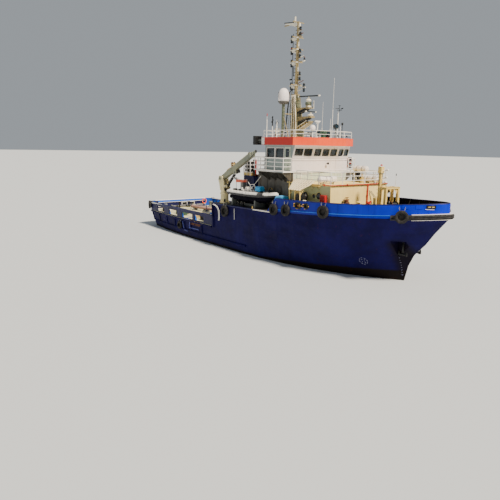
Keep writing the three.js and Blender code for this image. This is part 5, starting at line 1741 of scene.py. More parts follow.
@dataclass
class Fittings:
    """Small ship's fittings that several sub-assemblies use."""

    def lantern(
            self, form: Form, at: Point, lens: Lens = Lens.CLEAR, radius: float = 0.12, tall: float = 0.32,
            axis: Point = UP) -> None:
        """Sets a ship's lantern on its foot: base, ribbed lens, vented cap and ring.

        Args:
            form: the piece it is added to.
            at: its foot.
            lens: the glass it has.
            radius: its base's radius.
            tall: its height.
            axis: the way it points, up or down.
        """
        r, h = radius, tall
        form.of(BLACK).turned(
            [(0, 0), (r, 0), (r, h * 0.18), (r * 0.8, h * 0.26), (0, h * 0.26)], at, axis, 16)
        form.of(lens.value).turned(
            [(0, h * 0.25), (r * 0.74, h * 0.26), (r * 0.8, h * 0.34), (r * 0.76, h * 0.42),
             (r * 0.8, h * 0.5), (r * 0.74, h * 0.6), (0, h * 0.6)],
            at, axis, 16)
        form.of(BLACK).turned([(0, h * 0.58), (r * 0.95, h * 0.6), (r, h * 0.68), (r * 0.72, h * 0.84),
                               (r * 0.66, h * 0.95), (r * 0.3, h), (0, h)], at, axis, 16)

    def porthole(self, form: Form, at: Point, out: Point, radius: float = 0.17) -> None:
        """Sets a round scuttle in a wall: a flanged ring, its bolts, the glass and an eyebrow above.

        Args:
            form: the piece it is added to.
            at: its middle, on the wall's face.
            out: the wall's outward direction.
            radius: the glass's radius.
        """
        r, out = radius, Vector(out)
        form.of(BLACK).turned([(r, -0.03), (r, 0.02), (r + 0.02, 0.035), (r + 0.06, 0.03), (r + 0.07, 0.0),
                               (r + 0.07, -0.03)], at, out, 28, loop=True)
        form.of(GLASS).turned([(0, -0.01), (r + 0.01, -0.01), (r + 0.01, 0.004), (0, 0.008)], at, out, 24)
        u = out.orthogonal().normalized()
        v = out.cross(u)
        form.of(STEEL)
        middle = Vector(at)
        bolts(form, [middle + out * 0.028 + (u * math.cos(a) + v * math.sin(a)) * (r + 0.045)
                     for a in (FULL_TURN * k / 8 for k in range(8))], out, 0.012)
        across = Vector(UP).cross(out)
        brow = arc(middle + out * 0.03, across, UP, r + 0.10, 15, 165, 10)
        form.of(CREAM).pipe(brow, 0.014, 6)

    def door(self, form: Form, at: Point, out: Point, wide: float = 0.75, tall: float = 1.75,
             finish: Finish = CREAM) -> None:
        """Hangs a closed weathertight door on a wall: coaming, dished leaf, dogs, hinges and a handwheel.

        Args:
            form: the piece it is added to.
            at: the middle of its sill, on the wall's face.
            out: the wall's outward direction.
            wide: the opening's width.
            tall: the opening's height.
            finish: the leaf's paint.
        """
        out, up = Vector(out), Vector(UP)
        across = up.cross(out)
        foot = Vector(at)
        corners = [(-wide / 2, 0), (wide / 2, 0), (wide / 2, tall), (-wide / 2, tall)]
        rim = rounded([foot + across * a + up * (b + 0.05) for a, b in corners], 0.14, 4, closed=True)
        form.of(SHADE).pipe([p + out * 0.02 for p in rim], 0.035, 8, closed=True)
        leaf = rounded(
            [foot + across * (a * 0.96) + up * (b * 0.98 + 0.07) for a, b in corners], 0.14, 4, closed=True)
        middle = foot + up * (tall / 2 + 0.05)
        dished = [middle + (p - middle) * 0.86 + out * 0.062 for p in leaf]
        form.of(finish).skin([[p + out * 0.01 for p in leaf], [p + out * 0.048 for p in leaf],
                              [middle + (p - middle) * 0.9 + out * 0.05 for p in leaf], dished])
        form.of(STEEL)
        for b in (0.22, 0.5, 0.78):
            hinge = foot + across * (-wide * 0.53) + up * (tall * b + 0.05) + out * 0.05
            form.bar(hinge, hinge + across * (wide * 0.3), 0.035, 0.05, 0.006, up)
            dog = foot + across * (wide * 0.5) + up * (tall * b + 0.05) + out * 0.06
            form.bar(dog - across * 0.1, dog + across * 0.06, 0.03, 0.03, 0.006, up)
        form.ring(middle + out * 0.11 + across * (wide * 0.2), out, 0.09, 0.012, 20, 6)
        form.rod(
            middle + across * (wide * 0.2) + out * 0.05, middle + across * (wide * 0.2) + out * 0.13, 0.015)

    def ladder(self, form: Form, foot: Point, head: Point, across: Point, wide: float = 0.4,
               rung: float = 0.3) -> None:
        """Adds a ladder of round rungs between two flat stiles.

        Args:
            form: the piece it is added to.
            foot: the middle of its foot.
            head: the middle of its head.
            across: the direction of its rungs.
            wide: the distance between stiles.
            rung: the distance between rungs.
        """
        a, b, side = Vector(foot), Vector(head), Vector(across).normalized() * (wide / 2)
        for way in (-1, 1):
            form.bar(a + side * way, b + side * way, 0.012, 0.05, 0.003, (b - a).cross(side))
        count = max(2, round((b - a).length / rung))
        for k in range(1, count):
            p = a.lerp(b, k / count)
            form.rod(p - side, p + side, 0.011, segments=8)

    def lamp(self, form: Form, at: Point, aim: Point, size: float = 0.14) -> None:
        """Adds a floodlight: a finned case, a glass and a yoke.

        Args:
            form: the piece it is added to.
            at: the case's middle.
            aim: the way it shines.
            size: the case's radius.
        """
        aim, middle = Vector(aim).normalized(), Vector(at)
        s = size
        form.of(BLACK).turned([(0, -s), (s * 0.45, -s), (s * 0.6, -s * 0.7), (s, 0), (s * 1.05, s * 0.15),
                               (s * 0.92, s * 0.15), (0, s * 0.05)], middle, aim, 20)
        for k in range(3):
            form.ring(middle - aim * (s * (0.35 + 0.2 * k)), aim, s * (0.84 - 0.13 * k), s * 0.05, 16, 4)
        form.of(GLASS).turned([(0, s * 0.06), (s * 0.9, s * 0.08), (s * 0.85, s * 0.13), (0, s * 0.18)],
                              middle, aim, 20)
        across = Vector(UP).cross(aim)
        across = across.normalized() if across.length > 0.01 else Vector(ABEAM)
        form.of(STEEL)
        for way in (-1, 1):
            form.bar(
                middle + across * (way * s * 1.08), middle + across * (way * s * 1.08) + upward(-s * 1.3),
                0.03, 0.008, 0.002, across)
        form.bar(middle + across * (-s * 1.1) + upward(-s * 1.3),
                 middle + across * (s * 1.1) + upward(-s * 1.3), 0.03, 0.01, 0.002)

    def lifebuoy(self, form: Form, at: Point, out: Point, radius: float = 0.3) -> None:
        """Hangs a ring lifebuoy: orange with pale bands, and its grab line.

        Args:
            form: the piece it is added to.
            at: its middle.
            out: the way it faces.
            radius: the radius of its middle line.
        """
        out, middle = Vector(out).normalized(), Vector(at)
        u = out.orthogonal().normalized()
        v = out.cross(u)
        count = 36
        for k in range(count):
            a0, a1 = FULL_TURN * k / count, FULL_TURN * (k + 1) / count
            form.of(TRIM_WHITE if k % 9 == 4 else FASCIA)
            rows = []
            for a in (a0, (a0 + a1) / 2, a1):
                away = u * math.cos(a) + v * math.sin(a)
                grow = 0.064 if k % 9 == 4 else 0.06
                rows.append([middle + away * (radius + grow * math.cos(t)) + out * (grow * 0.85 * math.sin(t))
                             for t in (FULL_TURN * n / 8 for n in range(8))])
            form.skin(rows, caps=False)


@dataclass
class Houses(Fittings):
    """The deckhouses: scuttles, doors, the red fire pipe and box, edges, ladders, funnels and the casing."""

    half: float = HOUSE_HALF
    front: float = 11.2
    top: float = 7.0
    # Place, height and radius of the scuttles in the house's side.
    scuttles: tuple[tuple[float, float, float], ...] = (
        (8.34, 6.09, 0.17), (9.36, 6.05, 0.09), (9.94, 6.1, 0.2))
    pipe_y: float = 0.9

    def walls(self) -> None:
        """Fits scuttles and doors to the walls."""
        form = Form(CREAM)
        for side in SIDES.values():
            for x, z, radius in self.scuttles:
                self.porthole(form, (x, side * self.half, z), (0, side, 0), radius)
            self.door(form, (7.35, side * self.half, fore_deck(7.3) + 0.15), (0, side, 0))
            for x in (2.2, 3.3):
                self.porthole(form, (x, side * 3.0, 6.0), (0, side, 0))
            self.door(form, (4.4, side * 3.0, fore_deck(4.4) + 0.15), (0, side, 0), finish=SHADE)
        self.door(form, (-3.0, 0.9, fore_deck(-3.0) + 0.15), (-1, 0, 0), finish=SHADE)
        form.made("house_scuttles_and_doors", slot="cream")

    def edges(self) -> None:
        """Runs a coaming round the house tops and knees under the bridge wings."""
        form = Form(CREAM)
        x, y, z = self.front + 0.03, self.half + 0.03, self.top - 0.03
        form.pipe([(6.0, -y, z), (x, -y, z), (x, y, z), (6.0, y, z)], 0.045, 6)
        for side in SIDES.values():
            form.bar((self.front + 0.012, side * self.half, 4.8), (self.front + 0.012, side * self.half, 7.0),
                     0.05, 0.05, 0.02, AHEAD)
        form.made("house_top_edge", slot="cream", bevel=0.0)
        form = Form(SHADE)
        for side in SIDES.values():
            for x in (3.1, 4.0, 4.9, 5.75, 6.5):
                wall = 3.0 if x < 5.3 else HOUSE_HALF
                form.plate([(0, 0), (4.38 - wall, 0), (4.38 - wall, -0.10), (0, -0.85)],
                           (x - 0.006, side * wall, 7.798), (0, side, 0), UP, 0.012)
                form.bar((x, side * (wall + 0.02), 6.97), (x, side * 4.36, 7.70), 0.07, 0.012, 0.003)
            # Stiffeners that show as dark upright lines on the shaded wall.
            for x in (1.7, 2.75, 3.85, 4.95):
                form.bar((x, side * 3.0, 4.6), (x, side * 3.0, 7.75), 0.02, 0.09, 0.004, (0, side, 0))
            form.of(CREAM).pipe([(6.35, side * 3.42, z) for z in (4.7, 6.2, 7.78)], 0.06, 10)
            form.of(SHADE)
        form.made("bridge_wing_knees", slot="grey")

    def fire_main(self) -> None:
        """Runs the red fire main along the house's edge and down its front, and hangs the hose box."""
        form = Form(RED)
        x, y, z = self.front + 0.10, self.half + 0.10, self.top + 0.02
        main_run = rounded([(10.35, -y, z), (x, -y, z), (x, y, z), (9.6, y, z)], 0.14)
        form.pipe(main_run, 0.034, 10)
        drop = [(x, self.pipe_y, z), (x, self.pipe_y, 6.0), (x, self.pipe_y, fore_deck(x) + 0.03)]
        form.pipe(drop, 0.05, 10)
        for at, axis in (((x, self.pipe_y, 6.1), UP), ((x, self.pipe_y, 5.15), UP),
                         ((x, -1.6, z), ABEAM), ((x, 2.2, z), ABEAM), ((10.6, -y, z), AHEAD)):
            form.turned(
                [(0.05, -0.012), (0.085, -0.012), (0.085, 0.012), (0.05, 0.012)], at, axis, 16, loop=True)
        form.of(GALVANISED)
        for yy in (-3.0, -2.2, -1.0, 0.2, 1.6, 2.9):
            form.bar((self.front, yy, z - 0.02), (x + 0.05, yy, z - 0.02), 0.04, 0.01, 0.002)
        form.of(RED).turned([(0, 0), (0.06, 0), (0.09, 0.03), (0.09, 0.07), (0.03, 0.10), (0, 0.1)],
                            (x + 0.05, self.pipe_y, 5.5), AHEAD, 16)
        form.ring((x + 0.19, self.pipe_y, 5.5), AHEAD, 0.07, 0.01, 16, 6)
        # A hydrant valve beside the drop.
        form.rod((x, self.pipe_y, 5.4), (x, self.pipe_y + 0.34, 5.4), 0.04)
        form.turned([(0, 0), (0.07, 0), (0.08, 0.05), (0.05, 0.12), (0.09, 0.2), (0.09, 0.24), (0, 0.24)],
                    (x, self.pipe_y + 0.36, 5.36), (0, 0.4, 1), 16)
        for side in SIDES.values():
            near, far = sorted((side * self.half, side * (self.half + 0.26)))
            form.block((10.3, near, 5.45), (10.88, far, 6.22), 0.02)
            face = side * (self.half + 0.265)
            form.plate([(-0.25, -0.34), (0.25, -0.34), (0.25, 0.34), (-0.25, 0.34)], (10.59, face, 5.84),
                       AHEAD, UP, -0.012 if side > 0 else 0.012)
            form.of(STEEL).block((10.76, min(face, face + side * 0.04), 5.8),
                                 (10.80, max(face, face + side * 0.04), 5.9), 0.006)
            form.of(RED)
        form.made("fire_main_and_hose_boxes", bevel=0.0)

    def ladders(self) -> None:
        """Hangs the ladders of the houses."""
        form = Form(CREAM)
        self.ladder(form, (1.2, 2.6, 6.6), (1.28, 2.6, 8.9), ABEAM)
        self.ladder(form, (-3.75, -1.3, 2.1), (-3.70, -1.3, 5.3), ABEAM)
        self.ladder(form, (2.6, -1.9, 8.0), (2.62, -1.9, 11.6), ABEAM)
        form.made("house_ladders", slot="cream")

    def casing(self) -> None:
        """Fits the engine casing's louvres and skylight, and the funnels' grilles and exhausts."""
        form = Form(SHADE)
        for side in SIDES.values():
            for x0 in (-2.7, 0.5):
                for k in range(8):
                    z = 5.0 + k * 0.11
                    form.bar(
                        (x0, side * 1.93, z), (x0 + 0.62, side * 1.93, z), 0.07, 0.02, 0.004,
                        (0, side * 0.6, 1))
                for x in (x0 - 0.03, x0 + 0.65):
                    form.bar((x, side * 1.92, 4.93), (x, side * 1.92, 5.88), 0.05, 0.06, 0.01, (0, side, 0))
            for k in range(9):
                z = 5.9 + k * 0.1
                form.bar(
                    (-1.3, side * 2.73, z), (-0.3, side * 2.73, z), 0.06, 0.02, 0.004, (0, side * 0.6, 1))
        for x in (-2.3, -1.2):
            form.block((x - 0.4, -0.8, 6.601), (x + 0.4, 0.8, 6.78), 0.02)
            form.bar((x, -0.85, 6.8), (x, 0.85, 6.8), 0.9, 0.03, 0.01)
        form.made("casing_louvres", slot="grey")
        form = Form(BLACK)
        for side in SIDES.values():
            for x, y, rise in ((-1.1, 2.15, 0.65), (-0.75, 2.45, 0.5), (-0.35, 2.15, 0.8)):
                form.turned([(0.13, 0), (0.13, rise), (0.10, rise), (0.10, 0)],
                            (x, side * y, 7.14), (-0.25, 0, 1), 20, loop=True)
        form.made("funnel_exhausts", slot="black")

    def build(self) -> None:
        """Fits out the houses."""
        self.walls()
        self.edges()
        self.fire_main()
        self.ladders()
        self.casing()
        self.front_gear()

    def front_gear(self) -> None:
        """Stands the valve chest before the house's front, a leaning ladder, and the ledge under the raft."""
        form = Form(RUSTED)
        x = self.front + 0.16
        form.block((x - 0.15, -1.76, fore_deck(x)), (x + 0.15, -1.42, 5.66), 0.03)
        form.bar((x, -2.06, 5.84), (x, -1.4, 5.84), 0.12, 0.09, 0.02)
        form.turned([(0.1, 0), (0.13, 0), (0.14, 0.1), (0.1, 0.24), (0, 0.25)], (x, -1.6, 5.62), segments=18)
        form.ring((x, -1.6, 6.02), UP, 0.13, 0.02, 20, 6)
        form.rod((x, -1.6, 5.8), (x, -1.6, 6.06), 0.025)
        form.of(STEEL)
        self.ladder(
            form, (self.front + 0.5, 1.84, 5.53), (self.front + 0.06, 1.17, 6.52), (0.8, 0.35, -0.4), 0.22,
            0.2)
        form.of(YELLOWED).block((9.2, -3.62, 6.82), (10.15, -self.half, 6.9), 0.01)
        for x in (9.35, 9.95):
            form.bar((x, -self.half, 6.62), (x, -3.6, 6.82), 0.05, 0.03, 0.006)
        form.made("house_front_gear", slot="black", bevel=0.0)


@dataclass(frozen=True)
class Pane:
    """A window in a wall: its middle, the wall's direction, and its size."""

    middle: tuple[float, float, float]
    across: tuple[float, float]
    wide: float
    tall: float


@dataclass
class Wheelhouse(Fittings):
    """The bridge: window frames, wipers, the ledge under them, door fittings, rails and the displays."""

    front: float = 6.95
    corner: float = 6.53
    half: float = 3.37
    front_half: float = 1.49
    aft: float = 2.8
    low: float = 9.21
    high: float = 9.83
    roof: float = 10.1
    sill: float = 9.07
    side_sill: float = 8.95
    lean: float = 0.28

    def panes(self) -> list[Pane]:
        """Lists the front's windows, then the sides' and the after wall's."""
        z, tall = (self.low + self.high) / 2, self.high - self.low
        run = math.hypot(self.front - self.corner, self.half - self.front_half)
        dx, dy = (self.front - self.corner) / run, (self.half - self.front_half) / run
        found = [Pane((self.front, y, z), (0, 1), 0.8, tall) for y in (-0.96, 0.0, 0.96)]
        for side in SIDES.values():
            cx, cy = (self.front + self.corner) / 2, side * (self.half + self.front_half) / 2
            along = (-side * dx, dy)
            found += [
                Pane((cx + along[0] * o, cy + along[1] * o, z), along, 0.8, tall) for o in (-0.45, 0.45)]
        z2, tall2 = (self.side_sill + self.high) / 2, self.high - self.side_sill
        for side in SIDES.values():
            found += [Pane((x, side * self.half, z2), (-side, 0), 1.1, tall2) for x in (3.6, 4.85)]
        found += [Pane((self.aft, y, z2), (0, -1), 0.9, tall2) for y in (-2.2, -0.9, 0.9, 2.2)]
        return found

    def windows(self) -> None:
        """Frames every window with a gasket in a flanged surround, and puts wipers on the front ones."""
        form = Form(TRIM_WHITE)
        for number, pane in enumerate(self.panes()):
            middle, across = Vector(pane.middle), Vector((*pane.across, 0)).normalized()
            up = Vector(UP)
            if number < 7:
                # The front band leans outwards at its head.
                middle += Vector((self.lean * (middle.z - self.sill), 0, 0))
                up += Vector((self.lean, 0, 0))
            out = across.cross(up).normalized()
            corner = [(-pane.wide / 2, -pane.tall / 2), (pane.wide / 2, -pane.tall / 2),
                      (pane.wide / 2, pane.tall / 2), (-pane.wide / 2, pane.tall / 2)]
            ring = [middle + across * a + up * b for a, b in corner]
            form.of(TRIM_WHITE).pipe(
                rounded(
                    [p + out * 0.012 + (p - middle).normalized() * 0.035 for p in ring], 0.10, 4,
                    closed=True),
                0.03, 8, closed=True)
            form.of(RUBBER).pipe(rounded([p + out * 0.004 for p in ring], 0.09, 4, closed=True), 0.02, 6,
                                 closed=True)
            form.pipe(rounded([p - out * 0.075 for p in ring], 0.09, 4, closed=True), 0.022, 6, closed=True)
            if number < 7:
                form.of(BLACK)
                pivot = middle + up * (pane.tall / 2 + 0.03) + out * 0.05
                tip = middle + across * (0.12 if number % 2 else -0.12) + out * 0.02 - up * 0.16
                form.rod(pivot - out * 0.05, pivot + out * 0.02, 0.022)
                form.bar(pivot, tip, 0.02, 0.012, 0.003, out)
                form.bar(tip - up * 0.2, tip + up * 0.2, 0.014, 0.02, 0.003, out)
        form.made("wheelhouse_window_frames", slot="white")

    def outline(self, grow: float) -> list[tuple[float, float]]:
        """The front's plan from the starboard side round to port, moved out by a distance.

        Args:
            grow: how far the plan is moved out.

        Returns:
            Its corners.
        """
        g = grow
        return [(self.aft - g, -self.half - g), (self.corner + 0.8 * g, -self.half - g),
                (self.front + g, -self.front_half - 0.15 * g), (self.front + g, self.front_half + 0.15 * g),
                (self.corner + 0.8 * g, self.half + g), (self.aft - g, self.half + g)]

    def front_at(self, y: float) -> float:
        """The front wall's place at a distance off the centreline."""
        share = max(0.0, (abs(y) - self.front_half) / (HOUSE_HALF - self.front_half))
        return self.front - share * (self.front - self.corner)

    def front_trim(self) -> None:
        """Welds the ledge under the windows, the handrail, the wall's bead and the lower windows."""
        form = Form(WHITE)
        ledge = [Vector((x, y, self.sill)) for x, y in self.outline(0.02)[1:5]]
        form.pipe(rounded(ledge, 0.08), 0.035, 8)
        foot = [Vector((x, y, 7.96)) for x, y in self.outline(0.02)[1:5]]
        form.pipe(rounded(foot, 0.08), 0.03, 8)
        rail = [Vector((x, y, 8.95)) for x, y in self.outline(0.12)[1:5]]
        form.of(TRIM_WHITE).pipe(rounded(rail, 0.08), 0.017, 8)
        for a, b in zip(rail, rail[1:]):
            for t in (0.12, 0.5, 0.88):
                p = a.lerp(b, t)
                inward = Vector((p.x - 6.0, p.y * 0.3, 0)).normalized()
                form.rod(p, p - inward * 0.13, 0.010, segments=6)
        # The long pane and its mullions at the level of the boat deck, below the bridge's front.
        for y in (-2.9, -2.15, 2.15, 2.9):
            x = self.front_at(y)
            out = Vector((0.976, math.copysign(0.218, y), 0))
            across = Vector(UP).cross(out)
            middle = Vector((x, y, 7.42)) + out * 0.008
            form.of(PALE_GREEN).bar(middle - across * 0.3, middle + across * 0.3, 0.02, 0.5, 0.004)
            ring = [middle + across * a + upward(b) for a, b in
                    ((-0.32, -0.27), (0.32, -0.27), (0.32, 0.27), (-0.32, 0.27))]
            form.of(WHITE).pipe(rounded(ring, 0.06, 3, closed=True), 0.024, 8, closed=True)
        # White posts, and pale green panels below the bridge's front.
        for y in (-3.2, -2.5, -1.45, 1.45, 2.5, 3.2):
            x = self.front_at(y)
            form.of(TRIM_WHITE).bar((x + 0.02, y, 7.02), (x + 0.02, y, 7.78), 0.05, 0.05, 0.01, AHEAD)
        # Painted shade: the pale green panels stand for white paint in the overhang's shade.
        for a, b in ((-3.2, -2.5), (-2.5, -1.45), (-1.45, 1.45), (1.45, 2.5), (2.5, 3.2)):
            at = [self.front_at(y) + 0.004 for y in (a, b)]
            form.of(PALE_GREEN).bar((at[0], a, 7.38), (at[1], b, 7.38), 0.012, 0.72, 0.003)
        # A loudspeaker horn and two lamps on the front.
        form.of(BLACK).turned(
            [(0, 0), (0.03, 0), (0.04, 0.12), (0.12, 0.22), (0.11, 0.23), (0.03, 0.14), (0, 0.14)],
            (self.front + 0.02, 0.25, 8.55), (1, 0, 0.1), 20)
        form.made("wheelhouse_front_trim", slot="white")

    def doors(self) -> None:
        """Puts a handle, a gasket and hinge straps on each wing door; they swing with it."""
        for name, side in SIDES.items():
            form = Form(RUBBER)
            face = side * (self.half + 0.05)
            out = Vector((0, side, 0))
            ring = [(5.71, 9.1), (6.17, 9.1), (6.17, 9.78), (5.71, 9.78)]
            for depth in (0.0, -0.038):
                loop = rounded(
                    [Vector((x, face, z)) + out * (depth + 0.0) for x, z in ring], 0.08, 4, closed=True)
                form.pipe(loop, 0.013, 6, closed=True)
            form.of(GLASS).bar(
                (5.69, face - side * 0.02, 9.44), (6.19, face - side * 0.02, 9.44), 0.012, 0.7, 0.003)
            form.of(STEEL)
            form.rod((5.63, face, 8.95), (5.63, face + side * 0.05, 8.95), 0.014)
            form.pipe(rounded([(5.63, face + side * 0.05, 8.97), (5.63, face + side * 0.05, 8.85),
                               (5.70, face + side * 0.05, 8.72)], 0.03), 0.011, 8)
            for z in (8.35, 9.55):
                form.bar((5.95, face + side * 0.006, z), (6.30, face + side * 0.006, z), 0.012, 0.05, 0.004)
            form.made(f"wing_door_fittings_{name}", f"wing_door_{name}", slot="cream")

    def rails(self) -> None:
        """Stands the round-pipe rails of the bridge wings, the boat deck and the roof."""
        form = Form(TRIM_WHITE)
        path = [(6.56, -3.5), (6.56, -4.37), (3.06, -4.37), (3.06, -3.44), (1.37, -3.44), (1.37, 3.44),
                (3.06, 3.44), (3.06, 4.37), (6.56, 4.37), (6.56, 3.5)]
        railing(form, path, 7.921, 1.1, 3, 1.1)
        form.made("bridge_wing_rails", slot="white", replaces=["bridge_rails"])
        form = Form(TRIM_WHITE)
        railing(form, [(7.1, -3.29), (11.12, -3.29), (11.12, 3.29), (7.1, 3.29)], 7.001, 1.05, 3, 1.3)
        form.made("boat_deck_rails", slot="white", replaces=["boat_deck_rail"])
        form = Form(TRIM_WHITE)
        railing(form, [(2.7, -3.48), (6.78, -3.48), (7.56, -1.7), (7.56, 1.7), (6.78, 3.48), (2.7, 3.48)],
                10.721, 0.64, 2, 1.5, post=0.026, line=0.02, closed=True)
        form.made("roof_rails", slot="cream", replaces=["top_rail"])
        # The port wing's flag locker: a white frame with red and blue pigeon-holes behind.
        form = Form(TRIM_WHITE)
        y = 4.31
        for z in (8.1, 8.45, 8.78, 9.08):
            form.bar((5.25, y, z), (6.3, y, z), 0.1, 0.045, 0.008)
        for x in (5.25, 5.6, 5.95, 6.28):
            form.bar((x, y, 8.1), (x, y, 9.08), 0.06, 0.1, 0.008, ABEAM)
        form.block((5.25, y + 0.02, 8.1), (6.3, y + 0.05, 9.06), 0.006)
        flags = (RED, EDGE_NAVY, TRIM_WHITE, RED, EDGE_NAVY, RED, EDGE_NAVY, RED, EDGE_NAVY)
        for column, x in enumerate((5.42, 5.78, 6.12)):
            for row, z in enumerate((8.27, 8.61, 8.93)):
                form.of(flags[column * 3 + row])
                form.block((x - 0.12, y - 0.12, z - 0.12), (x + 0.12, y - 0.01, z + 0.1), 0.03)
        form.made("flag_locker", slot="white")
        # Pale plates below each wing's forward corner.
        form = Form(WHITE)
        for side in SIDES.values():
            form.plate([(0, 0), (1.1, 0), (1.1, -0.1), (0.0, -0.02)], (5.5, side * 4.4, 7.86),
                       AHEAD, UP, 0.03)
        form.made("wing_corner_plates", slot="white")

    def console(self) -> None:
        """Fits displays, a wheel and levers to the console."""
        form = Form(SCREEN)
        for y in (-0.95, -0.32, 0.32, 0.95):
            a, b = Vector((6.515, y, 9.0)), Vector((6.60, y, 9.16))
            form.of(BLACK).bar(
                a - Vector((0.05, 0, 0.02)), b - Vector((0.05, 0, 0)), 0.5, 0.04, 0.01, (1, 0, -0.5))
            form.of(SCREEN).bar(a - Vector((0.075, 0, 0)), b - Vector((0.075, 0, 0.03)), 0.44, 0.012, 0.003,
                                (1, 0, -0.5))
        form.of(BLACK).ring((5.86, 0, 8.85), (1, 0, 0.3), 0.22, 0.014, 28, 6)
        form.rod((5.86, 0, 8.85), (6.02, 0, 8.80), 0.02)
        for y in (-0.5, -0.42, 0.42, 0.5):
            form.rod((6.1, y, 8.75), (6.04, y, 8.93), 0.012)
            form.ball((6.04, y, 8.94), 0.025, 10)
        form.made("console_displays", slot="grey")

    def build(self) -> None:
        """Fits out the bridge."""
        self.windows()
        self.front_trim()
        self.doors()
        self.rails()
        self.console()


@dataclass
class Roof(Fittings):
    """What stands on the wheelhouse: lamps, compass, searchlights, aerials, and the fascia's edges."""

    deck: float = 10.721

    def fascia(self) -> None:
        """Edges the fascia with a lip, and closes its after end in white."""
        form = Form(FASCIA)
        plan = [(2.6, -3.64), (6.86, -3.64), (7.76, -1.75), (7.76, 1.75), (6.86, 3.64), (2.6, 3.64)]
        form.pipe(rounded([(x, y, 10.745) for x, y in plan], 0.05, 3, closed=True), 0.022, 6, closed=True)
        form.pipe(rounded([(x, y, 10.112) for x, y in plan], 0.05, 3, closed=True), 0.018, 6, closed=True)
        face, low, high = 3.642, 10.12, 10.74
        form.of(TRIM_WHITE).block((2.585, -3.645, 10.11), (2.598, 3.645, high), 0.004)
        for side in SIDES.values():
            near, far = sorted((side * face, side * (face + 0.012)))
            form.block((2.59, near, 10.13), (3.0, far, 10.73), 0.004)
        # Seams where the fascia's sheets meet.
        form.of(FASCIA)
        for x in (4.2, 5.5):
            for side in SIDES.values():
                form.bar((x, side * face, low), (x, side * face, high), 0.03, 0.01, 0.003, (0, side, 0))
        for y in (-0.9, 0.9):
            form.bar((7.762, y, low), (7.762, y, high), 0.03, 0.01, 0.003, AHEAD)
        form.made("fascia_edges", slot="orange")

    def aerials(self) -> None:
        """Stands whip aerials, a dome, a T-shaped loop and wind sensors on their posts."""
        form = Form(TRIM_WHITE)
        # Place, radius, height of the post's top and of the whip's tip.
        for x, y, radius, post, tip in ((6.6, 1.12, 0.03, 13.2, 15.9), (6.42, 2.0, 0.045, 13.1, 13.2),
                                        (2.86, -3.3, 0.04, 12.3, 12.75), (3.28, -2.5, 0.06, 12.1, 12.3),
                                        (3.2, 3.2, 0.035, 11.8, 14.2), (6.6, 2.18, 0.03, 11.8, 11.9),
                                        (4.6, 2.9, 0.035, 11.7, 12.6)):
            form.of(TRIM_WHITE).rod((x, y, self.deck), (x, y, post), radius, radius * 0.85, 12)
            form.block((x - 0.09, y - 0.09, self.deck), (x + 0.09, y + 0.09, self.deck + 0.02), 0.004)
            form.rod((x, y, post), (x, y, tip), radius * 0.45, 0.012, 8)
        form.of(RED).rod((2.86, -3.3, 12.6), (2.86, -3.3, 12.82), 0.035, 0.03, 10)
        # The cross arm with cups and vane on the forward post.
        form.of(BLACK).bar((6.54, 1.72, 13.22), (6.54, 2.28, 13.22), 0.04, 0.04, 0.006)
        form.rod((6.54, 2.0, 13.1), (6.54, 2.0, 13.64), 0.022)
        form.bar((6.54, 1.88, 13.62), (6.54, 2.12, 13.62), 0.03, 0.05, 0.006)
        form.plate([(0, 0), (0.3, 0.05), (0.3, 0.16), (0, 0.08)], (6.44, 2.26, 13.3), AHEAD, UP, 0.008)
        for k in range(3):
            a = FULL_TURN * k / 3
            form.ball((6.54 + 0.12 * math.cos(a), 1.74 + 0.12 * math.sin(a), 13.36), 0.045, 8)
        # The starboard after pole's brush-like aerial and the dark plate beside it.
        for k in range(12):
            a = FULL_TURN * k / 12
            z = 11.7 + 0.05 * (k % 6)
            form.rod(
                (3.28, -2.5, z), (3.28 + 0.16 * math.cos(a), -2.5 + 0.16 * math.sin(a), z + 0.3), 0.01,
                segments=6)
        form.bar((3.28, -3.0, 11.7), (3.28, -3.0, 12.6), 0.06, 0.1, 0.01, AHEAD)
        form.bar((3.28, -3.13, 12.05), (3.28, -2.9, 12.3), 0.05, 0.09, 0.01)
        form.bar((3.28, -3.1, 12.48), (3.28, -2.94, 12.48), 0.05, 0.06, 0.01)
        form.of(TRIM_WHITE).rod((3.29, -3.0, self.deck), (3.29, -3.0, 11.75), 0.035, segments=10)
        # The white dome with its dark foot, and the loop on its stem.
        form.rod((7.0, -1.6, self.deck), (7.0, -1.6, 11.36), 0.045, segments=12)
        form.of(BLACK).turned(
            [(0, 0), (0.1, 0), (0.2, 0.07), (0.22, 0.12), (0, 0.12)], (7.0, -1.6, 11.28), segments=24)
        form.of(DOME).turned(
            [(0, 0), (0.23, 0), (0.245, 0.1)] + [
                (0.245 * math.cos(t), 0.16 + 0.25 * math.sin(t))
                for t in (math.pi / 16 * k for k in range(1, 9))],
            (7.0, -1.6, 11.4), segments=28)
        form.of(TRIM_WHITE).rod((6.6, -0.66, self.deck), (6.6, -0.66, 12.08), 0.045, 0.06, 12)
        form.bar((6.6, -0.98, 12.14), (6.6, -0.34, 12.14), 0.16, 0.12, 0.04)
        form.turned(
            [(0.03, 0), (0.08, 0.1), (0.15, 0.2), (0.15, 0.24), (0, 0.24)], (6.6, -0.66, 11.84), segments=18)
        form.made("roof_aerials", slot="white")

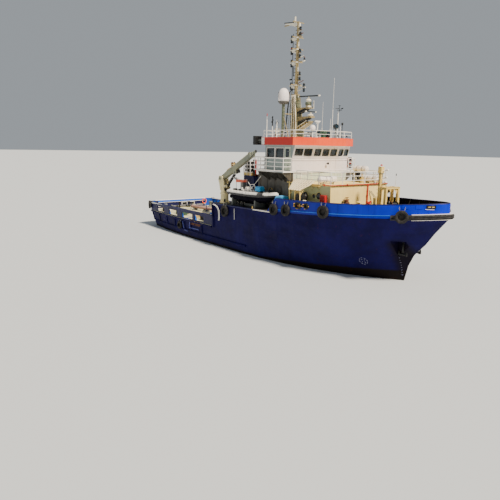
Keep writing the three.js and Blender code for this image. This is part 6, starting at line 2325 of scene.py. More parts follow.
    def lights(self) -> None:
        """Stands the searchlights, the compass, horns and floodlights."""
        form = Form(BLACK)
        for x, y, z, size in ((6.6, 1.57, 11.8, 0.24), (6.5, 0.77, 11.21, 0.2), (6.6, -0.55, 11.25, 0.16)):
            form.of(GREY).rod((x, y, self.deck), (x, y, z - size * 0.7), 0.06, 0.05)
            form.bar((x, y - size, z - size * 0.8), (x, y + size, z - size * 0.8), 0.07, 0.04, 0.01)
            for way in (-1, 1):
                form.bar(
                    (x, y + way * size, z - size * 0.8), (x, y + way * size, z + 0.04), 0.06, 0.03, 0.006,
                    ABEAM)
            form.of(BLACK).turned(
                [(0, -size), (size * 0.6, -size * 0.92), (size * 0.86, -size * 0.5), (size * 0.9, size * 0.7),
                 (size * 0.8, size * 0.7), (0, size * 0.3)],
                (x, y, z), (1, -0.25, 0.05), 26)
            form.of(GLASS).turned([(0, size * 0.5), (size * 0.78, size * 0.56), (size * 0.78, size * 0.62),
                                   (0, size * 0.66)], (x, y, z), (1, -0.25, 0.05), 24)
        # The standard compass: a binnacle with its hood and spheres, dark green in the shade.
        form.of(GREEN).turned(
            [(0, 0), (0.26, 0), (0.22, 0.08), (0.2, 0.34), (0.26, 0.4), (0.3, 0.46), (0.28, 0.6), (0.12, 0.7),
             (0, 0.72)],
            (6.6, 0.1, self.deck), segments=28)
        for y in (-0.24, 0.44):
            form.of(GREEN).ball((6.6, y, 11.16), 0.1, 14)
        form.of(BLACK).block((6.3, 0.62, self.deck + 0.1), (6.7, 0.98, self.deck + 0.34), 0.03)
        form.rod((6.6, 2.4, self.deck), (6.6, 2.4, 12.0), 0.03, segments=10)
        form.block((6.53, 2.32, 11.94), (6.67, 2.48, 12.16), 0.03)
        for x, y, aim in (
                (7.3, -1.2, (1, -0.2, -0.4)), (7.3, 1.2, (1, 0.2, -0.4)), (6.5, -3.2, (0.6, -1, -0.5)),
                (6.5, 3.2, (0.6, 1, -0.5)), (2.75, -2.2, (-1, -0.2, -0.5)), (2.75, 2.2, (-1, 0.2, -0.5))):
            self.lamp(form, (x, y, 11.0), aim, 0.1)
            form.of(GALVANISED).rod((x, y, self.deck), (x, y, 10.88), 0.02, segments=8)
        form.of(BLACK)
        for y in (-1.12, -0.9, -0.68):
            form.turned([(0, 0), (0.03, 0), (0.04, 0.3), (0.09, 0.5), (0.12, 0.55), (0.1, 0.55), (0, 0.35)],
                        (5.4, y, 11.1), (1, 0, 0.05), 18)
        form.of(GREY).rod((5.45, -0.9, self.deck), (5.45, -0.9, 11.1), 0.03)
        form.bar((5.45, -1.2, 11.07), (5.45, -0.6, 11.07), 0.06, 0.04, 0.01)
        form.made("roof_lights_and_compass", slot="black")
        # The dark cased lamp at the after corner: a grid over its front.
        form = Form(BLACK)
        form.block((1.4, -3.74, 10.09), (1.78, -2.99, 10.88), 0.03)
        for k in range(1, 7):
            z = 10.09 + 0.79 * k / 7
            form.bar((1.79, -3.7, z), (1.79, -3.03, z), 0.02, 0.014, 0.003)
            form.bar((1.36, -3.7, z), (1.36, -3.03, z), 0.05, 0.014, 0.003)
            y = -3.74 + 0.75 * k / 7
            form.bar((1.79, y, 10.12), (1.79, y, 10.85), 0.014, 0.02, 0.003, AHEAD)
        form.of(GREY).bar((1.7, -3.35, 10.5), (2.58, -3.35, 10.5), 0.14, 0.16, 0.02)
        form.bar((1.7, -3.35, 10.3), (2.58, -3.35, 10.42), 0.06, 0.06, 0.01)
        form.made("roof_lamp_case", slot="black", replaces=["roof_lamp_box"])

    def build(self) -> None:
        """Sets out the roof."""
        self.fascia()
        self.aerials()
        self.lights()


# Mast


@dataclass
class Mast(Fittings):
    """The mast over the bridge: pipes, step irons, lanterns, aerials, the cables aft of it and the ladder."""

    pole: float = 2.9
    # Height of each yard, and the place of its after end.
    yards: tuple[tuple[float, float], ...] = ((19.6, 2.0), (18.6, 2.0), (17.5, 2.0), (15.5, 2.0))
    # Height, after side, forward side and half breadth of the tower.
    tower: tuple[tuple[float, float, float, float], ...] = (
        (10.9, 2.745, 3.72, 0.45), (12.3, 2.745, 3.52, 0.38), (14.7, 2.6, 3.1, 0.26))
    # Place and height of the foot of each lantern that stands on the yards' ends or on the pole's fore side.
    lanterns: tuple[tuple[float, float], ...] = (
        (3.2, 20.2), (3.2, 19.75), (3.24, 18.3), (3.24, 17.85), (3.28, 16.35), (3.3, 15.9), (3.93, 15.28),
        (2.05, 19.66), (2.07, 18.66), (2.1, 17.56), (2.12, 15.56))
    # The same for those that hang.
    hanging: tuple[tuple[float, float], ...] = ((2.05, 19.55), (2.08, 18.54), (2.12, 17.45), (2.14, 15.44),
                                                (3.93, 15.14))

    def section(self, z: float) -> tuple[float, float, float]:
        """The tower's after side, forward side and half breadth at a height.

        Args:
            z: the height.

        Returns:
            The after side, the forward side and half the breadth.
        """
        for low, high in zip(self.tower, self.tower[1:]):
            if z <= high[0]:
                t = max(0.0, (z - low[0]) / (high[0] - low[0]))
                return tuple(a + (b - a) * t for a, b in zip(low[1:], high[1:]))
        return self.tower[-1][1:]

    def cladding(self) -> None:
        """Runs pipes and stiffeners up the tower, and bands round it."""
        form = Form(MAST_WHITE)
        # The forward face is a plain grey-olive plate.
        rows = []
        for z in (10.9, 12.3, 14.6):
            _, x1, half = self.section(z)
            rows.append(
                [(x1 - 0.01, -half * 0.86, z), (x1 + 0.012, -half * 0.86, z), (x1 + 0.012, half * 0.86, z),
                 (x1 - 0.01, half * 0.86, z)])
        form.of(POST_GREEN).skin(rows)
        form.of(MAST_WHITE)
        heights = (10.75, 11.6, 12.3, 13.5, 14.62)
        for side in SIDES.values():
            for share, radius in ((0.12, 0.045), (0.5, 0.035), (0.88, 0.045)):
                path = []
                for z in heights:
                    x0, x1, half = self.section(z)
                    path.append((x0 + (x1 - x0) * share, side * (half + radius * 0.7), z))
                form.pipe(path, radius, 10)
        form.of(MAST_CREAM)
        for z in (11.3, 12.3, 13.3, 14.25):
            x0, x1, half = self.section(z)
            ring = [(x0 - 0.02, -half - 0.02, z), (x1 + 0.02, -half - 0.02, z), (x1 + 0.02, half + 0.02, z),
                    (x0 - 0.02, half + 0.02, z)]
            form.pipe(ring, 0.03, 4, closed=True)
        # The forward face's ladder.
        top, low = self.section(14.5), self.section(12.4)
        self.ladder(form, (low[1] + 0.12, 0.0, 12.4), (top[1] + 0.12, 0.0, 14.6), ABEAM, 0.34)
        form.made("mast_pipes_and_bands", slot="cream")

    def steps(self) -> None:
        """Welds step irons up the pole, collars where the yards cross, and gussets under the after arms."""
        form = Form(SHADE)
        for k in range(20):
            z = 14.85 + k * 0.3
            r = 0.17 - 0.06 * (z - 14.6) / 6.35
            form.bar((self.pole - r + 0.02, 0, z), (self.pole - r - 0.16, 0, z), 0.16, 0.05, 0.008)
        form.of(MAST_WHITE)
        for z, aft in self.yards:
            form.plate([(aft - 0.05, 0.075), (self.pole + 0.1, 0.075), (self.pole + 0.1, -0.34),
                        (self.pole - 0.1, -0.34), (aft, -0.12)], (0, 0.06, z), AHEAD, UP, 0.12)
            form.turned(
                [(0.13, -0.05), (0.18, -0.05), (0.18, 0.05), (0.13, 0.05)], (self.pole, 0, z), segments=20,
                loop=True)
        for z in (20.1, 19.05, 16.9, 15.05):
            form.bar((self.pole + 0.12, 0, z - 0.2), (self.pole + 0.12, 0, z + 0.2), 0.1, 0.08, 0.02, AHEAD)
        # Arms that slope up and forward, with what they carry.
        form.bar((3.0, 0, 15.5), (4.15, 0, 15.22), 0.07, 0.07)
        form.bar((3.0, 0, 14.95), (3.95, 0, 15.22), 0.06, 0.06)
        form.bar((3.0, 0, 17.85), (3.75, 0, 17.95), 0.06, 0.07)
        form.bar((3.6, 0, 17.5), (3.92, 0, 17.52), 0.12, 0.09)
        form.of(RUSTED).bar((3.0, 0, 19.85), (3.6, 0, 19.9), 0.06, 0.06)
        form.bar((3.7, 0, 17.98), (3.95, 0, 17.72), 0.05, 0.05)
        form.bar((3.05, 0, 15.62), (3.85, 0, 15.85), 0.05, 0.05)
        form.made("mast_steps_and_arms", slot="cream")

    def head(self) -> None:
        """Builds the masthead: the white gusset and rod, and the dark bar aerial that points aft."""
        form = Form(MAST_WHITE)
        form.plate([(1.06, 21.07), (2.95, 20.87), (3.12, 20.8), (3.14, 20.42), (2.95, 20.38), (2.1, 20.74),
                    (1.1, 21.0)], (0, 0.05, 0), AHEAD, UP, 0.1)
        form.rod((2.45, 0, 20.9), (2.45, 0, 21.44), 0.085, 0.075)
        form.of(BLACK).bar((0.94, 0, 21.15), (2.86, 0, 20.91), 0.08, 0.08, 0.01)
        form.made("masthead_aerials", slot="cream")

    def lights(self) -> None:
        """Stands and hangs the lanterns, with the cable pipe that joins the after ones."""
        form = Form(BLACK)
        for number, (x, z) in enumerate(self.lanterns):
            lens = Lens.RED if number == 8 else Lens.CLEAR
            small = x < 2.2
            self.lantern(form, (x, 0, z), lens, 0.09 if small else 0.12, 0.26 if small else 0.32)
            if 3.1 < x < 3.5:
                form.of(MAST_CREAM).bar((self.pole, 0, z - 0.02), (x + 0.08, 0, z - 0.02), 0.16, 0.04)
        for x, z in self.hanging:
            self.lantern(form, (x, 0, z), Lens.CLEAR, axis=(0, 0, -1))
        self.lantern(form, (3.86, 0, 17.58), Lens.CLEAR, 0.09, 0.22)
        form.of(BLACK)
        form.pipe(
            rounded(
                [(2.26, 0, 20.0), (2.26, 0, 16.0), (2.42, 0, 15.4), (2.45, -0.2, 14.4), (2.58, -0.3, 12.0),
                 (2.64, -0.3, 10.75)],
                0.3),
            0.03, 8)
        form.pipe([(2.18, 0.08, 19.9), (2.2, 0.08, 15.6)], 0.018, 6)
        for z, _ in self.yards:
            form.bar((2.1, 0, z + 0.02), (2.3, 0.1, z + 0.02), 0.06, 0.03)
        # A thin pipe and a bar on the cable's run.
        form.of(BLACK).rod((2.45, 0, 16.3), (2.45, 0, 17.2), 0.035, segments=10)
        form.bar((2.1, 0, 17.26), (2.62, 0, 17.26), 0.06, 0.06)
        form.block((1.95, -0.06, 16.0), (2.2, 0.06, 16.12), 0.02)
        form.made("mast_lanterns_and_cables", slot="black")

    def arm(self, x: float) -> float:
        """The lower arm's height at a place along the ship."""
        return 11.25 + (x - 3.1) * 0.444

    def platforms(self) -> None:
        """Finishes the platforms that the scanners stand on, and the dark ribbed arm under them."""
        form = Form(MAST_CREAM)
        for x, z, foot in ((4.65, 14.21, 13.41), (4.95, 12.86, 12.62)):
            if z > 13:
                # The larger scanner's motor: a round white gearbox over a green-grey case.
                form.of(MAST_CREAM).block((x - 0.2, -0.2, foot), (x + 0.2, 0.2, foot + 0.24), 0.04)
                form.of(MAST_WHITE).block((x - 0.05, -0.21, foot + 0.02), (x + 0.22, 0.21, foot + 0.18), 0.03)
                form.of(POST_GREEN).block((x - 0.25, -0.24, foot + 0.24), (x + 0.18, 0.24, foot + 0.5), 0.05)
                form.of(MAST_WHITE).turned(
                    [(0, 0), (0.17, 0), (0.24, 0.08), (0.25, 0.16), (0.18, 0.25), (0.12, 0.28), (0, 0.28)],
                    (x, 0, z - 0.292), segments=28)
            else:
                form.of(BLACK).turned([(0, 0), (0.12, 0), (0.16, 0.05), (0, 0.05)], (x, 0, foot), segments=24)
                form.of(MAST_WHITE).turned(
                    [(0, 0), (0.17, 0), (0.26, 0.07), (0.27, 0.13), (0.18, 0.18), (0, 0.19)],
                    (x, 0, z - 0.202), segments=28)
            form.of(MAST_CREAM)
            for side in SIDES.values():
                form.bar(
                    (2.9, side * 0.24, foot - 0.03), (x + 0.27, side * 0.24, foot - 0.03), 0.04, 0.14, 0.01)
            form.bar((x + 0.28, -0.25, foot - 0.03), (x + 0.28, 0.25, foot - 0.03), 0.04, 0.14, 0.01)
            # Knees under the platform, dark in their own shade.
            for y in (-0.2, 0.0, 0.2):
                form.of(SHADE).bar((2.95, y, foot - 0.58), (x - 0.1, y, foot - 0.12), 0.03, 0.12, 0.006)
        form.of(BLACK).bar((3.1, -0.24, 12.93), (4.55, -0.24, 13.3), 0.05, 0.2, 0.01)
        # The lower arm: pale stiles along its two edges, with dark slots between yellowed ribs.
        for side in SIDES.values():
            form.of(YELLOWED)
            for k in range(5):
                x = 3.62 + k * 0.29
                z = self.arm(x)
                form.bar(
                    (x, side * 0.31, z + 0.02), (x, side * 0.31, z + 0.27), 0.15, 0.03, 0.006, (0, side, 0))
            form.of(BLACK)
            for k in range(4):
                x = 3.765 + k * 0.29
                z = self.arm(x)
                form.bar(
                    (x, side * 0.304, z + 0.04), (x, side * 0.304, z + 0.25), 0.1, 0.012, 0.003, (0, side, 0))
            form.of(MAST_WHITE).bar((3.4, side * 0.31, 11.7), (4.78, side * 0.31, 12.27), 0.05, 0.06, 0.01)
            form.bar((3.6, side * 0.31, 11.47), (4.9, side * 0.31, 12.05), 0.05, 0.05, 0.01)
            form.of(SHADE).bar((4.6, side * 0.31, 12.2), (5.05, side * 0.31, 12.2), 0.04, 0.12, 0.01)
        form.made("radar_platforms", slot="cream")
        form = Form(MAST_WHITE)
        form.bar((4.9, 0, 13.36), (5.35, 0, 13.32), 0.05, 0.05)
        form.rod((5.32, 0, 13.3), (5.32, 0, 14.02), 0.03, 0.02, 10)
        for z in (13.38, 13.7):
            form.of(BLACK).rod((5.26, 0, z), (5.26, 0, z + 0.16), 0.05)
        form.made("radar_platform_aerial", slot="cream")

    def side_ladder(self) -> None:
        """Leans the thin dark ladder against the tower's after corner, with the cables that follow it."""
        form = Form(GREY)
        for shift in (-0.18, 0.18):
            form.rod((2.78 + shift, -0.98, 10.73), (2.66 + shift, -0.5, 14.9), 0.03, segments=8)
        self.ladder(form, (2.78, -0.98, 10.73), (2.66, -0.5, 14.9), (1, 0.1, 0), 0.36, 0.26)
        form.of(BLACK).pipe(rounded([(2.62, -0.98, 10.73), (2.6, -0.75, 12.8), (2.5, -0.42, 14.95),
                                     (2.6, -0.12, 15.15)], 0.3), 0.045, 8)
        for z in (11.6, 12.9, 14.1):
            t = (z - 10.73) / 4.17
            form.of(GREY).bar((2.77 - 0.1 * t, -0.96 + 0.47 * t, z), (2.74, -0.3, z), 0.04, 0.04)
        form.made("mast_side_ladder", slot="grey")

    def build(self) -> None:
        """Rigs the mast."""
        self.cladding()
        self.steps()
        self.head()
        self.lights()
        self.platforms()
        self.side_ladder()


@dataclass
class Scanners:
    """The two radar scanners: a slotted bar with pale ends, on its turning neck."""

    # Name, place along the ship, height of the neck's foot, length of the bar, its depth and its turn in
    # degrees.
    table: tuple[tuple[str, float, float, float, float, float], ...] = (
        ("main", 4.65, 14.21, 2.3, 0.13, -75), ("small", 4.95, 12.86, 1.3, 0.11, 0))
    half_wide: float = 0.08
    tip: float = 0.13

    def build(self) -> None:
        """Makes each scanner in place of its plain bar."""
        for name, x, z, length, tall, turn in self.table:
            form = Form(MAST_WHITE)
            form.turned(
                [(0, 0), (0.09, 0), (0.085, 0.05), (0.065, 0.08), (0.065, 0.155), (0, 0.155)], (0, 0, z))
            middle, half = upward(z + 0.15 + tall / 2), length / 2
            w, h = self.half_wide, tall / 2
            outline = [
                (-w, -h * 0.5), (-w * 0.7, -h), (w * 0.7, -h), (w, -h * 0.5), (w, h * 0.6), (w * 0.5, h),
                (-w * 0.5, h), (-w, h * 0.6)]
            ends = ((half - self.tip, half - 0.015, 1.0, 0.92), (half - 0.015, half, 0.92, 0.7))
            # Painted shade: the bar's dark middle stands in for the shade on its underside.
            form.of(DARK_PLASTIC).skin([[middle + Vector((a * 0.97, y, b * 0.97)) for a, b in outline]
                                        for y in (-half + self.tip * 0.9, half - self.tip * 0.9)])
            form.of(MAST_WHITE)
            for way in (-1, 1):
                for y0, y1, grow0, grow1 in ends:
                    form.skin([[middle + Vector((a * g, way * y, b * g)) for a, b in outline]
                               for y, g in ((y0, grow0), (y1, grow1))])
            form.of(BLACK)
            for face in (-1, 1):
                form.bar(middle + Vector((face * w * 0.985, -half + 0.2, 0.0)),
                         middle + Vector((face * w * 0.985, half - 0.2, 0.0)), 0.006, tall * 0.3, 0.002)
            placed = Matrix.Translation((x, 0, 0)) @ Matrix.Rotation(math.radians(turn), 4, "Z")
            form.points = [placed @ p for p in form.points]
            form.made(
                f"radar_bar_{name}", f"scanner_{name}", slot="white", replaces=[f"radar_scanner_{name}"])


@dataclass
class Radome(Fittings):
    """The satellite dome: an egg of two mouldings over a skirt, on a post with step irons."""

    x: float = 2.87
    y: float = -1.45
    low: float = 13.72
    foot: float = 10.7203

    def build(self) -> None:
        """Makes the dome in place of the plain one."""
        form = Form(DOME)
        egg = [(0, 0.22), (0.42, 0.22), (0.485, 0.34), (0.5, 0.52), (0.5, 0.66)]
        egg += [(0.5 * math.cos(t) ** 0.85, 0.66 + 0.76 * math.sin(t)) for t in (math.pi / 2 * k / 12
                                                                              for k in range(1, 12))]
        egg.append((0, 1.42))
        form.turned(egg, (self.x, self.y, self.low), segments=48)
        form.of(SHADE).turned([(0, 0), (0.2, 0), (0.33, 0.02), (0.46, 0.19), (0.47, 0.25), (0, 0.25)],
                              (self.x, self.y, self.low), segments=40)
        form.of(GREY).ring((self.x, self.y, self.low + 0.26), UP, 0.468, 0.012, 48, 6)
        form.of(BLACK).ring((self.x, self.y, self.low + 0.66), Vector((-0.62, 0.3, 0.72)), 0.497, 0.02, 56, 6)
        form.of(POST_GREEN).rod(
            (self.x, self.y, self.foot), (self.x, self.y, self.low + 0.02), 0.14, segments=24)
        form.turned([(0, 0), (0.3, 0), (0.3, 0.03), (0.2, 0.05), (0.14, 0.2), (0, 0.2)],
                    (self.x, self.y, self.foot), segments=24)
        for k in range(9):
            z = self.foot + 0.35 + k * 0.3
            form.of(GREY).pipe(
                rounded(
                    [(self.x + 0.1, self.y - 0.1, z), (self.x + 0.22, self.y - 0.14, z),
                     (self.x + 0.22, self.y + 0.14, z), (self.x + 0.1, self.y + 0.1, z)],
                    0.04),
                0.014, 6)
        # A stay down to the deck, a plate aerial on the shell's after side, and the cable down the post.
        form.of(MAST_CREAM).bar(
            (self.x + 0.1, self.y, 12.6), (self.x + 0.75, self.y + 0.1, self.foot), 0.06, 0.06)
        form.bar((self.x, self.y + 0.1, 12.9), (self.x + 0.05, -0.36, 12.9), 0.06, 0.08)
        form.of(BLACK).pipe(
            [(self.x - 0.12, self.y + 0.1, self.low), (self.x - 0.12, self.y + 0.1, self.foot)], 0.025, 8)
        form.block(
            (self.x - 0.66, self.y - 0.12, self.low + 0.2), (self.x - 0.58, self.y + 0.12, self.low + 1.1),
            0.02)
        form.bar((self.x - 0.62, self.y, self.low + 0.3), (self.x - 0.42, self.y, self.low + 0.2), 0.05, 0.04)
        form.made("satellite_dome", slot="white", replaces=["satcom_dome"])


# Boat deck and forecastle


@dataclass
class Canisters:
    """The liferafts in their glass-fibre canisters: two ribbed halves, straps, and a cradle each."""

    deck: float = 7.0
    radius: float = 0.28
    # Name, place, length, height of the middle over the deck, and whether it lies athwartships.
    table: tuple[tuple[str, float, float, float, float, bool], ...] = (
        ("stbd", 9.65, -2.23, 2.0, 0.38, True), ("port", 10.28, 2.5, 1.6, 0.36, False),
        ("aft", 8.8, 2.72, 1.6, 1.15, False))

    def canister(self, form: Form, at: Vector, axis: Vector, length: float) -> None:
        """Moulds one canister with its seam, ribs and straps.

        Args:
            form: the piece it is added to.
            at: its middle.
            axis: its axis.
            length: its length.
        """
        r, half = self.radius, length / 2
        across = Vector(UP).cross(axis)
        profile = [(0, -half), (r * 0.5, -half + 0.015), (r * 0.86, -half + 0.08), (r * 0.98, -half + 0.2)]
        for k in range(3):
            s = -half + 0.26 + k * (length - 0.52) / 2
            profile += [(r * 0.98, s - 0.05), (r, s - 0.03), (r, s + 0.03), (r * 0.98, s + 0.05)]
        profile += [(r * 0.98, half - 0.2), (r * 0.86, half - 0.08), (r * 0.5, half - 0.015), (0, half)]
        form.of(SHELL).turned(profile, at, axis, 36)
        for way in (-1, 1):
            form.bar(at + across * (way * r * 0.985) - axis * (half - 0.16),
                     at + across * (way * r * 0.985) + axis * (half - 0.16), 0.025, 0.035, 0.006)
        form.of(STRAP)
        for s in (-0.3, 0.3):
            form.turned(
                [(r + 0.001, s - 0.025), (r + 0.006, s - 0.025), (r + 0.006, s + 0.025),
                 (r + 0.001, s + 0.025)],
                at, axis, 36, loop=True)

    def build(self) -> None:
        """Makes the canisters and the cradles under them."""
        for name, x, y, length, lift, athwart in self.table:
            axis = Vector(ABEAM) if athwart else Vector(AHEAD)
            across = Vector(UP).cross(axis)
            at = Vector((x, y, self.deck + lift))
            form = Form(SHELL)
            self.canister(form, at, axis, length)
            form.of(GALVANISED)
            for s in (-0.28 * length, 0.28 * length):
                saddle = arc(at + axis * s, across, UP, self.radius + 0.008, 205, 335, 10)
                form.skin(
                    [[p + axis * w + (p - at - axis * s).normalized() * d for w,
                      d in ((-0.04, -0.012), (0.04, -0.012), (0.04, 0.012), (-0.04, 0.012))]
                     for p in saddle])
                for way in (-1, 1):
                    top = at + axis * s + across * (way * 0.2) + upward(-0.2)
                    form.bar(Vector((top.x, top.y, self.deck + 0.001)), top, 0.05, 0.05, 0.008, axis)
                form.bar(at + axis * s - across * 0.21 + upward(0.03 - lift),
                         at + axis * s + across * 0.21 + upward(0.03 - lift), 0.05, 0.05, 0.008)
            form.made(f"liferaft_canister_{name}", slot="white", replaces=[f"liferaft_{name}"])


@dataclass
class Canopy(Fittings):
    """The corrugated glass-fibre awning beside the house, on its pipe posts."""

    inner: float = -3.375
    outer: float = -4.78
    high: float = 7.3
    low: float = 6.56
    pitch: float = 0.3
    wave: float = 0.045
    thick: float = 0.02
    posts: tuple[float, float, float] = (7.9, 8.52, 9.14)
    post_y: float = -4.7
    reel: tuple[float, float, float] = (8.5, -3.72, 5.9)

    def point(self, x: float, t: float, drop: float = 0.0) -> Vector:
        """A point of the sheet: its place along the ship and its share of the way outboard.

        Args:
            x: the place along the ship.
            t: the share of the way outboard.
            drop: how far below the sheet's top face the point lies.

        Returns:
            The point.
        """
        swell = 0.5 + 0.5 * math.cos(FULL_TURN * x / self.pitch)
        rise = self.wave * swell ** 0.6
        return Vector(
            (x, self.inner + (self.outer - self.inner) * t,
             self.high - 0.04 + (self.low - self.high) * t + rise - drop - 0.03 * math.sin(math.pi * t)))

    def build(self) -> None:
        """Makes the sheet, its battens, painted shade in its hollows and the posts, in place of the plain
        awning.
        """
        form = Form(CORRUGATED)
        rows = []
        for k in range(11):
            t = k / 10
            x0, x1 = 6.85 + 0.95 * t, 9.55 - 0.3 * t
            count = 90
            xs = [x0 + (x1 - x0) * i / count for i in range(count + 1)]
            rows.append([self.point(x, t) for x in xs] + [self.point(x, t, self.thick) for x in reversed(xs)])
        form.skin(rows)
        # Painted shade: dark dashes in the hollows stand in for the shadows between the corrugations.
        form.of(RUSTED)
        k = math.ceil(6.95 / self.pitch - 0.5)
        while (k + 0.5) * self.pitch < 9.4:
            x = (k + 0.5) * self.pitch
            end = min(0.98, (x - 6.9) / 0.95 if x < 7.8 else 0.98)
            if x > 9.25:
                end = (9.55 - x) / 0.3
            for n in range(5):
                a = 0.04 + (end - 0.08) * n / 5
                b = a + (end - 0.08) / 5 * 0.72
                p, q = self.point(x, a), self.point(x, b)
                form.bar(p + upward(0.006), q + upward(0.006), 0.075, 0.008, 0.002)
            k += 1
        form.of(CREAM)
        y = self.post_y
        form.pipe([(7.78, y, 6.52), (9.26, y, 6.52)], 0.035, 8)
        form.pipe([(6.9, -3.44, 7.2), (9.5, -3.44, 7.2)], 0.03, 8)
        for x in self.posts:
            foot = (x, y, fore_deck(x) + 0.002)
            form.rod(foot, (x, y, 6.53), 0.045, segments=14)
            form.turned([(0, 0), (0.11, 0), (0.11, 0.02), (0.05, 0.03), (0, 0.03)], foot)
            form.bar((x, y, 6.5), (x, -3.42, 7.18), 0.05, 0.05, 0.01)
            form.bar((x, -4.68, 6.1), (x, -4.25, 6.7), 0.04, 0.04, 0.01)
        for x in self.posts[:2]:
            form.bar((x, y, 5.5), (x + 0.62, y, 5.5), 0.03, 0.04, 0.008)
        form.made("awning_of_corrugated_sheet", slot="cream", replaces=["awning"], smooth=50)
        self.gear()

    def gear(self) -> None:
        """Stows drums, a hose reel and a rack of lines under the awning."""
        form = Form(RUSTED)
        for x, y, r, tall in ((7.6, -4.45, 0.24, 0.75), (8.2, -4.4, 0.22, 0.8), (8.85, -4.45, 0.2, 0.6)):
            foot = fore_deck(x) + 0.002
            form.of(RUSTED if x > 8 else BLACK).turned(
                [(0, 0), (r, 0), (r + 0.012, 0.02), (r, 0.04), (r, tall / 3), (r + 0.015, tall / 3 + 0.02),
                 (r, tall / 3 + 0.04), (r, tall * 0.66), (r + 0.015, tall * 0.66 + 0.02),
                 (r, tall * 0.66 + 0.04), (r, tall - 0.04), (r + 0.012, tall - 0.02), (r, tall),
                 (r - 0.03, tall - 0.02), (0, tall - 0.02)],
                (x, y, foot), segments=28)
        x, _, z = self.reel
        for radius, thick in ((0.3, 0.07), (0.2, 0.05)):
            form.of(BLACK).ring(self.reel, ABEAM, radius, thick, 30, 8)
        form.of(SHADE).turned(
            [(0, -0.12), (0.34, -0.12), (0.34, -0.1), (0.06, -0.1), (0.06, 0.1), (0.34, 0.1), (0.34, 0.12),
             (0, 0.12)],
            self.reel, ABEAM, 30)
        form.bar((x, -3.37, z), (x, -3.6, z), 0.12, 0.12, 0.02)
        form.of(SHADE).block((7.35, -3.62, 5.2), (7.85, -3.37, 6.1), 0.02)
        form.made("stores_under_the_awning", bevel=0.0)


@dataclass
class Forepart(Fittings):
    """The foremast and the gantry over the windlass: ladder, floodlights, beacon, knees and an aerial."""

    mast: float = 13.28
    top: float = 8.54
    beam_top: float = 7.03

    def build(self) -> None:
        """Fits out the two."""
        form = Form(CREAM)
        foot = fore_deck(self.mast)
        for k in range(10):
            z = foot + 0.4 + k * 0.3
            form.pipe(
                rounded(
                    [(self.mast - 0.10, -0.14, z), (self.mast - 0.24, -0.14, z), (self.mast - 0.24, 0.14, z),
                     (self.mast - 0.10, 0.14, z)],
                    0.04),
                0.013, 6)
        form.block((self.mast - 0.2, -0.2, foot + 0.001), (self.mast + 0.2, 0.2, foot + 0.05), 0.01)
        for side in SIDES.values():
            form.plate(
                [(0.11, 0), (0.3, 0), (0.11, 0.4)], (self.mast, side * 0.01, foot + 0.05), (0, side, 0), UP,
                0.014)
            form.plate([(0.11, 0), (0.3, 0), (0.11, 0.4)], (self.mast, 0.007, foot + 0.05), (side, 0, 0), UP,
                       0.014)
        form.of(SHADE).block((self.mast - 0.19, -0.19, 8.02), (self.mast + 0.19, 0.19, 8.06), 0.01)
        form.of(TRIM_WHITE).turned([(0, 0), (0.2, 0), (0.21, 0.03), (0.15, 0.06), (0, 0.07)],
                                   (self.mast, 0, self.top), segments=24)
        form.of(RED).turned([(0, 0), (0.09, 0), (0.09, 0.05), (0.06, 0.12), (0, 0.13)],
                            (self.mast, 0, self.top + 0.06), segments=18)
        # Arms to starboard with lamps, which show white against the sea.
        form.of(TRIM_WHITE)
        for z, reach in ((8.2, 0.42), (7.62, 0.36), (7.25, 0.3)):
            form.rod((self.mast + 0.1, 0, z), (self.mast + 0.1 + reach, 0.1, z + 0.08), 0.035, segments=10)
            form.block((self.mast + reach, 0.02, z + 0.04), (self.mast + 0.2 + reach, 0.18, z + 0.18), 0.03)
        form.of(BLACK).pipe([(self.mast - 0.08, -0.12, foot + 0.2), (self.mast - 0.08, -0.12, 8.0)], 0.018, 6)
        form.made("foremast_fittings", slot="cream")
        self.gantry()

    def gantry(self) -> None:
        """Edges the gantry's beams with flanges, and adds knees, a lamp and the whip."""
        form = Form(CREAM)
        z = self.beam_top
        for x in (13.9, 14.45):
            for side in SIDES.values():
                y = side * 0.73
                form.bar((x, y, 7.024), (x + 0.001, y + side * 0.001, 7.036), 0.24, 0.24, 0.004)
                form.plate([(0, 0), (-side * 0.4, 0), (0, -0.4)], (x, y - side * 0.1, 6.89), ABEAM, UP, 0.016)
                form.block(
                    (x - 0.14, y - 0.14, fore_deck(x) + 0.001), (x + 0.14, y + 0.14, fore_deck(x) + 0.04),
                    0.008)
            form.bar((x, -0.8, z), (x, 0.8, z), 0.22, 0.02, 0.004)
        form.bar((13.4, 0, z), (13.95, 0, z), 0.18, 0.02, 0.004)
        for side in SIDES.values():
            form.bar((13.85, side * 0.73, z), (14.5, side * 0.73, z), 0.22, 0.02, 0.004)
        form.of(TRIM_WHITE).rod((14.42, 0.42, z), (14.42, 0.42, 7.95), 0.024, 0.016, 8)
        form.of(BLACK).rod((14.42, 0.42, 7.9), (14.42, 0.42, 8.06), 0.035, 0.03, 10)
        self.lamp(form, (14.56, -0.5, 6.72), (1, 0, -0.6), 0.1)
        form.of(CREAM).block((13.5, -1.02, 5.2), (13.8, -0.86, 6.2), 0.02)
        form.made("gantry_fittings", slot="cream")


# Deck machinery


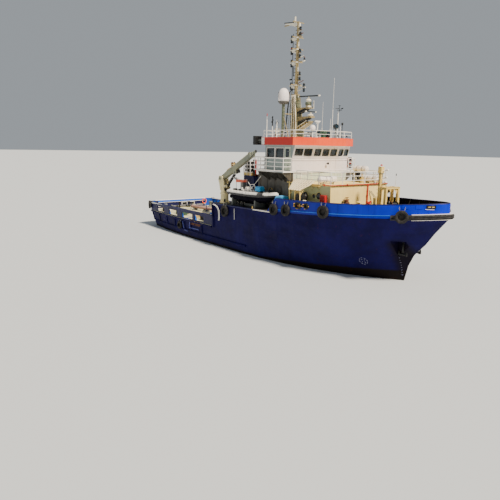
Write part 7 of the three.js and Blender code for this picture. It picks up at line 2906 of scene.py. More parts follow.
def through(corners: Sequence[Point], steps: int = 8) -> list[Vector]:
    """Draws a smooth curve through points, with knots spaced by the root of their distance.

    Args:
        corners: the points it passes.
        steps: the pieces between two of them.

    Returns:
        Points along the curve.
    """
    given = [Vector(p) for p in corners]
    line = [given[0] * 2 - given[1], *given, given[-1] * 2 - given[-2]]
    out = [given[0]]
    for a, b, c, d in zip(line, line[1:], line[2:], line[3:]):
        t1 = (b - a).length ** 0.5
        t2 = t1 + (c - b).length ** 0.5
        t3 = t2 + (d - c).length ** 0.5
        for k in range(1, steps + 1):
            t = t1 + (t2 - t1) * k / steps
            ab, bc, cd = a.lerp(b, t / t1), b.lerp(c, (t - t1) / (t2 - t1)), c.lerp(d, (t - t2) / (t3 - t2))
            abc, bcd = ab.lerp(bc, t / t2), bc.lerp(cd, (t - t1) / (t3 - t1))
            out.append(abc.lerp(bcd, (t - t1) / (t2 - t1)))
    return out


@dataclass(frozen=True)
class Winch:
    """One winch's sizes: its drum lies athwartships between two cheeks."""

    name: str
    body: str
    drum: str
    x: float
    z: float
    foot: float
    half: float
    cheek: float
    long: float
    tall: float
    flange: float
    barrel: float
    wound: float
    rope: float
    line: Finish


@dataclass
class Winches:
    """The tow winch and the windlass: drums with their rope, brakes, motors, guards and bolts."""

    table: tuple[Winch, ...] = (
        Winch(
            "tow_winch", "tow_drum", "tow_winch_drum", -5.3, 2.9, 2.0003, 0.9, 0.12, 0.9, 1.35, 0.46, 0.26,
            0.39, 0.052, STEEL),
        Winch(
            "windlass", "anchor_drum", "windlass_drum", 14.57, 5.64, 4.7, 0.4, 0.1, 0.42, 1.15, 0.33, 0.18,
            0.26, 0.05, BLACK))

    def drum(self, winch: Winch) -> None:
        """Turns a drum with its flanges and hub, and winds its rope.

        Args:
            winch: the winch's sizes.
        """
        form = Form(GREY if winch.name == "tow_winch" else BLACK)
        h, f, b = winch.half - 0.006, winch.flange, winch.barrel
        at = Vector((winch.x, 0, winch.z))
        across = Vector(ABEAM)
        profile = [(0, -h), (f - 0.012, -h), (f, -h + 0.012), (f, -h + 0.048), (f - 0.012, -h + 0.06),
                   (b, -h + 0.06)]
        profile += [(r, -s) for r, s in reversed(profile)]
        form.turned(profile, at, across, 56)
        for way in (-1, 1):
            for k in range(8):
                a = FULL_TURN * k / 8
                away = Vector((math.cos(a), 0, math.sin(a)))
                form.bar(at + across * (way * (h - 0.075)) + away * (winch.wound + 0.01),
                         at + across * (way * (h - 0.075)) + away * (f - 0.02), 0.03, 0.03, 0.006, across)
        # The rope: a filled core and its outer layer, which is wound as a true helix.
        r, length = winch.rope / 2, 2 * h - 0.2
        form.of(winch.line).turned(
            [(b - 0.01, -length / 2), (winch.wound - r * 1.4, -length / 2),
             (winch.wound - r * 1.4, length / 2), (b - 0.01, length / 2)],
            at, across, 40)
        turns = int(length / winch.rope)
        coil = []
        for k in range(turns * 20 + 1):
            a = FULL_TURN * k / 20
            coil.append(at + across * (-length / 2 + r + (length - 2 * r) * k / (turns * 20))
                        + Vector((math.cos(a), 0, math.sin(a))) * (winch.wound - r))
        form.pipe(coil, r, 6)
        form.made(f"{winch.name}_wound_drum", winch.body, replaces=[winch.drum])

    def frame(self, winch: Winch) -> None:
        """Adds the brake bands, ribs, a guard bar, the handwheel and bolts to the winch's frame.

        Args:
            winch: the winch's sizes.
        """
        form = Form(GREY if winch.name == "tow_winch" else BLACK)
        outer = winch.half + winch.cheek
        top = winch.foot + winch.tall
        for way in (-1, 1):
            face = way * outer
            bearing = Vector((winch.x, face, winch.z))
            form.turned(
                [(0, 0), (winch.barrel * 0.8, 0), (winch.barrel * 0.8, 0.03), (winch.barrel * 0.62, 0.06),
                 (winch.barrel * 0.3, 0.075), (0, 0.08)],
                bearing, (0, way, 0), 28)
            for k in (-0.36, 0.36):
                x = winch.x + k * winch.long
                form.bar(
                    (x, face + way * 0.03, winch.foot + 0.12), (x, face + way * 0.03, top - 0.1), 0.03, 0.06,
                    0.006, ABEAM)
            form.of(STEEL)
            spots = [bearing + Vector((math.cos(a), 0, math.sin(a))) * (winch.barrel * 0.7)
                     for a in (FULL_TURN * k / 8 for k in range(8))]
            bolts(form, [p + Vector((0, way * 0.03, 0)) for p in spots], (0, way, 0), 0.02)
            bolts(form, [(winch.x + a, way * (outer + 0.045), winch.foot + 0.42) for a in (-0.4, 0.4)
                         if winch.name == "tow_winch"], UP, 0.024)
            form.of(GREY if winch.name == "tow_winch" else BLACK)
        # Brake band over one flange, on its anchor rods.
        for way in (-1,):
            y = way * (winch.half - 0.036)
            band = arc((winch.x, y, winch.z), AHEAD, UP, winch.flange + 0.022, -40, 220, 30)
            form.of(RUSTED).skin(
                [[p + Vector((0, w, 0)) + (p - Vector((winch.x, y, winch.z))).normalized() * d for w,
                  d in ((-0.026, -0.008), (0.026, -0.008), (0.026, 0.008), (-0.026, 0.008))]
                 for p in band])
            for p in (band[0], band[-1]):
                form.bar(p, (p.x, y, winch.foot + 0.2), 0.03, 0.03, 0.006, AHEAD)
        form.of(STEEL)
        form.rod(
            (winch.x - winch.long * 0.42, -winch.half, top - 0.06),
            (winch.x - winch.long * 0.42, winch.half, top - 0.06), 0.035)
        form.rod(
            (winch.x + winch.long * 0.42, -winch.half, top - 0.06),
            (winch.x + winch.long * 0.42, winch.half, top - 0.06), 0.035)
        wheel = Vector((winch.x + winch.long * 0.3, -outer - 0.16, winch.z + winch.tall * 0.2))
        form.rod(wheel + Vector((0, 0.16, 0)), wheel, 0.02)
        form.ring(wheel, ABEAM, winch.flange * 0.42, 0.016, 28, 6)
        for k in range(3):
            a = FULL_TURN * k / 3
            form.rod(
                wheel, wheel + Vector((math.cos(a), 0, math.sin(a))) * winch.flange * 0.42, 0.01, segments=6)
        form.made(f"{winch.name}_gear", slot="grey" if winch.name == "tow_winch" else "black")

    def build(self) -> None:
        """Builds both winches."""
        for winch in self.table:
            self.drum(winch)
            self.frame(winch)
        # The anchors' chains, from the windlass over the deck to their pipes.
        form = Form(BLACK)
        for side in SIDES.values():
            y = side * 0.28
            chain(form, (14.85, y, 5.45), (15.6, side * 0.5, 5.12), 0.16, 0.02)
            chain(form, (15.6, side * 0.5, 5.12), (16.2, side * 1.3, 5.06), 0.16, 0.02)
            form.turned([(0.24, 0), (0.3, 0), (0.3, 0.1), (0.24, 0.12)], (16.3, side * 1.45, fore_deck(16.3)),
                        segments=28, loop=True)
        form.made("anchor_chains", slot="black")


@dataclass
class Crane(Fittings):
    """The knuckle crane: flanges, ribs, hoses, the reel, the head and hook, and the cylinder's ends."""

    x: float = -2.68
    y: float = -4.1
    rise: float = 26.5
    heel: tuple[float, float] = (-3.05, 6.78)
    luff_foot: tuple[float, float] = (-2.12, 6.08)
    luff_head: tuple[float, float] = (-0.715, 7.475)
    deep: float = 0.235

    def on_boom(self, s: float, above: float, across: float = 0.0) -> Vector:
        """A point by its distance along the boom, above it and across it."""
        c, k = math.cos(math.radians(self.rise)), math.sin(math.radians(self.rise))
        return Vector((self.heel[0] + s * c - above * k, self.y + across, self.heel[1] + s * k + above * c))

    def collar(self, form: Form, s: float, wide: float, tall: float, long: float = 0.05) -> None:
        """Bends a rectangular band round the boom, given half its width and depth.

        Args:
            form: the piece it is added to.
            s: the distance along the boom.
            wide: half the band's width.
            tall: half its depth.
            long: its length along the boom.
        """
        up = self.on_boom(0, 1) - self.on_boom(0, 0)
        for a, b in (((s, tall, -wide), (s, tall, wide)), ((s, -tall, -wide), (s, -tall, wide))):
            form.bar(self.on_boom(*a), self.on_boom(*b), long, 0.024, 0.005, up)
        for way in (-1, 1):
            form.bar(
                self.on_boom(s, -tall, way * wide), self.on_boom(s, tall, way * wide), long, 0.024, 0.005,
                ABEAM)

    def boom(self) -> None:
        """Dresses the boom: collars, hoses, the valve chest, the hose reel and the hanging block."""
        along, up = self.on_boom(1, 0) - self.on_boom(0, 0), self.on_boom(0, 1) - self.on_boom(0, 0)
        shell = Form(BOOM_GREY)
        d = self.deep
        shell.plate(
            [(-0.18, -0.16), (0.1, -d), (1.0, -d - 0.02), (5.4, -d + 0.03), (5.4, d - 0.01), (1.0, d + 0.02),
             (0.3, d), (-0.05, 0.18), (-0.18, 0.06)],
            self.on_boom(0, 0, 0.19), along, up, 0.38)
        for way in (-1, 1):
            shell.plate(
                [(2.05, -d + 0.03), (2.15, -0.46), (2.3, -0.54), (2.5, -0.54), (2.65, -0.46),
                 (2.75, -d + 0.03)],
                self.on_boom(0, 0, way * 0.165 + 0.03), along, up, 0.06)
        shell.made("crane_boom_shell", "boom", replaces=["crane_boom"], bevel=0.012)
        form = Form(BOOM_GREY)
        for s in (0.88, 2.0, 3.2, 4.4, 5.37):
            self.collar(form, s, 0.195, d + (0.025 if s < 3 else 0.01 if s < 5 else 0.0))
        # Painted highlight: cream strips along the boom's top edges, where the edges catch the light.
        form.of(CRANE_CREAM)
        for across in (0.16, -0.16):
            form.bar(
                self.on_boom(0.9, d + 0.022, across), self.on_boom(5.35, d, across), 0.05, 0.02, 0.004, up)
        form.of(BLACK)
        for across in (-0.09, 0.0, 0.09):
            form.pipe(
                rounded(
                    [self.on_boom(0.1, 0.05, 0.24 if across > 0 else -0.24), self.on_boom(0.7, 0.29, across),
                     self.on_boom(1.6, 0.29, across), self.on_boom(5.3, 0.26, across)],
                    0.2),
                0.02, 8)
        for s in (2.9, 3.7, 4.6):
            form.of(BOOM_GREY).bar(
                self.on_boom(s, 0.27, -0.14), self.on_boom(s, 0.27, 0.14), 0.05, 0.06, 0.01, up)
        # The valve chest near the heel, and the reel that takes the hose in.
        form.of(YELLOWED).bar(self.on_boom(1.03, 0.3), self.on_boom(1.75, 0.3), 0.22, 0.12, 0.02, up)
        form.of(PINKED).bar(self.on_boom(1.1, 0.38), self.on_boom(1.5, 0.38), 0.16, 0.07, 0.02, up)
        form.of(MAST_WHITE).bar(self.on_boom(1.55, 0.38), self.on_boom(1.72, 0.38), 0.14, 0.07, 0.02, up)
        reel = self.on_boom(2.28, 0.48, -0.14)
        form.of(RUSTED).turned([(0, 0), (0.22, 0), (0.22, 0.02), (0.09, 0.03), (0.09, 0.25), (0.22, 0.26),
                                (0.22, 0.28), (0, 0.28)], reel, ABEAM, 28)
        for k in range(4):
            form.of(YELLOWED).ring(reel + Vector((0, 0.06 + k * 0.055, 0)), ABEAM, 0.13, 0.027, 28, 6)
        for across in (-0.165, 0.165):
            for s in (1.95, 2.6):
                form.of(CRANE_CREAM).bar(
                    self.on_boom(s, 0.22, across), self.on_boom(2.28, 0.52, across), 0.03, 0.07, 0.008, ABEAM)
        # A chain block that hangs from the boom's underside.
        hang = self.on_boom(3.0, -d)
        form.of(BLACK).ring(hang + upward(-0.07), ABEAM, 0.06, 0.014, 18, 6)
        form.plate([(-0.05, 0), (0.05, 0), (0.17, -0.26), (0.1, -0.34), (-0.1, -0.34), (-0.17, -0.26)],
                   hang + Vector((0, 0.07, -0.12)), AHEAD, UP, 0.14)
        form.of(STEEL)
        for across in (-0.222, 0.222):
            form.turned(
                [(0, 0), (0.13, 0), (0.13, 0.02), (0.06, 0.04), (0, 0.04)], self.on_boom(0, 0, across),
                (0, across, 0), 20)
        for across in (-0.192, 0.192):
            form.turned(
                [(0, 0), (0.1, 0), (0.1, 0.016), (0, 0.02)], self.on_boom(2.4, -0.42, across), (0, across, 0),
                20)
        form.made("crane_boom_fittings", "boom", bevel=0.0)

    def head(self) -> None:
        """Adds the extension's head, its sheave cheeks and the hook, which ride on the extension."""
        form = Form(BLACK)
        up = self.on_boom(0, 1) - self.on_boom(0, 0)
        form.bar(self.on_boom(4.95, 0.3), self.on_boom(5.2, 0.3), 0.2, 0.16, 0.03, up)
        form.of(BOOM_GREY).bar(self.on_boom(5.5, 0.0), self.on_boom(6.05, 0.03), 0.2, 0.24, 0.03, up)
        form.of(BLACK).bar(self.on_boom(5.98, 0.03), self.on_boom(6.14, 0.04), 0.16, 0.2, 0.03, up)
        form.of(STEEL)
        for way in (-1, 1):
            form.turned([(0, 0), (0.13, 0), (0.13, 0.012), (0.05, 0.03), (0, 0.03)],
                        self.on_boom(5.56, -0.12, way * 0.11), (0, way, 0), 24)
        low = self.on_boom(5.56, -0.3)
        form.rod(low, low + upward(-0.25), 0.012, segments=8)
        form.of(BLACK).turned(
            [(0, 0), (0.05, 0.01), (0.07, 0.08), (0.05, 0.16), (0, 0.18)], low + upward(-0.4), segments=16)
        hook = arc(low + upward(-0.5), AHEAD, UP, 0.08, 100, -150, 16)
        form.of(STEEL).pipe([low + upward(-0.38), *hook], 0.022, 8)
        form.made("crane_head_and_hook", "extension")
        shaft = Form(BOOM_GREY)
        self.collar(shaft, 5.44, 0.158, 0.158, 0.03)
        shaft.made("crane_extension_band", "extension")

    def column(self) -> None:
        """Bolts the slewing ring, and adds the column's side plates, hoses and lamp."""
        form = Form(CRANE_CREAM)
        at = (self.x, self.y, 5.3006)
        form.turned([(0.39, 0), (0.45, 0), (0.45, 0.05), (0.39, 0.06)], at, segments=40, loop=True)
        form.of(STEEL)
        ring = [Vector((self.x + 0.425 * math.cos(a), self.y + 0.425 * math.sin(a), 5.352))
                for a in (FULL_TURN * k / 20 for k in range(20))]
        bolts(form, ring, UP, 0.018)
        for way in (-1, 1):
            y = self.y + way * 0.325
            form.of(BOOM_GREY).turned([(0, 0), (0.2, 0), (0.2, 0.02), (0.14, 0.035), (0, 0.035)],
                                      (self.heel[0], y, self.heel[1]), (0, way, 0), 28)
            form.of(STEEL).turned([(0, 0), (0.07, 0), (0.07, 0.02), (0, 0.02)],
                                  (self.heel[0], y + way * 0.035, self.heel[1]), (0, way, 0), 18)
            form.of(CRANE_CREAM).bar((-2.86, y, 5.74), (-2.86, y, 6.5), 0.05, 0.04, 0.008, ABEAM)
        # Hoses up the fore side, and the dark valves among them.
        form.of(BLACK)
        for k, across in enumerate((-0.24, -0.12, 0.12, 0.24)):
            form.pipe(
                through(
                    [(-2.28, self.y + across, 5.4), (-2.24, self.y + across, 5.9),
                     (-2.3, self.y + across * 1.1, 6.45), (-2.55, self.y + across * 1.3, 6.9 + 0.03 * k)]),
                0.024, 8)
        form.block((-2.36, self.y - 0.3, 5.62), (-2.2, self.y - 0.16, 5.86), 0.02)
        form.of(MAST_WHITE).block((-2.34, self.y - 0.32, 6.0), (-2.2, self.y - 0.2, 6.14), 0.02)
        form.of(BLACK).ball((-3.36, self.y, 5.7), 0.09, 14)
        form.bar((-3.3, self.y, 5.7), (-3.05, self.y, 5.7), 0.04, 0.04, 0.008)
        # Control levers on the port side.
        for k in range(5):
            form.rod(
                (-2.7 + k * 0.09, self.y + 0.34, 5.95), (-2.7 + k * 0.09, self.y + 0.46, 6.2), 0.012,
                segments=8)
        form.of(GREY).block((-2.78, self.y + 0.3, 5.8), (-2.26, self.y + 0.42, 5.97), 0.02)
        form.made("crane_column_fittings", "column", bevel=0.0)

    def foot(self) -> None:
        """Adds the pedestal's flange, bolts, vent and gussets, which stay with the ship."""
        form = Form(CRANE_CREAM)
        form.turned(
            [(0.39, 0), (0.46, 0), (0.46, 0.05), (0.39, 0.05)], (self.x, self.y, 5.245), segments=40,
            loop=True)
        form.of(STEEL)
        bolts(form, [Vector((self.x + 0.48 * math.cos(a), self.y + 0.48 * math.sin(a), 4.48))
                     for a in (FULL_TURN * k / 16 for k in range(16))], UP, 0.02)
        view = Vector((0.834, -0.552, 0))
        form.of(BLACK).bar(
            Vector((self.x, self.y, 4.45)) + view * 0.39, Vector((self.x, self.y, 4.78)) + view * 0.39, 0.17,
            0.05, 0.02, view)
        for k in range(4):
            a = FULL_TURN * (k + 0.35) / 4
            away = Vector((math.cos(a), math.sin(a), 0))
            form.of(CRANE_CREAM).plate(
                [(0.39, 0), (0.5, 0), (0.39, 0.35)], (self.x, self.y, 4.481), away, UP, 0.014)
        form.made("crane_pedestal_fittings", bevel=0.0)

    def cylinder(self) -> None:
        """Finishes the luffing cylinder: end cap, gland and hose on the barrel, and the rod's eye."""
        a = Vector((self.luff_foot[0], self.y, self.luff_foot[1]))
        b = Vector((self.luff_head[0], self.y, self.luff_head[1]))
        along = (b - a).normalized()
        form = Form(BLACK)
        form.turned(
            [(0, 0.1), (0.13, 0.1), (0.13, 0.2), (0.118, 0.21), (0.118, 1.56), (0.128, 1.57), (0.128, 1.655),
             (0.1, 1.665), (0.064, 1.665)],
            a, along, 32)
        form.of(STEEL)
        for way in (-1, 1):
            form.turned(
                [(0, 0), (0.11, 0), (0.11, 0.012), (0, 0.012)], a + Vector((0, way * 0.118, 0)), (0, way, 0),
                20)
        out = Vector((-along.z, 0, along.x))
        form.of(BLACK).pipe(
            rounded(
                [a + along * 0.3 + out * 0.11, a + along * 0.3 + out * 0.2, a + along * 1.5 + out * 0.2,
                 a + along * 1.5 + out * 0.11],
                0.06),
            0.018, 8)
        form.made("luff_cylinder_fittings", "luff_barrel")
        form = Form(CHROME)
        form.turned([(0.0605, 1.7), (0.0625, 1.7), (0.0625, 1.78), (0.0605, 1.78)], a, along, 24, loop=True)
        for way in (-1, 1):
            form.of(STEEL).turned(
                [(0, 0), (0.085, 0), (0.085, 0.01), (0, 0.01)], b + Vector((0, way * 0.117, 0)), (0, way, 0),
                18)
        form.made("luff_rod_fittings", "luff_rod")

    def build(self) -> None:
        """Fits out the crane, body by body."""
        self.foot()
        self.column()
        self.boom()
        self.head()
        self.cylinder()


# Boats and covers


@dataclass
class RescueBoat(Fittings):
    """The rescue boat on its cradle: tube, dark hull, console, frame, rack, poles and a covered bundle."""

    y: float = -4.08
    radius: float = 0.22
    tube_z: float = 5.64
    saddles: tuple[float, float] = (-0.52, 3.08)
    # The tube's middle line on one side: place, distance from the boat's middle, and height above its stern.
    plan: tuple[tuple[float, float, float], ...] = (
        (-1.07, 0.64, 0.0), (1.58, 0.64, 0.0), (3.58, 0.58, 0.05), (4.78, 0.38, 0.13), (5.33, 0.0, 0.2))

    def path(self) -> list[Vector]:
        """The tube's middle line, from the starboard stern round the bow to the port one."""
        half = [(x, -y, up) for x, y, up in self.plan]
        other = [(x, y, up) for x, y, up in reversed(self.plan[:-1])]
        return through([(x, self.y + y, self.tube_z + up) for x, y, up in [*half, *other]], 12)

    def tube(self) -> None:
        """Blows up the tube: pale above and dark below as painted shade, with a dark band at X 3.55 to 4.35
        m, end cones, seams and grab lines.
        """
        line = self.path()
        frames = frame_along(line, False)
        count = 24
        form = Form(HYPALON)
        rows = []
        for f in frames:
            rows.append(
                [f @ Vector(
                     (self.radius * math.cos(FULL_TURN * k / count),
                      self.radius * math.sin(FULL_TURN * k / count), 0))
                 for k in range(count)])
        points = [p for row in rows for p in row]
        for r in range(len(rows) - 1):
            for k in range(count):
                m = (k + 1) % count
                middle = (rows[r][k] + rows[r][m] + rows[r + 1][k] + rows[r + 1][m]) / 4
                # Painted shade: the tube's underside takes the dark fabric; so do its faces between X 3.55
                # and 4.35 m.
                low = middle.z < (line[r].z + line[r + 1].z) / 2 - self.radius * 0.3
                patch = 3.55 < middle.x < 4.35
                form.of(DARK_FABRIC if low or patch else HYPALON)
                form.faces.append((r * count + k, r * count + m, (r + 1) * count + m, (r + 1) * count + k))
                form.marks.append(form.mark)
        form.points = points
        ends = ((line[0], line[0] - line[1]), (line[-1], line[-1] - line[-2]))
        for at, axis in ends:
            form.of(DARK_FABRIC).turned(
                [(self.radius, 0), (self.radius * 0.96, 0.03), (self.radius * 0.6, 0.07), (0, 0.085)], at,
                axis, count)
        # Rubbing strip, seams between the chambers, and the grab line in its loops.
        for side in (-1, 1):
            strip = [p + Vector((0, side * self.radius, -0.03)) for p in line if side * (p.y - self.y) > 0.45]
            form.of(DARK_FABRIC).pipe(strip, 0.03, 8)
            xs = [-0.9 + 0.48 * k for k in range(9)]
            for a, b in zip(xs, xs[1:]):
                top = [Vector((a + (b - a) * t, self.y + side * (0.64 + self.radius * 0.75),
                               self.tube_z + self.radius * 0.72 - 0.09 * math.sin(math.pi * t))) for t in
                       (0, 0.25, 0.5, 0.75, 1)]
                form.of(MAST_WHITE).pipe(top, 0.012, 6)
                form.of(DARK_FABRIC).ball(top[0], 0.03, 8)
        for k in (14, 26, 38, 50, 62, 74, 86):
            form.of(GREY).ring(line[k], line[k + 1] - line[k], self.radius + 0.001, 0.008, 28, 4)
        form.made("boat_tube_fabric", replaces=["boat_tube"], smooth=45)
        smoothed("boat_hull_shell", "boat_hull", BOAT_NAVY, angle=22)

    def fittings(self) -> None:
        """Stands the console, seats, lifting frame, rack and poles in the boat."""
        form = Form(GREY)
        y = self.y
        form.block((-0.82, y - 0.3, 5.41), (2.68, y + 0.3, 5.49), 0.02)
        form.of(SHELL).plate([(1.0, 5.48), (1.4, 5.48), (1.4, 5.95), (1.28, 6.22), (1.1, 6.24), (0.98, 6.05)],
                             (0, y + 0.2, 0), AHEAD, UP, 0.4)
        form.of(BLACK).ring((0.92, y, 6.05), (-1, 0, 0.35), 0.15, 0.014, 24, 6)
        form.rod((1.0, y, 6.02), (0.93, y, 6.05), 0.02)
        for x in (0.0, 0.45):
            form.of(DARK_PLASTIC).plate(
                [(-0.14, 5.49), (0.14, 5.49), (0.16, 5.74), (0.16, 5.82), (-0.1, 5.83), (-0.14, 5.95),
                 (-0.17, 5.95), (-0.16, 5.74)],
                (x, y + 0.15, 0), AHEAD, UP, 0.3)
        # The engine at the stern, and white fairings beside it.
        form.of(BLACK).plate(
            [(-1.0, 5.5), (-0.74, 5.5), (-0.72, 5.8), (-0.78, 5.93), (-0.94, 5.95), (-1.02, 5.8)],
            (0, y + 0.19, 0), AHEAD, UP, 0.38)
        form.of(TRIM_WHITE).block((1.0, y - 0.62, 5.9), (1.14, y - 0.5, 6.2), 0.02)
        form.block((1.26, y - 0.62, 5.86), (1.36, y - 0.5, 6.04), 0.02)
        # The lifting frame of white pipe, its diagonal, and the long pole that leans forward.
        for side in SIDES.values():
            form.pipe(
                rounded(
                    [(2.42, y + side * 0.3, 5.5), (2.0, y + side * 0.28, 6.2), (1.86, y + side * 0.24, 6.48),
                     (1.86, y, 6.5)],
                    0.08),
                0.034, 8)
            form.pipe([(1.35, y + side * 0.28, 5.5), (1.95, y + side * 0.28, 6.3)], 0.028, 8)
        form.pipe([(1.66, y - 0.3, 6.72), (2.36, y - 0.32, 6.1)], 0.03, 8)
        form.pipe([(2.1, y - 0.32, 6.1), (3.43, y - 0.2, 7.36)], 0.022, 8)
        form.pipe([(2.0, y - 0.3, 5.5), (2.02, y - 0.3, 6.12)], 0.03, 8)
        form.of(TRIM_WHITE).block((1.94, y - 0.36, 5.95), (2.12, y - 0.24, 6.06), 0.02)
        # The rack over the seats.
        for x, top in ((-0.35, 6.76), (0.6, 6.83)):
            for side in SIDES.values():
                form.of(GALVANISED).rod(
                    (x, y + side * 0.24, 5.49), (x, y + side * 0.24, top), 0.022, segments=10)
        form.made("boat_console_and_frame", slot="grey", replaces=["boat_fittings"])
        # The rack's top: a white frame and board, with orange cloth thrown over its fore part.
        form = Form(TRIM_WHITE)
        for side in SIDES.values():
            form.pipe(
                [(-0.92, y + side * 0.24, 6.97), (-0.42, y + side * 0.24, 6.77),
                 (0.74, y + side * 0.24, 6.85)],
                0.022, 8)
        form.bar((-0.92, y, 6.985), (-0.44, y, 6.8), 0.5, 0.03, 0.008)
        for x, z in ((-0.35, 6.78), (0.6, 6.84)):
            form.bar((x, y - 0.24, z), (x, y + 0.24, z), 0.04, 0.03, 0.006)
        form.made("boat_rack_top", slot="white")
        rows, hang, half = [], 0.25, 0.268
        for i in range(29):
            x = -0.4 + 1.1 * i / 28
            top = 6.81 + 0.065 * i / 28
            row = []
            for j in range(31):
                s = (2 * half + 2 * hang) * j / 30
                fold = 0.012 * math.sin(11 * x + 1.3)
                if s < hang:
                    row.append((x, y - half - fold * (1 - s / hang), top - hang + s))
                elif s > hang + 2 * half:
                    row.append(
                        (x, y + half - fold * (s - hang - 2 * half) / hang, top - (s - hang - 2 * half)))
                else:
                    t = (s - hang - half) / half
                    row.append(
                        (x, y + half * t, top + 0.004 - 0.018 * (1 - t * t) * math.sin(math.pi * i / 28)))
            rows.append(row)
        cloth = Form(ORANGE_CLOTH)
        cloth.skin(rows, around=False, caps=False)
        piece = cloth.made("boat_rack_cloth", slot="orange", smooth=60)

    def covers(self) -> None:
        """Drapes a light blue tarpaulin over the bundle in the bow."""
        heap = Cover("boat_tarpaulin", (3.03, self.y, 6.42), (0.36, 0.3), 5.96, 0.1, 7)
        form = Form(DARK_FABRIC)
        form.block((2.74, self.y - 0.23, 5.5), (3.32, self.y + 0.23, 6.33), 0.08)
        form.made("stowed_bundle")
        heap.build("stowed_bundle")

    def cradle(self) -> None:
        """Pads the cradle's saddles, and lashes the boat down."""
        form = Form(RUBBER)
        for x in self.saddles:
            for side in SIDES.values():
                form.bar((x, self.y + side * 0.1, 4.895), (x, self.y + side * 0.55, 5.1), 0.2, 0.02, 0.004)
        form.of(GREY)
        for x in self.saddles:
            for side in SIDES.values():
                form.bar((x, self.y + side * 0.45, 4.45), (x, self.y + side * 0.6, 4.95), 0.06, 0.06, 0.01)
        # Pale marks on the cradle's beam, and drums beside it.
        form.of(MAST_WHITE)
        for x, z in ((-0.35, 4.86), (0.25, 4.86), (0.62, 4.86)):
            form.block((x, self.y - 0.12, z - 0.16), (x + 0.22, self.y - 0.08, z - 0.08), 0.01)
        form.of(BLACK)
        for x, radius in ((0.2, 0.26), (1.0, 0.3), (1.8, 0.26)):
            form.turned(
                [(0, 0), (radius, 0), (radius, 0.5), (0, 0.5)], (x, self.y + 0.75, fore_deck(x) + 0.001),
                segments=26)
        form.made("boat_cradle_pads")

    def build(self) -> None:
        """Builds the boat."""
        self.tube()
        self.fittings()
        self.covers()
        self.cradle()


@dataclass
class Cover:
    """A tarpaulin over a box: it lies on the top, falls down the sides in folds and ends in a wavy hem."""

    name: str
    middle: tuple[float, float, float]
    half: tuple[float, float]
    hem: float
    fall: float
    folds: int

    def build(self, rests_on: str) -> None:
        """Drapes the tarpaulin over its box.

        Args:
            rests_on: the name of the piece it lies on; it is not used.
        """
        form = Form(TARPAULIN)
        cx, cy, top = self.middle
        a, b = self.half
        rings = 14
        around = 72
        rows = []
        for i in range(1, rings + 1):
            t = i / rings
            row = []
            for k in range(around):
                angle = FULL_TURN * k / around
                c, s = math.cos(angle), math.sin(angle)
                # A rounded rectangle of unit size in that direction.
                edge = 1 / (abs(c) ** 5 + abs(s) ** 5) ** 0.2
                fold = 0.5 + 0.5 * math.sin(self.folds * angle + 0.8 * math.sin(2 * angle))
                if t < 0.6:
                    q = t / 0.6
                    x, y = a * edge * c * q, b * edge * s * q
                    z = top - 0.05 * q ** 4 + 0.02 * math.sin(5 * angle + 3 * q) * q * (1 - q)
                else:
                    q = (t - 0.6) / 0.4
                    out = 1 + (0.02 + self.fall * 0.5 * fold * q) / max(a, b)
                    x, y = a * edge * c * out, b * edge * s * out
                    z = top - 0.05 - (top - 0.05 - self.hem) * q * (1 - 0.08 * fold)
                row.append((cx + x, cy + y, z))
            rows.append(row)
        form.skin(rows, around=True, caps=False)
        base = len(form.points)
        form.points.append(Vector((cx, cy, top)))
        for k in range(around):
            form.faces.append((base, k, (k + 1) % around))
            form.marks.append(form.mark)
        piece = form.made(self.name, smooth=60)


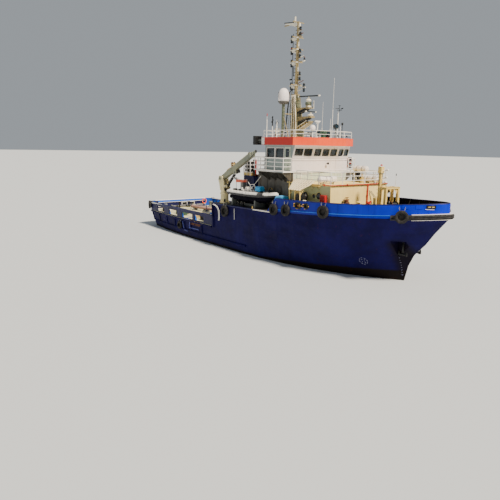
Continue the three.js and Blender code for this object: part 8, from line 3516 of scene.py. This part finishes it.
@dataclass
class SideDeck(Fittings):
    """What stands on the raised deck's starboard side: the covered locker, the boom's rest and loose gear."""

    def build(self) -> None:
        """Builds the locker, the rest and the loose gear."""
        form = Form(GREY)
        form.block((5.62, -4.28, fore_deck(6) + 0.003), (6.5, -3.62, 5.74), 0.03)
        form.made("side_deck_locker", slot="grey")
        Cover("locker_tarpaulin", (6.06, -3.95, 5.82), (0.5, 0.38), 5.1, 0.5, 5).build("side_deck_locker")
        self.rest()
        form = Form(BLACK)
        form.block((8.05, 2.45, BOAT_DECK), (8.7, 2.85, 7.9), 0.03)
        form.of(TRIM_WHITE).block((8.2, 2.42, 7.55), (8.42, 2.46, 7.72), 0.01)
        form.block((8.5, 2.42, 7.2), (8.64, 2.46, 7.4), 0.01)
        form.of(POST_GREEN).block((9.35, 1.9, BOAT_DECK), (9.5, 2.1, 7.6), 0.03)
        form.of(YELLOWED).turned(
            [(0, 0), (0.14, 0), (0.16, 0.3), (0.1, 0.5), (0.12, 0.7), (0, 0.72)], (9.65, 2.0, BOAT_DECK),
            segments=20)
        form.made("boat_deck_gear", bevel=0.0)
        form = Form(YELLOWED)
        # Coils and a pale bag near the awning's after post, and small pale floats on the deck edge.
        for x, y, z in ((6.9, -4.4, 4.62), (7.05, -4.3, 4.7)):
            form.of(YELLOWED).ring((x, y, z), (0.1, 0.1, 1), 0.17, 0.04, 24, 6)
        # Place, and the float's finish, height over the deck and radius.
        for x, y, finish, lift, radius in (
                (8.35, -4.75, MAST_WHITE, 1.02, 0.1), (9.5, -4.6, MAST_WHITE, 1.02, 0.1),
                (9.7, -4.62, MAST_WHITE, 1.02, 0.1), (8.6, -4.7, YELLOW, 1.0, 0.09)):
            form.of(finish).ball((x, y, fore_deck(x) + lift), radius, 12)
            form.of(GREY).rod((x, y, fore_deck(x)), (x, y, fore_deck(x) + 0.94), 0.02)
        form.made("side_deck_gear", bevel=0.0)

    def rest(self) -> None:
        """Builds the white rack on the starboard funnel, with dark panes, and the red standpipe beside it."""
        form = Form(TRIM_WHITE)
        xs, y0, y1 = (-1.5, -0.98, -0.46), -2.62, -2.0
        for x in xs:
            for y in (y0, y1):
                form.bar((x, y, 7.152), (x, y, 8.55), 0.07, 0.07, 0.01, AHEAD)
        for z in (7.45, 7.82, 8.18, 8.52):
            for y in (y0, y1):
                form.bar((xs[0], y, z), (xs[-1], y, z), 0.05, 0.06, 0.008)
            for x in (xs[0], xs[-1]):
                form.bar((x, y0, z), (x, y1, z), 0.05, 0.06, 0.008)
        form.of(CREAM).block((-1.5, y0, 7.152), (-0.46, y1, 7.44), 0.02)
        form.of(BLACK)
        for x in (-1.24, -0.72):
            for z in (7.64, 8.0, 8.35):
                form.block((x - 0.18, y0 + 0.05, z - 0.12), (x + 0.18, y1 - 0.05, z + 0.12), 0.02)
        form.made("boom_rest_rack", slot="white", bevel=0.0)
        form = Form(RED)
        form.rod((0.02, -2.3, 7.13), (0.02, -2.3, 8.62), 0.075, segments=14)
        form.turned([(0, 0), (0.11, 0), (0.11, 0.05), (0.08, 0.09), (0, 0.1)], (0.02, -2.3, 8.6), segments=18)
        form.rod((0.02, -2.3, 8.2), (0.3, -2.42, 8.26), 0.04)
        form.of(RUSTED).block((0.0, -2.56, 7.14), (0.22, -2.1, 7.3), 0.02)
        form.made("standpipe")


@dataclass
class AfterDeck(Fittings):
    """The open after deck's loose gear, and the panels, lines and lifebuoy inside its bulwarks."""

    hull: Skin
    deck: float = PLANK_TOP
    top: float = 3.0

    def panels(self) -> None:
        """Dresses the transom's and the port bulwark's inner faces: a band, white lines and dark boxes."""
        form = Form(BLUE)
        form.bar((-19.26, -3.3, 2.86), (-19.26, 3.9, 2.86), 0.03, 0.22, 0.006)
        form.of(TRIM_WHITE)
        for z in (2.72, 2.2):
            form.bar((-19.24, -3.3, z), (-19.24, 3.9, z), 0.03, 0.05, 0.006)
        for y in (0.5, 1.6):
            form.of(TRIM_WHITE).block((-19.27, y - 0.42, 2.26), (-19.23, y + 0.42, 2.66), 0.01)
            form.of(BLACK).block((-19.25, y - 0.34, 2.32), (-19.2, y + 0.34, 2.6), 0.01)
        # Dark uprights and boxes along the port bulwark.
        for x in (-18.4, -17.6, -16.4, -15.0, -13.9, -12.6, -11.2, -9.9, -8.2, -6.9):
            inside = self.hull.half(x, 2.6) - 0.14
            form.of(EDGE_NAVY).bar((x, inside, 2.05), (x, inside, 2.95), 0.07, 0.07, 0.01, AHEAD)
        form.made("after_bulwark_panels", slot="blue", bevel=0.0)

    def gear(self) -> None:
        """Stows coils, boxes, buckets, a pale plate and hawsers about the deck."""
        form = Form(TRIM_WHITE)
        form.bar((-5.86, -3.9, 2.95), (-5.22, -3.9, 2.95), 0.03, 0.3, 0.01)
        for x in (-5.8, -5.28):
            form.of(GREY).rod((x, -3.9, 2.0), (x, -3.9, 2.95), 0.03, segments=10)
        form.of(BLUE).bar((-5.7, -3.918, 2.95), (-5.45, -3.918, 2.95), 0.012, 0.16, 0.004)
        form.of(BLACK).block((-6.85, -4.05, self.deck), (-6.35, -3.7, 2.62), 0.03)
        form.turned(
            [(0, 0), (0.3, 0), (0.3, 0.5), (0.26, 0.5), (0.24, 0.06), (0, 0.05)], (-7.5, -3.75, self.deck),
            segments=28)
        for x, y, radius in ((-9.2, -3.5, 0.42), (-16.9, 1.9, 0.5), (-14.2, -2.9, 0.45), (-7.9, 2.9, 0.4)):
            for k in range(3):
                form.of(GREY if x < -10 else YELLOWED).ring((x, y, self.deck + 0.04 + 0.07 * k), UP,
                                                            radius - 0.05 * (k % 2), 0.045, 36, 6)
        # Dark green crates inside the third freeing port, and a white one by the second.
        form.of(GREEN).block((-13.0, -4.1, self.deck), (-11.5, -3.4, 2.72), 0.03)
        form.of(POST_GREEN).block((-12.7, -3.35, self.deck), (-12.0, -2.9, 2.5), 0.03)
        form.of(TRIM_WHITE).block((-16.2, -4.0, self.deck), (-15.3, -3.5, 2.5), 0.03)
        form.of(GREEN).block((-15.95, -4.01, 2.2), (-15.55, -3.49, 2.38), 0.01)
        # The towing hawser's guide: a pale arch over the winch's after side.
        form.of(CREAM)
        arch = rounded(
            [(-6.55, -1.35, self.deck), (-6.55, -1.35, 3.7), (-6.55, 1.35, 3.7), (-6.55, 1.35, self.deck)],
            0.3, 6)
        form.pipe(arch, 0.09, 12)
        for y in (-1.35, 1.35):
            form.of(BLACK).block((-6.75, y - 0.2, self.deck), (-6.35, y + 0.2, self.deck + 0.04), 0.01)
        # White-topped lamps on the bulwark near the step, and a box of hoses.
        form.of(TRIM_WHITE).block((-4.95, -4.1, 3.2), (-4.6, -3.95, 3.75), 0.02)
        form.of(BLACK).block((-4.92, -4.12, 3.3), (-4.64, -4.08, 3.6), 0.02)
        form.of(GREY).bar((-4.78, -4.03, 2.0), (-4.78, -4.03, 3.2), 0.06, 0.06, 0.01, AHEAD)
        form.made("after_deck_gear", bevel=0.0)
        form = Form(FASCIA)
        self.lifebuoy(form, (-19.16, 3.5, 2.62), AHEAD)
        self.lifebuoy(form, (-4.2, 3.2, 3.4), (-1, 0, 0))
        form.made("lifebuoys", slot="orange")

    def build(self) -> None:
        """Fits out the after deck."""
        self.panels()
        self.gear()


# Under water, and marks


@dataclass
class Propulsion:
    """The screws with twisted blades, and the nozzles' and rudders' bolts, ribs and zincs."""

    x: float = -15.55
    y: float = 2.3
    z: float = -2.5
    tip: float = 1.1
    hub: float = 0.24
    pitch: float = 2.1

    def blade(self, form: Form, turn: float, hand: int, middle: Vector) -> None:
        """Grows one blade of eight sections.

        Args:
            form: the piece it is added to.
            turn: the blade's angle about the shaft, in radians.
            hand: 1 or -1, by the way the screw turns.
            middle: the screw's middle.
        """
        rows = []
        for k in range(9):
            r = self.hub * 0.8 + (self.tip - self.hub * 0.8) * k / 8
            slope = math.atan(self.pitch / (FULL_TURN * max(r, 0.2)))
            chord = 0.26 + 0.62 * math.sin(
                math.pi * min(1.0, 0.18 + 0.62 * k / 8)) - (0.14 if k == 8 else 0.0)
            thick = 0.062 * (1 - 0.85 * k / 8)
            row = []
            for n in range(16):
                t = FULL_TURN * n / 16
                along, off = chord * 0.5 * math.cos(t), thick * 0.5 * math.sin(t) * (1 + 0.35 * math.cos(t))
                sweep = 0.10 * (k / 8) ** 2
                round_the_shaft = (along + sweep) * math.cos(slope) - off * math.sin(slope)
                ahead = along * math.sin(slope) + off * math.cos(slope) - 0.05 * k / 8
                angle = turn + hand * round_the_shaft / max(r, 0.3)
                row.append(middle + Vector((ahead, r * math.cos(angle), r * math.sin(angle))))
            rows.append(row)
        form.skin(rows)

    def screws(self) -> None:
        """Casts both screws in place of the plain ones."""
        for name, side in SIDES.items():
            middle = Vector((self.x, side * self.y, self.z))
            form = Form(BRONZE)
            form.turned(
                [(0, -0.52), (0.06, -0.5), (0.14, -0.4), (0.2, -0.26), (self.hub, -0.2),
                 (self.hub + 0.01, 0.0), (self.hub, 0.2), (self.hub - 0.02, 0.24), (0, 0.24)],
                middle, AHEAD, 40)
            for k in range(4):
                self.blade(form, math.pi / 4 + FULL_TURN * k / 4, side, middle)
            bolts(form.of(STEEL), [middle + Vector((-0.23, 0.16 * math.cos(a), 0.16 * math.sin(a)))
                                   for a in (FULL_TURN * k / 6 for k in range(6))], (-1, 0, 0), 0.02)
            form.made(f"cast_screw_{name}", f"screw_{name}", replaces=[f"propeller_{name}"], smooth=50)

    def zincs(self) -> None:
        """Bolts zinc blocks to the nozzles and the rudders, and bands round the nozzles."""
        for name, side in SIDES.items():
            form = Form(GALVANISED)
            at = Vector((-15.55, side * self.y, self.z))
            for x in (-16.0, -15.12):
                form.of(NAVY).ring((x, side * self.y, self.z), AHEAD, 1.292, 0.02, 56, 6)
            for k in range(6):
                a = FULL_TURN * (k + 0.5) / 6
                away = Vector((0, math.cos(a), math.sin(a)))
                form.of(GALVANISED).bar(
                    at + away * 1.305 - Vector((0.2, 0, 0)), at + away * 1.305 + Vector((0.2, 0, 0)), 0.1,
                    0.05, 0.012, away)
            form.made(f"nozzle_zincs_{name}")
            form = Form(GALVANISED)
            y = side * self.y
            for z in (-3.2, -2.2):
                for face in (-1, 1):
                    form.of(GALVANISED).bar(
                        (-17.1, y + face * 0.15, z), (-16.75, y + face * 0.15, z), 0.05, 0.1, 0.012)
            for z in (-3.45, -2.75, -2.05, -1.4):
                for face in (-1, 1):
                    form.of(NAVY).bar(
                        (-17.85, y + face * 0.1, z), (-16.7, y + face * 0.132, z), 0.014, 0.05, 0.003)
            form.made(f"rudder_ribs_{name}", f"steering_{name}")

    def build(self) -> None:
        """Builds what works under water."""
        self.screws()
        self.zincs()


@dataclass
class Anchors:
    """The stockless anchors in their pockets: shank, crown, flukes with palms, and the shackle."""

    x: float = 16.5

    def build(self) -> None:
        """Forges both anchors in place of the plain ones."""
        for name, side in SIDES.items():
            ys = [v.co.y for v in NODES[f"anchor_{name}"].data.vertices]
            back = min(ys) if side > 0 else max(ys)
            def at(x: float, z: float, out: float) -> Vector:
                """A point on the anchor, by its distance out from the pocket's back."""
                return Vector((self.x + x, back + side * out, z))
            form = Form(BLACK)
            form.bar(at(0, 2.3, 0.1), at(0, 3.02, 0.1), 0.13, 0.15, 0.03, (0, side, 0))
            form.ring(at(0, 3.1, 0.1), ABEAM, 0.065, 0.022, 20, 8)
            form.bar(at(-0.3, 2.2, 0.1), at(0.3, 2.2, 0.1), 0.17, 0.19, 0.05, (0, side, 0))
            for way in (-1, 1):
                rows = []
                for z, wide, thick, off in (
                        (2.12, 0.16, 0.17, 0.3), (2.3, 0.17, 0.13, 0.31), (2.5, 0.13, 0.09, 0.33),
                        (2.66, 0.07, 0.06, 0.345), (2.74, 0.02, 0.03, 0.35)):
                    z = 2.1 + (z - 2.12) * 0.57
                    rows.append(
                        [at(way * off + a * wide / 2, z, 0.1 + b * thick / 2) for a,
                         b in (
                             (-1, -0.7), (-0.6, -1), (0.6, -1), (1, -0.7), (1, 0.7), (0.6, 1), (-0.6, 1),
                             (-1, 0.7))])
                form.skin(rows)
            form.made(f"stockless_anchor_{name}", slot="black", replaces=[f"anchor_{name}"], smooth=45)


@dataclass
class Marks:
    """Marks on the hull: the bow thruster's ring and grille, draught ticks and stern plates."""

    hull: Skin
    # Place along the ship, height and radius of the thruster's tunnel.
    tunnel: tuple[float, float, float] = (13.1, -1.9, 0.6)
    bar_spacing: float = 0.15
    # Place along the ship and height of its sign on the topside, and the radii of the sign's ring and cross.
    sign: tuple[float, float] = (13.8, 1.33)
    sign_ring: float = 0.27
    sign_cross: tuple[float, float] = (0.08, 0.2)

    def on_sign(self, radius: float, angle: float, side: int) -> Vector:
        """A point of the sign, by its radius and angle about the sign's middle."""
        x, z = self.sign
        return self.hull.at(x + radius * math.cos(angle), z + radius * math.sin(angle), side, 0.002, False)[0]

    def thruster(self) -> None:
        """Bars the thruster's tunnel, and paints its ring on the topside."""
        along, level, radius = self.tunnel
        for name, side in SIDES.items():
            form = Form(NAVY)
            ring = []
            for k in range(40):
                a = FULL_TURN * k / 40
                point, out = self.hull.at(
                    along + radius * math.cos(a), level + radius * math.sin(a), side, 0.0, False)
                ring.append(point + out * 0.01)
            form.pipe(ring, 0.03, 6, closed=True)
            for k in range(-3, 4):
                off = k * self.bar_spacing
                reach = math.sqrt(radius ** 2 - off ** 2) + 0.02
                ends = [self.hull.at(along + off, level + s * reach, side, 0.01, False)[0] for s in (-1, 1)]
                form.bar(ends[0], ends[1], 0.03, 0.06, 0.006, ABEAM)
            form.made(f"thruster_grille_{name}")
            form = Form(WORN_MARK)
            for k in range(8):
                form.pipe(
                    [self.on_sign(self.sign_ring, FULL_TURN * (k + 0.2 * n) / 8, side) for n in range(4)],
                    0.018, 4)
            for a in (math.pi / 4, 3 * math.pi / 4):
                for s in (-1, 1):
                    p, q = (self.on_sign(s * r, a, side) for r in self.sign_cross)
                    form.bar(p, q, 0.03, 0.02, 0.004, ABEAM)
            # Draught ticks at the bow and aft.
            for x in (16.1, -17.9):
                for k in range(8):
                    z = 0.45 + 0.2 * k
                    wide = 0.07 if k % 5 == 0 else 0.035
                    p, out = self.hull.at(x, z, side, 0.004, False)
                    ahead = out.cross(Vector(UP)).normalized()
                    form.bar(p - ahead * wide, p + ahead * wide, 0.02, 0.03, 0.003, UP)
            form.made(f"hull_marks_{name}", slot="white")

    def stern(self) -> None:
        """Welds the pale plates at the stern's corners, and the rusty recesses below the after deck."""
        form = Form(TRIM_WHITE)
        for side in SIDES.values():
            form.of(TRIM_WHITE)
            rows = []
            for k in range(9):
                x = -19.0 + 4.0 * k / 8
                low, out = self.hull.at(x, 2.97 - 0.22 * (1 - k / 8), side)
                high, _ = self.hull.at(x, 2.99, side)
                rows.append([low - out * 0.02, low + out * 0.012, high + out * 0.012, high - out * 0.02])
            form.skin(rows)
            # Painted highlights: pale blue bars for the light lines on the guard plates and the lower strake
            # below the after deck.
            form.of(PALE_BLUE)
            for run in (
                    ((-10.1, 2.0), (-8.2, 2.06), (-8.4, 1.12), (-6.4, 1.16)),
                    ((-10.1, 2.0), (-9.55, 0.72), (-8.9, 0.66))):
                path = []
                for (xa, za), (xb, zb) in zip(run, run[1:]):
                    path += [
                        self.hull.at(xa + (xb - xa) * t, za + (zb - za) * t, side, 0.05)[0]
                        for t in (0, 0.34, 0.67)]
                path.append(self.hull.at(*run[-1], side, 0.05)[0])
                form.pipe(path, 0.055, 6)
            for x0, x1 in ((-8.3, -7.3), (-7.1, -6.1)):
                for z in (1.55, 1.95):
                    line = self.hull.line(x0, x1, lambda x, z=z: z, side)
                    form.of(RUSTED).sweep(line, [(-0.02, -0.03), (0.07, -0.03), (0.07, 0.03), (-0.02, 0.03)])
                line = self.hull.line(x0, x1, lambda x: 1.75, side)
                form.sweep(line, [(-0.02, -0.19), (0.02, -0.19), (0.02, 0.19), (-0.02, 0.19)])
        form.made("stern_and_side_plates", slot="white")

    def build(self) -> None:
        """Puts on the marks."""
        self.thruster()
        self.stern()


# The view


@dataclass(frozen=True)
class View:
    """The photograph's viewpoint, the floor at the waterline and soft studio light."""

    place: tuple[float, float, float] = (39.10991315, -31.75953751, 9.85)
    right: tuple[float, float, float] = (0.591885, 0.80583808, 0.01723752)
    down: tuple[float, float, float] = (0.17215389, -0.10549612, -0.97940472)
    ahead: tuple[float, float, float] = (-0.78742313, 0.58266247, -0.20116973)
    lens: float = 36.0
    floor_size: float = 1600.0
    sun: tuple[float, float, float] = (0.63, 0.06, 0.775)
    sun_power: float = 7.2
    sun_angle: float = 8.0
    sky_power: float = 0.45

    def set_camera(self) -> None:
        """Creates the camera; a 36 mm sensor and lens see 53 degrees across."""
        camera = bpy.data.cameras.new("view_camera")
        camera.sensor_width, camera.lens = 36.0, self.lens
        camera.clip_start, camera.clip_end = 0.5, 3000.0
        holder = bpy.data.objects.new("view_camera", camera)
        r, u, b = Vector(self.right), -Vector(self.down), -Vector(self.ahead)
        holder.matrix_world = Matrix(((r.x, u.x, b.x, self.place[0]), (r.y, u.y, b.y, self.place[1]),
                                      (r.z, u.z, b.z, self.place[2]), (0, 0, 0, 1)))
        bpy.context.scene.collection.objects.link(holder)
        bpy.context.scene.camera = holder

    def set_light(self) -> None:
        """Adds one broad soft light from ahead and to port, over a pale even sky."""
        sun = bpy.data.lights.new("soft_key_light", "SUN")
        sun.energy, sun.angle = self.sun_power, math.radians(self.sun_angle)
        sun.color = linear("#fff1dc")[:3]
        holder = bpy.data.objects.new("soft_key_light", sun)
        holder.rotation_euler = Vector(self.sun).to_track_quat("Z", "Y").to_euler()
        bpy.context.scene.collection.objects.link(holder)
        world = bpy.data.worlds.new("studio_sky")
        bpy.context.scene.world = world
        world.use_nodes = True
        sky = world.node_tree.nodes["Background"]
        sky.inputs["Color"].default_value = linear("#dfe7ee")
        sky.inputs["Strength"].default_value = self.sky_power

    def set_floor(self) -> None:
        """Lays the pale floor at the waterline."""
        half = self.floor_size / 2
        mesh = bpy.data.meshes.new("studio_floor")
        mesh.from_pydata([(-half, -half, 0), (half, -half, 0), (half, half, 0), (-half, half, 0)], [],
                         [(0, 1, 2, 3)])
        finish = bpy.data.materials.new("pale_studio_floor")
        finish.use_nodes = True
        shader = finish.node_tree.nodes["Principled BSDF"]
        shader.inputs["Base Color"].default_value = linear("#c9ced2")
        shader.inputs["Roughness"].default_value = 0.85
        mesh.materials.append(finish)
        floor = bpy.data.objects.new("studio_floor", mesh)
        bpy.context.scene.collection.objects.link(floor)


def dress_frame() -> None:
    """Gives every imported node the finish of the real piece."""
    dress(NAVY, "hull", "nozzle_stbd", "nozzle_port", "rudder_stbd", "rudder_port")
    dress(ROYAL, "forecastle_bulwark")
    dress(AFT_BLUE, "aft_bulwark")
    dress(RUBBER, "bow_fender", "strake_stbd", "strake_port")
    dress(SHADE, "accommodation")
    dress(HOUSE_CREAM, "forecastle_house")
    dress(EDGE_NAVY, "funnel_stbd", "funnel_port")
    dress(BLACK, "roof_lamp_box", "windlass_frame", "anchor_stbd", "anchor_port", "luff_cylinder_barrel")
    dress(TRIM_WHITE, "bridge_deck")
    dress(WHITE, "wheelhouse_front", "wheelhouse_side_stbd", "wheelhouse_side_port", "wheelhouse_aft")
    dress(TRIM_WHITE, "bridge_rails", "boat_deck_rail", "wheelhouse_roof", "radar_scanner_main",
          "radar_scanner_small", "top_rail")
    dress(FASCIA, "roof_fascia")
    dress(CREAM, "awning", "foremast", "forecastle_gantry")
    # The wing doors' pale green is painted shade.
    dress(PALE_GREEN, "door_stbd", "door_port")
    dress(MAST_CREAM, "mast")
    dress(GLASS, "glass_front", "glass_aft")
    dress(GREY, "helm_console", "tow_winch_frame", "boat_fittings", "boat_cradle")
    dress(DOME, "satcom_dome")
    dress(SHELL, "liferaft_stbd", "liferaft_port", "liferaft_aft")
    dress(STEEL, "tow_winch_drum", "windlass_drum")
    dress(CRANE_CREAM, "crane_pedestal", "crane_column")
    dress(BOOM_GREY, "crane_boom", "crane_extension")
    dress(CHROME, "luff_cylinder_rod")
    dress(BOAT_NAVY, "boat_hull")
    dress(HYPALON, "boat_tube")
    dress(BRONZE, "propeller_stbd", "propeller_port")


def main() -> None:
    """Dresses the frame and sets up the camera, the lights and the floor."""
    logging.basicConfig(level=logging.INFO, format="%(name)s: %(message)s")
    view = View()
    view.set_camera()
    view.set_light()
    view.set_floor()
    dress_frame()
    hull = Skin("hull", "forecastle_bulwark", "aft_bulwark")
    for part in (
            Tyres(hull), Strakes(hull), BowFender(hull), Bulwarks(hull), DeckGear(hull), Houses(),
            Wheelhouse(), Roof(), Mast(), Scanners(), Radome(), Canisters(), Canopy(), Forepart(), Winches(),
            Crane(), RescueBoat(), SideDeck(), AfterDeck(hull), Propulsion(), Anchors(), Marks(hull)):
        part.build()


if __name__ == "__main__":
    main()
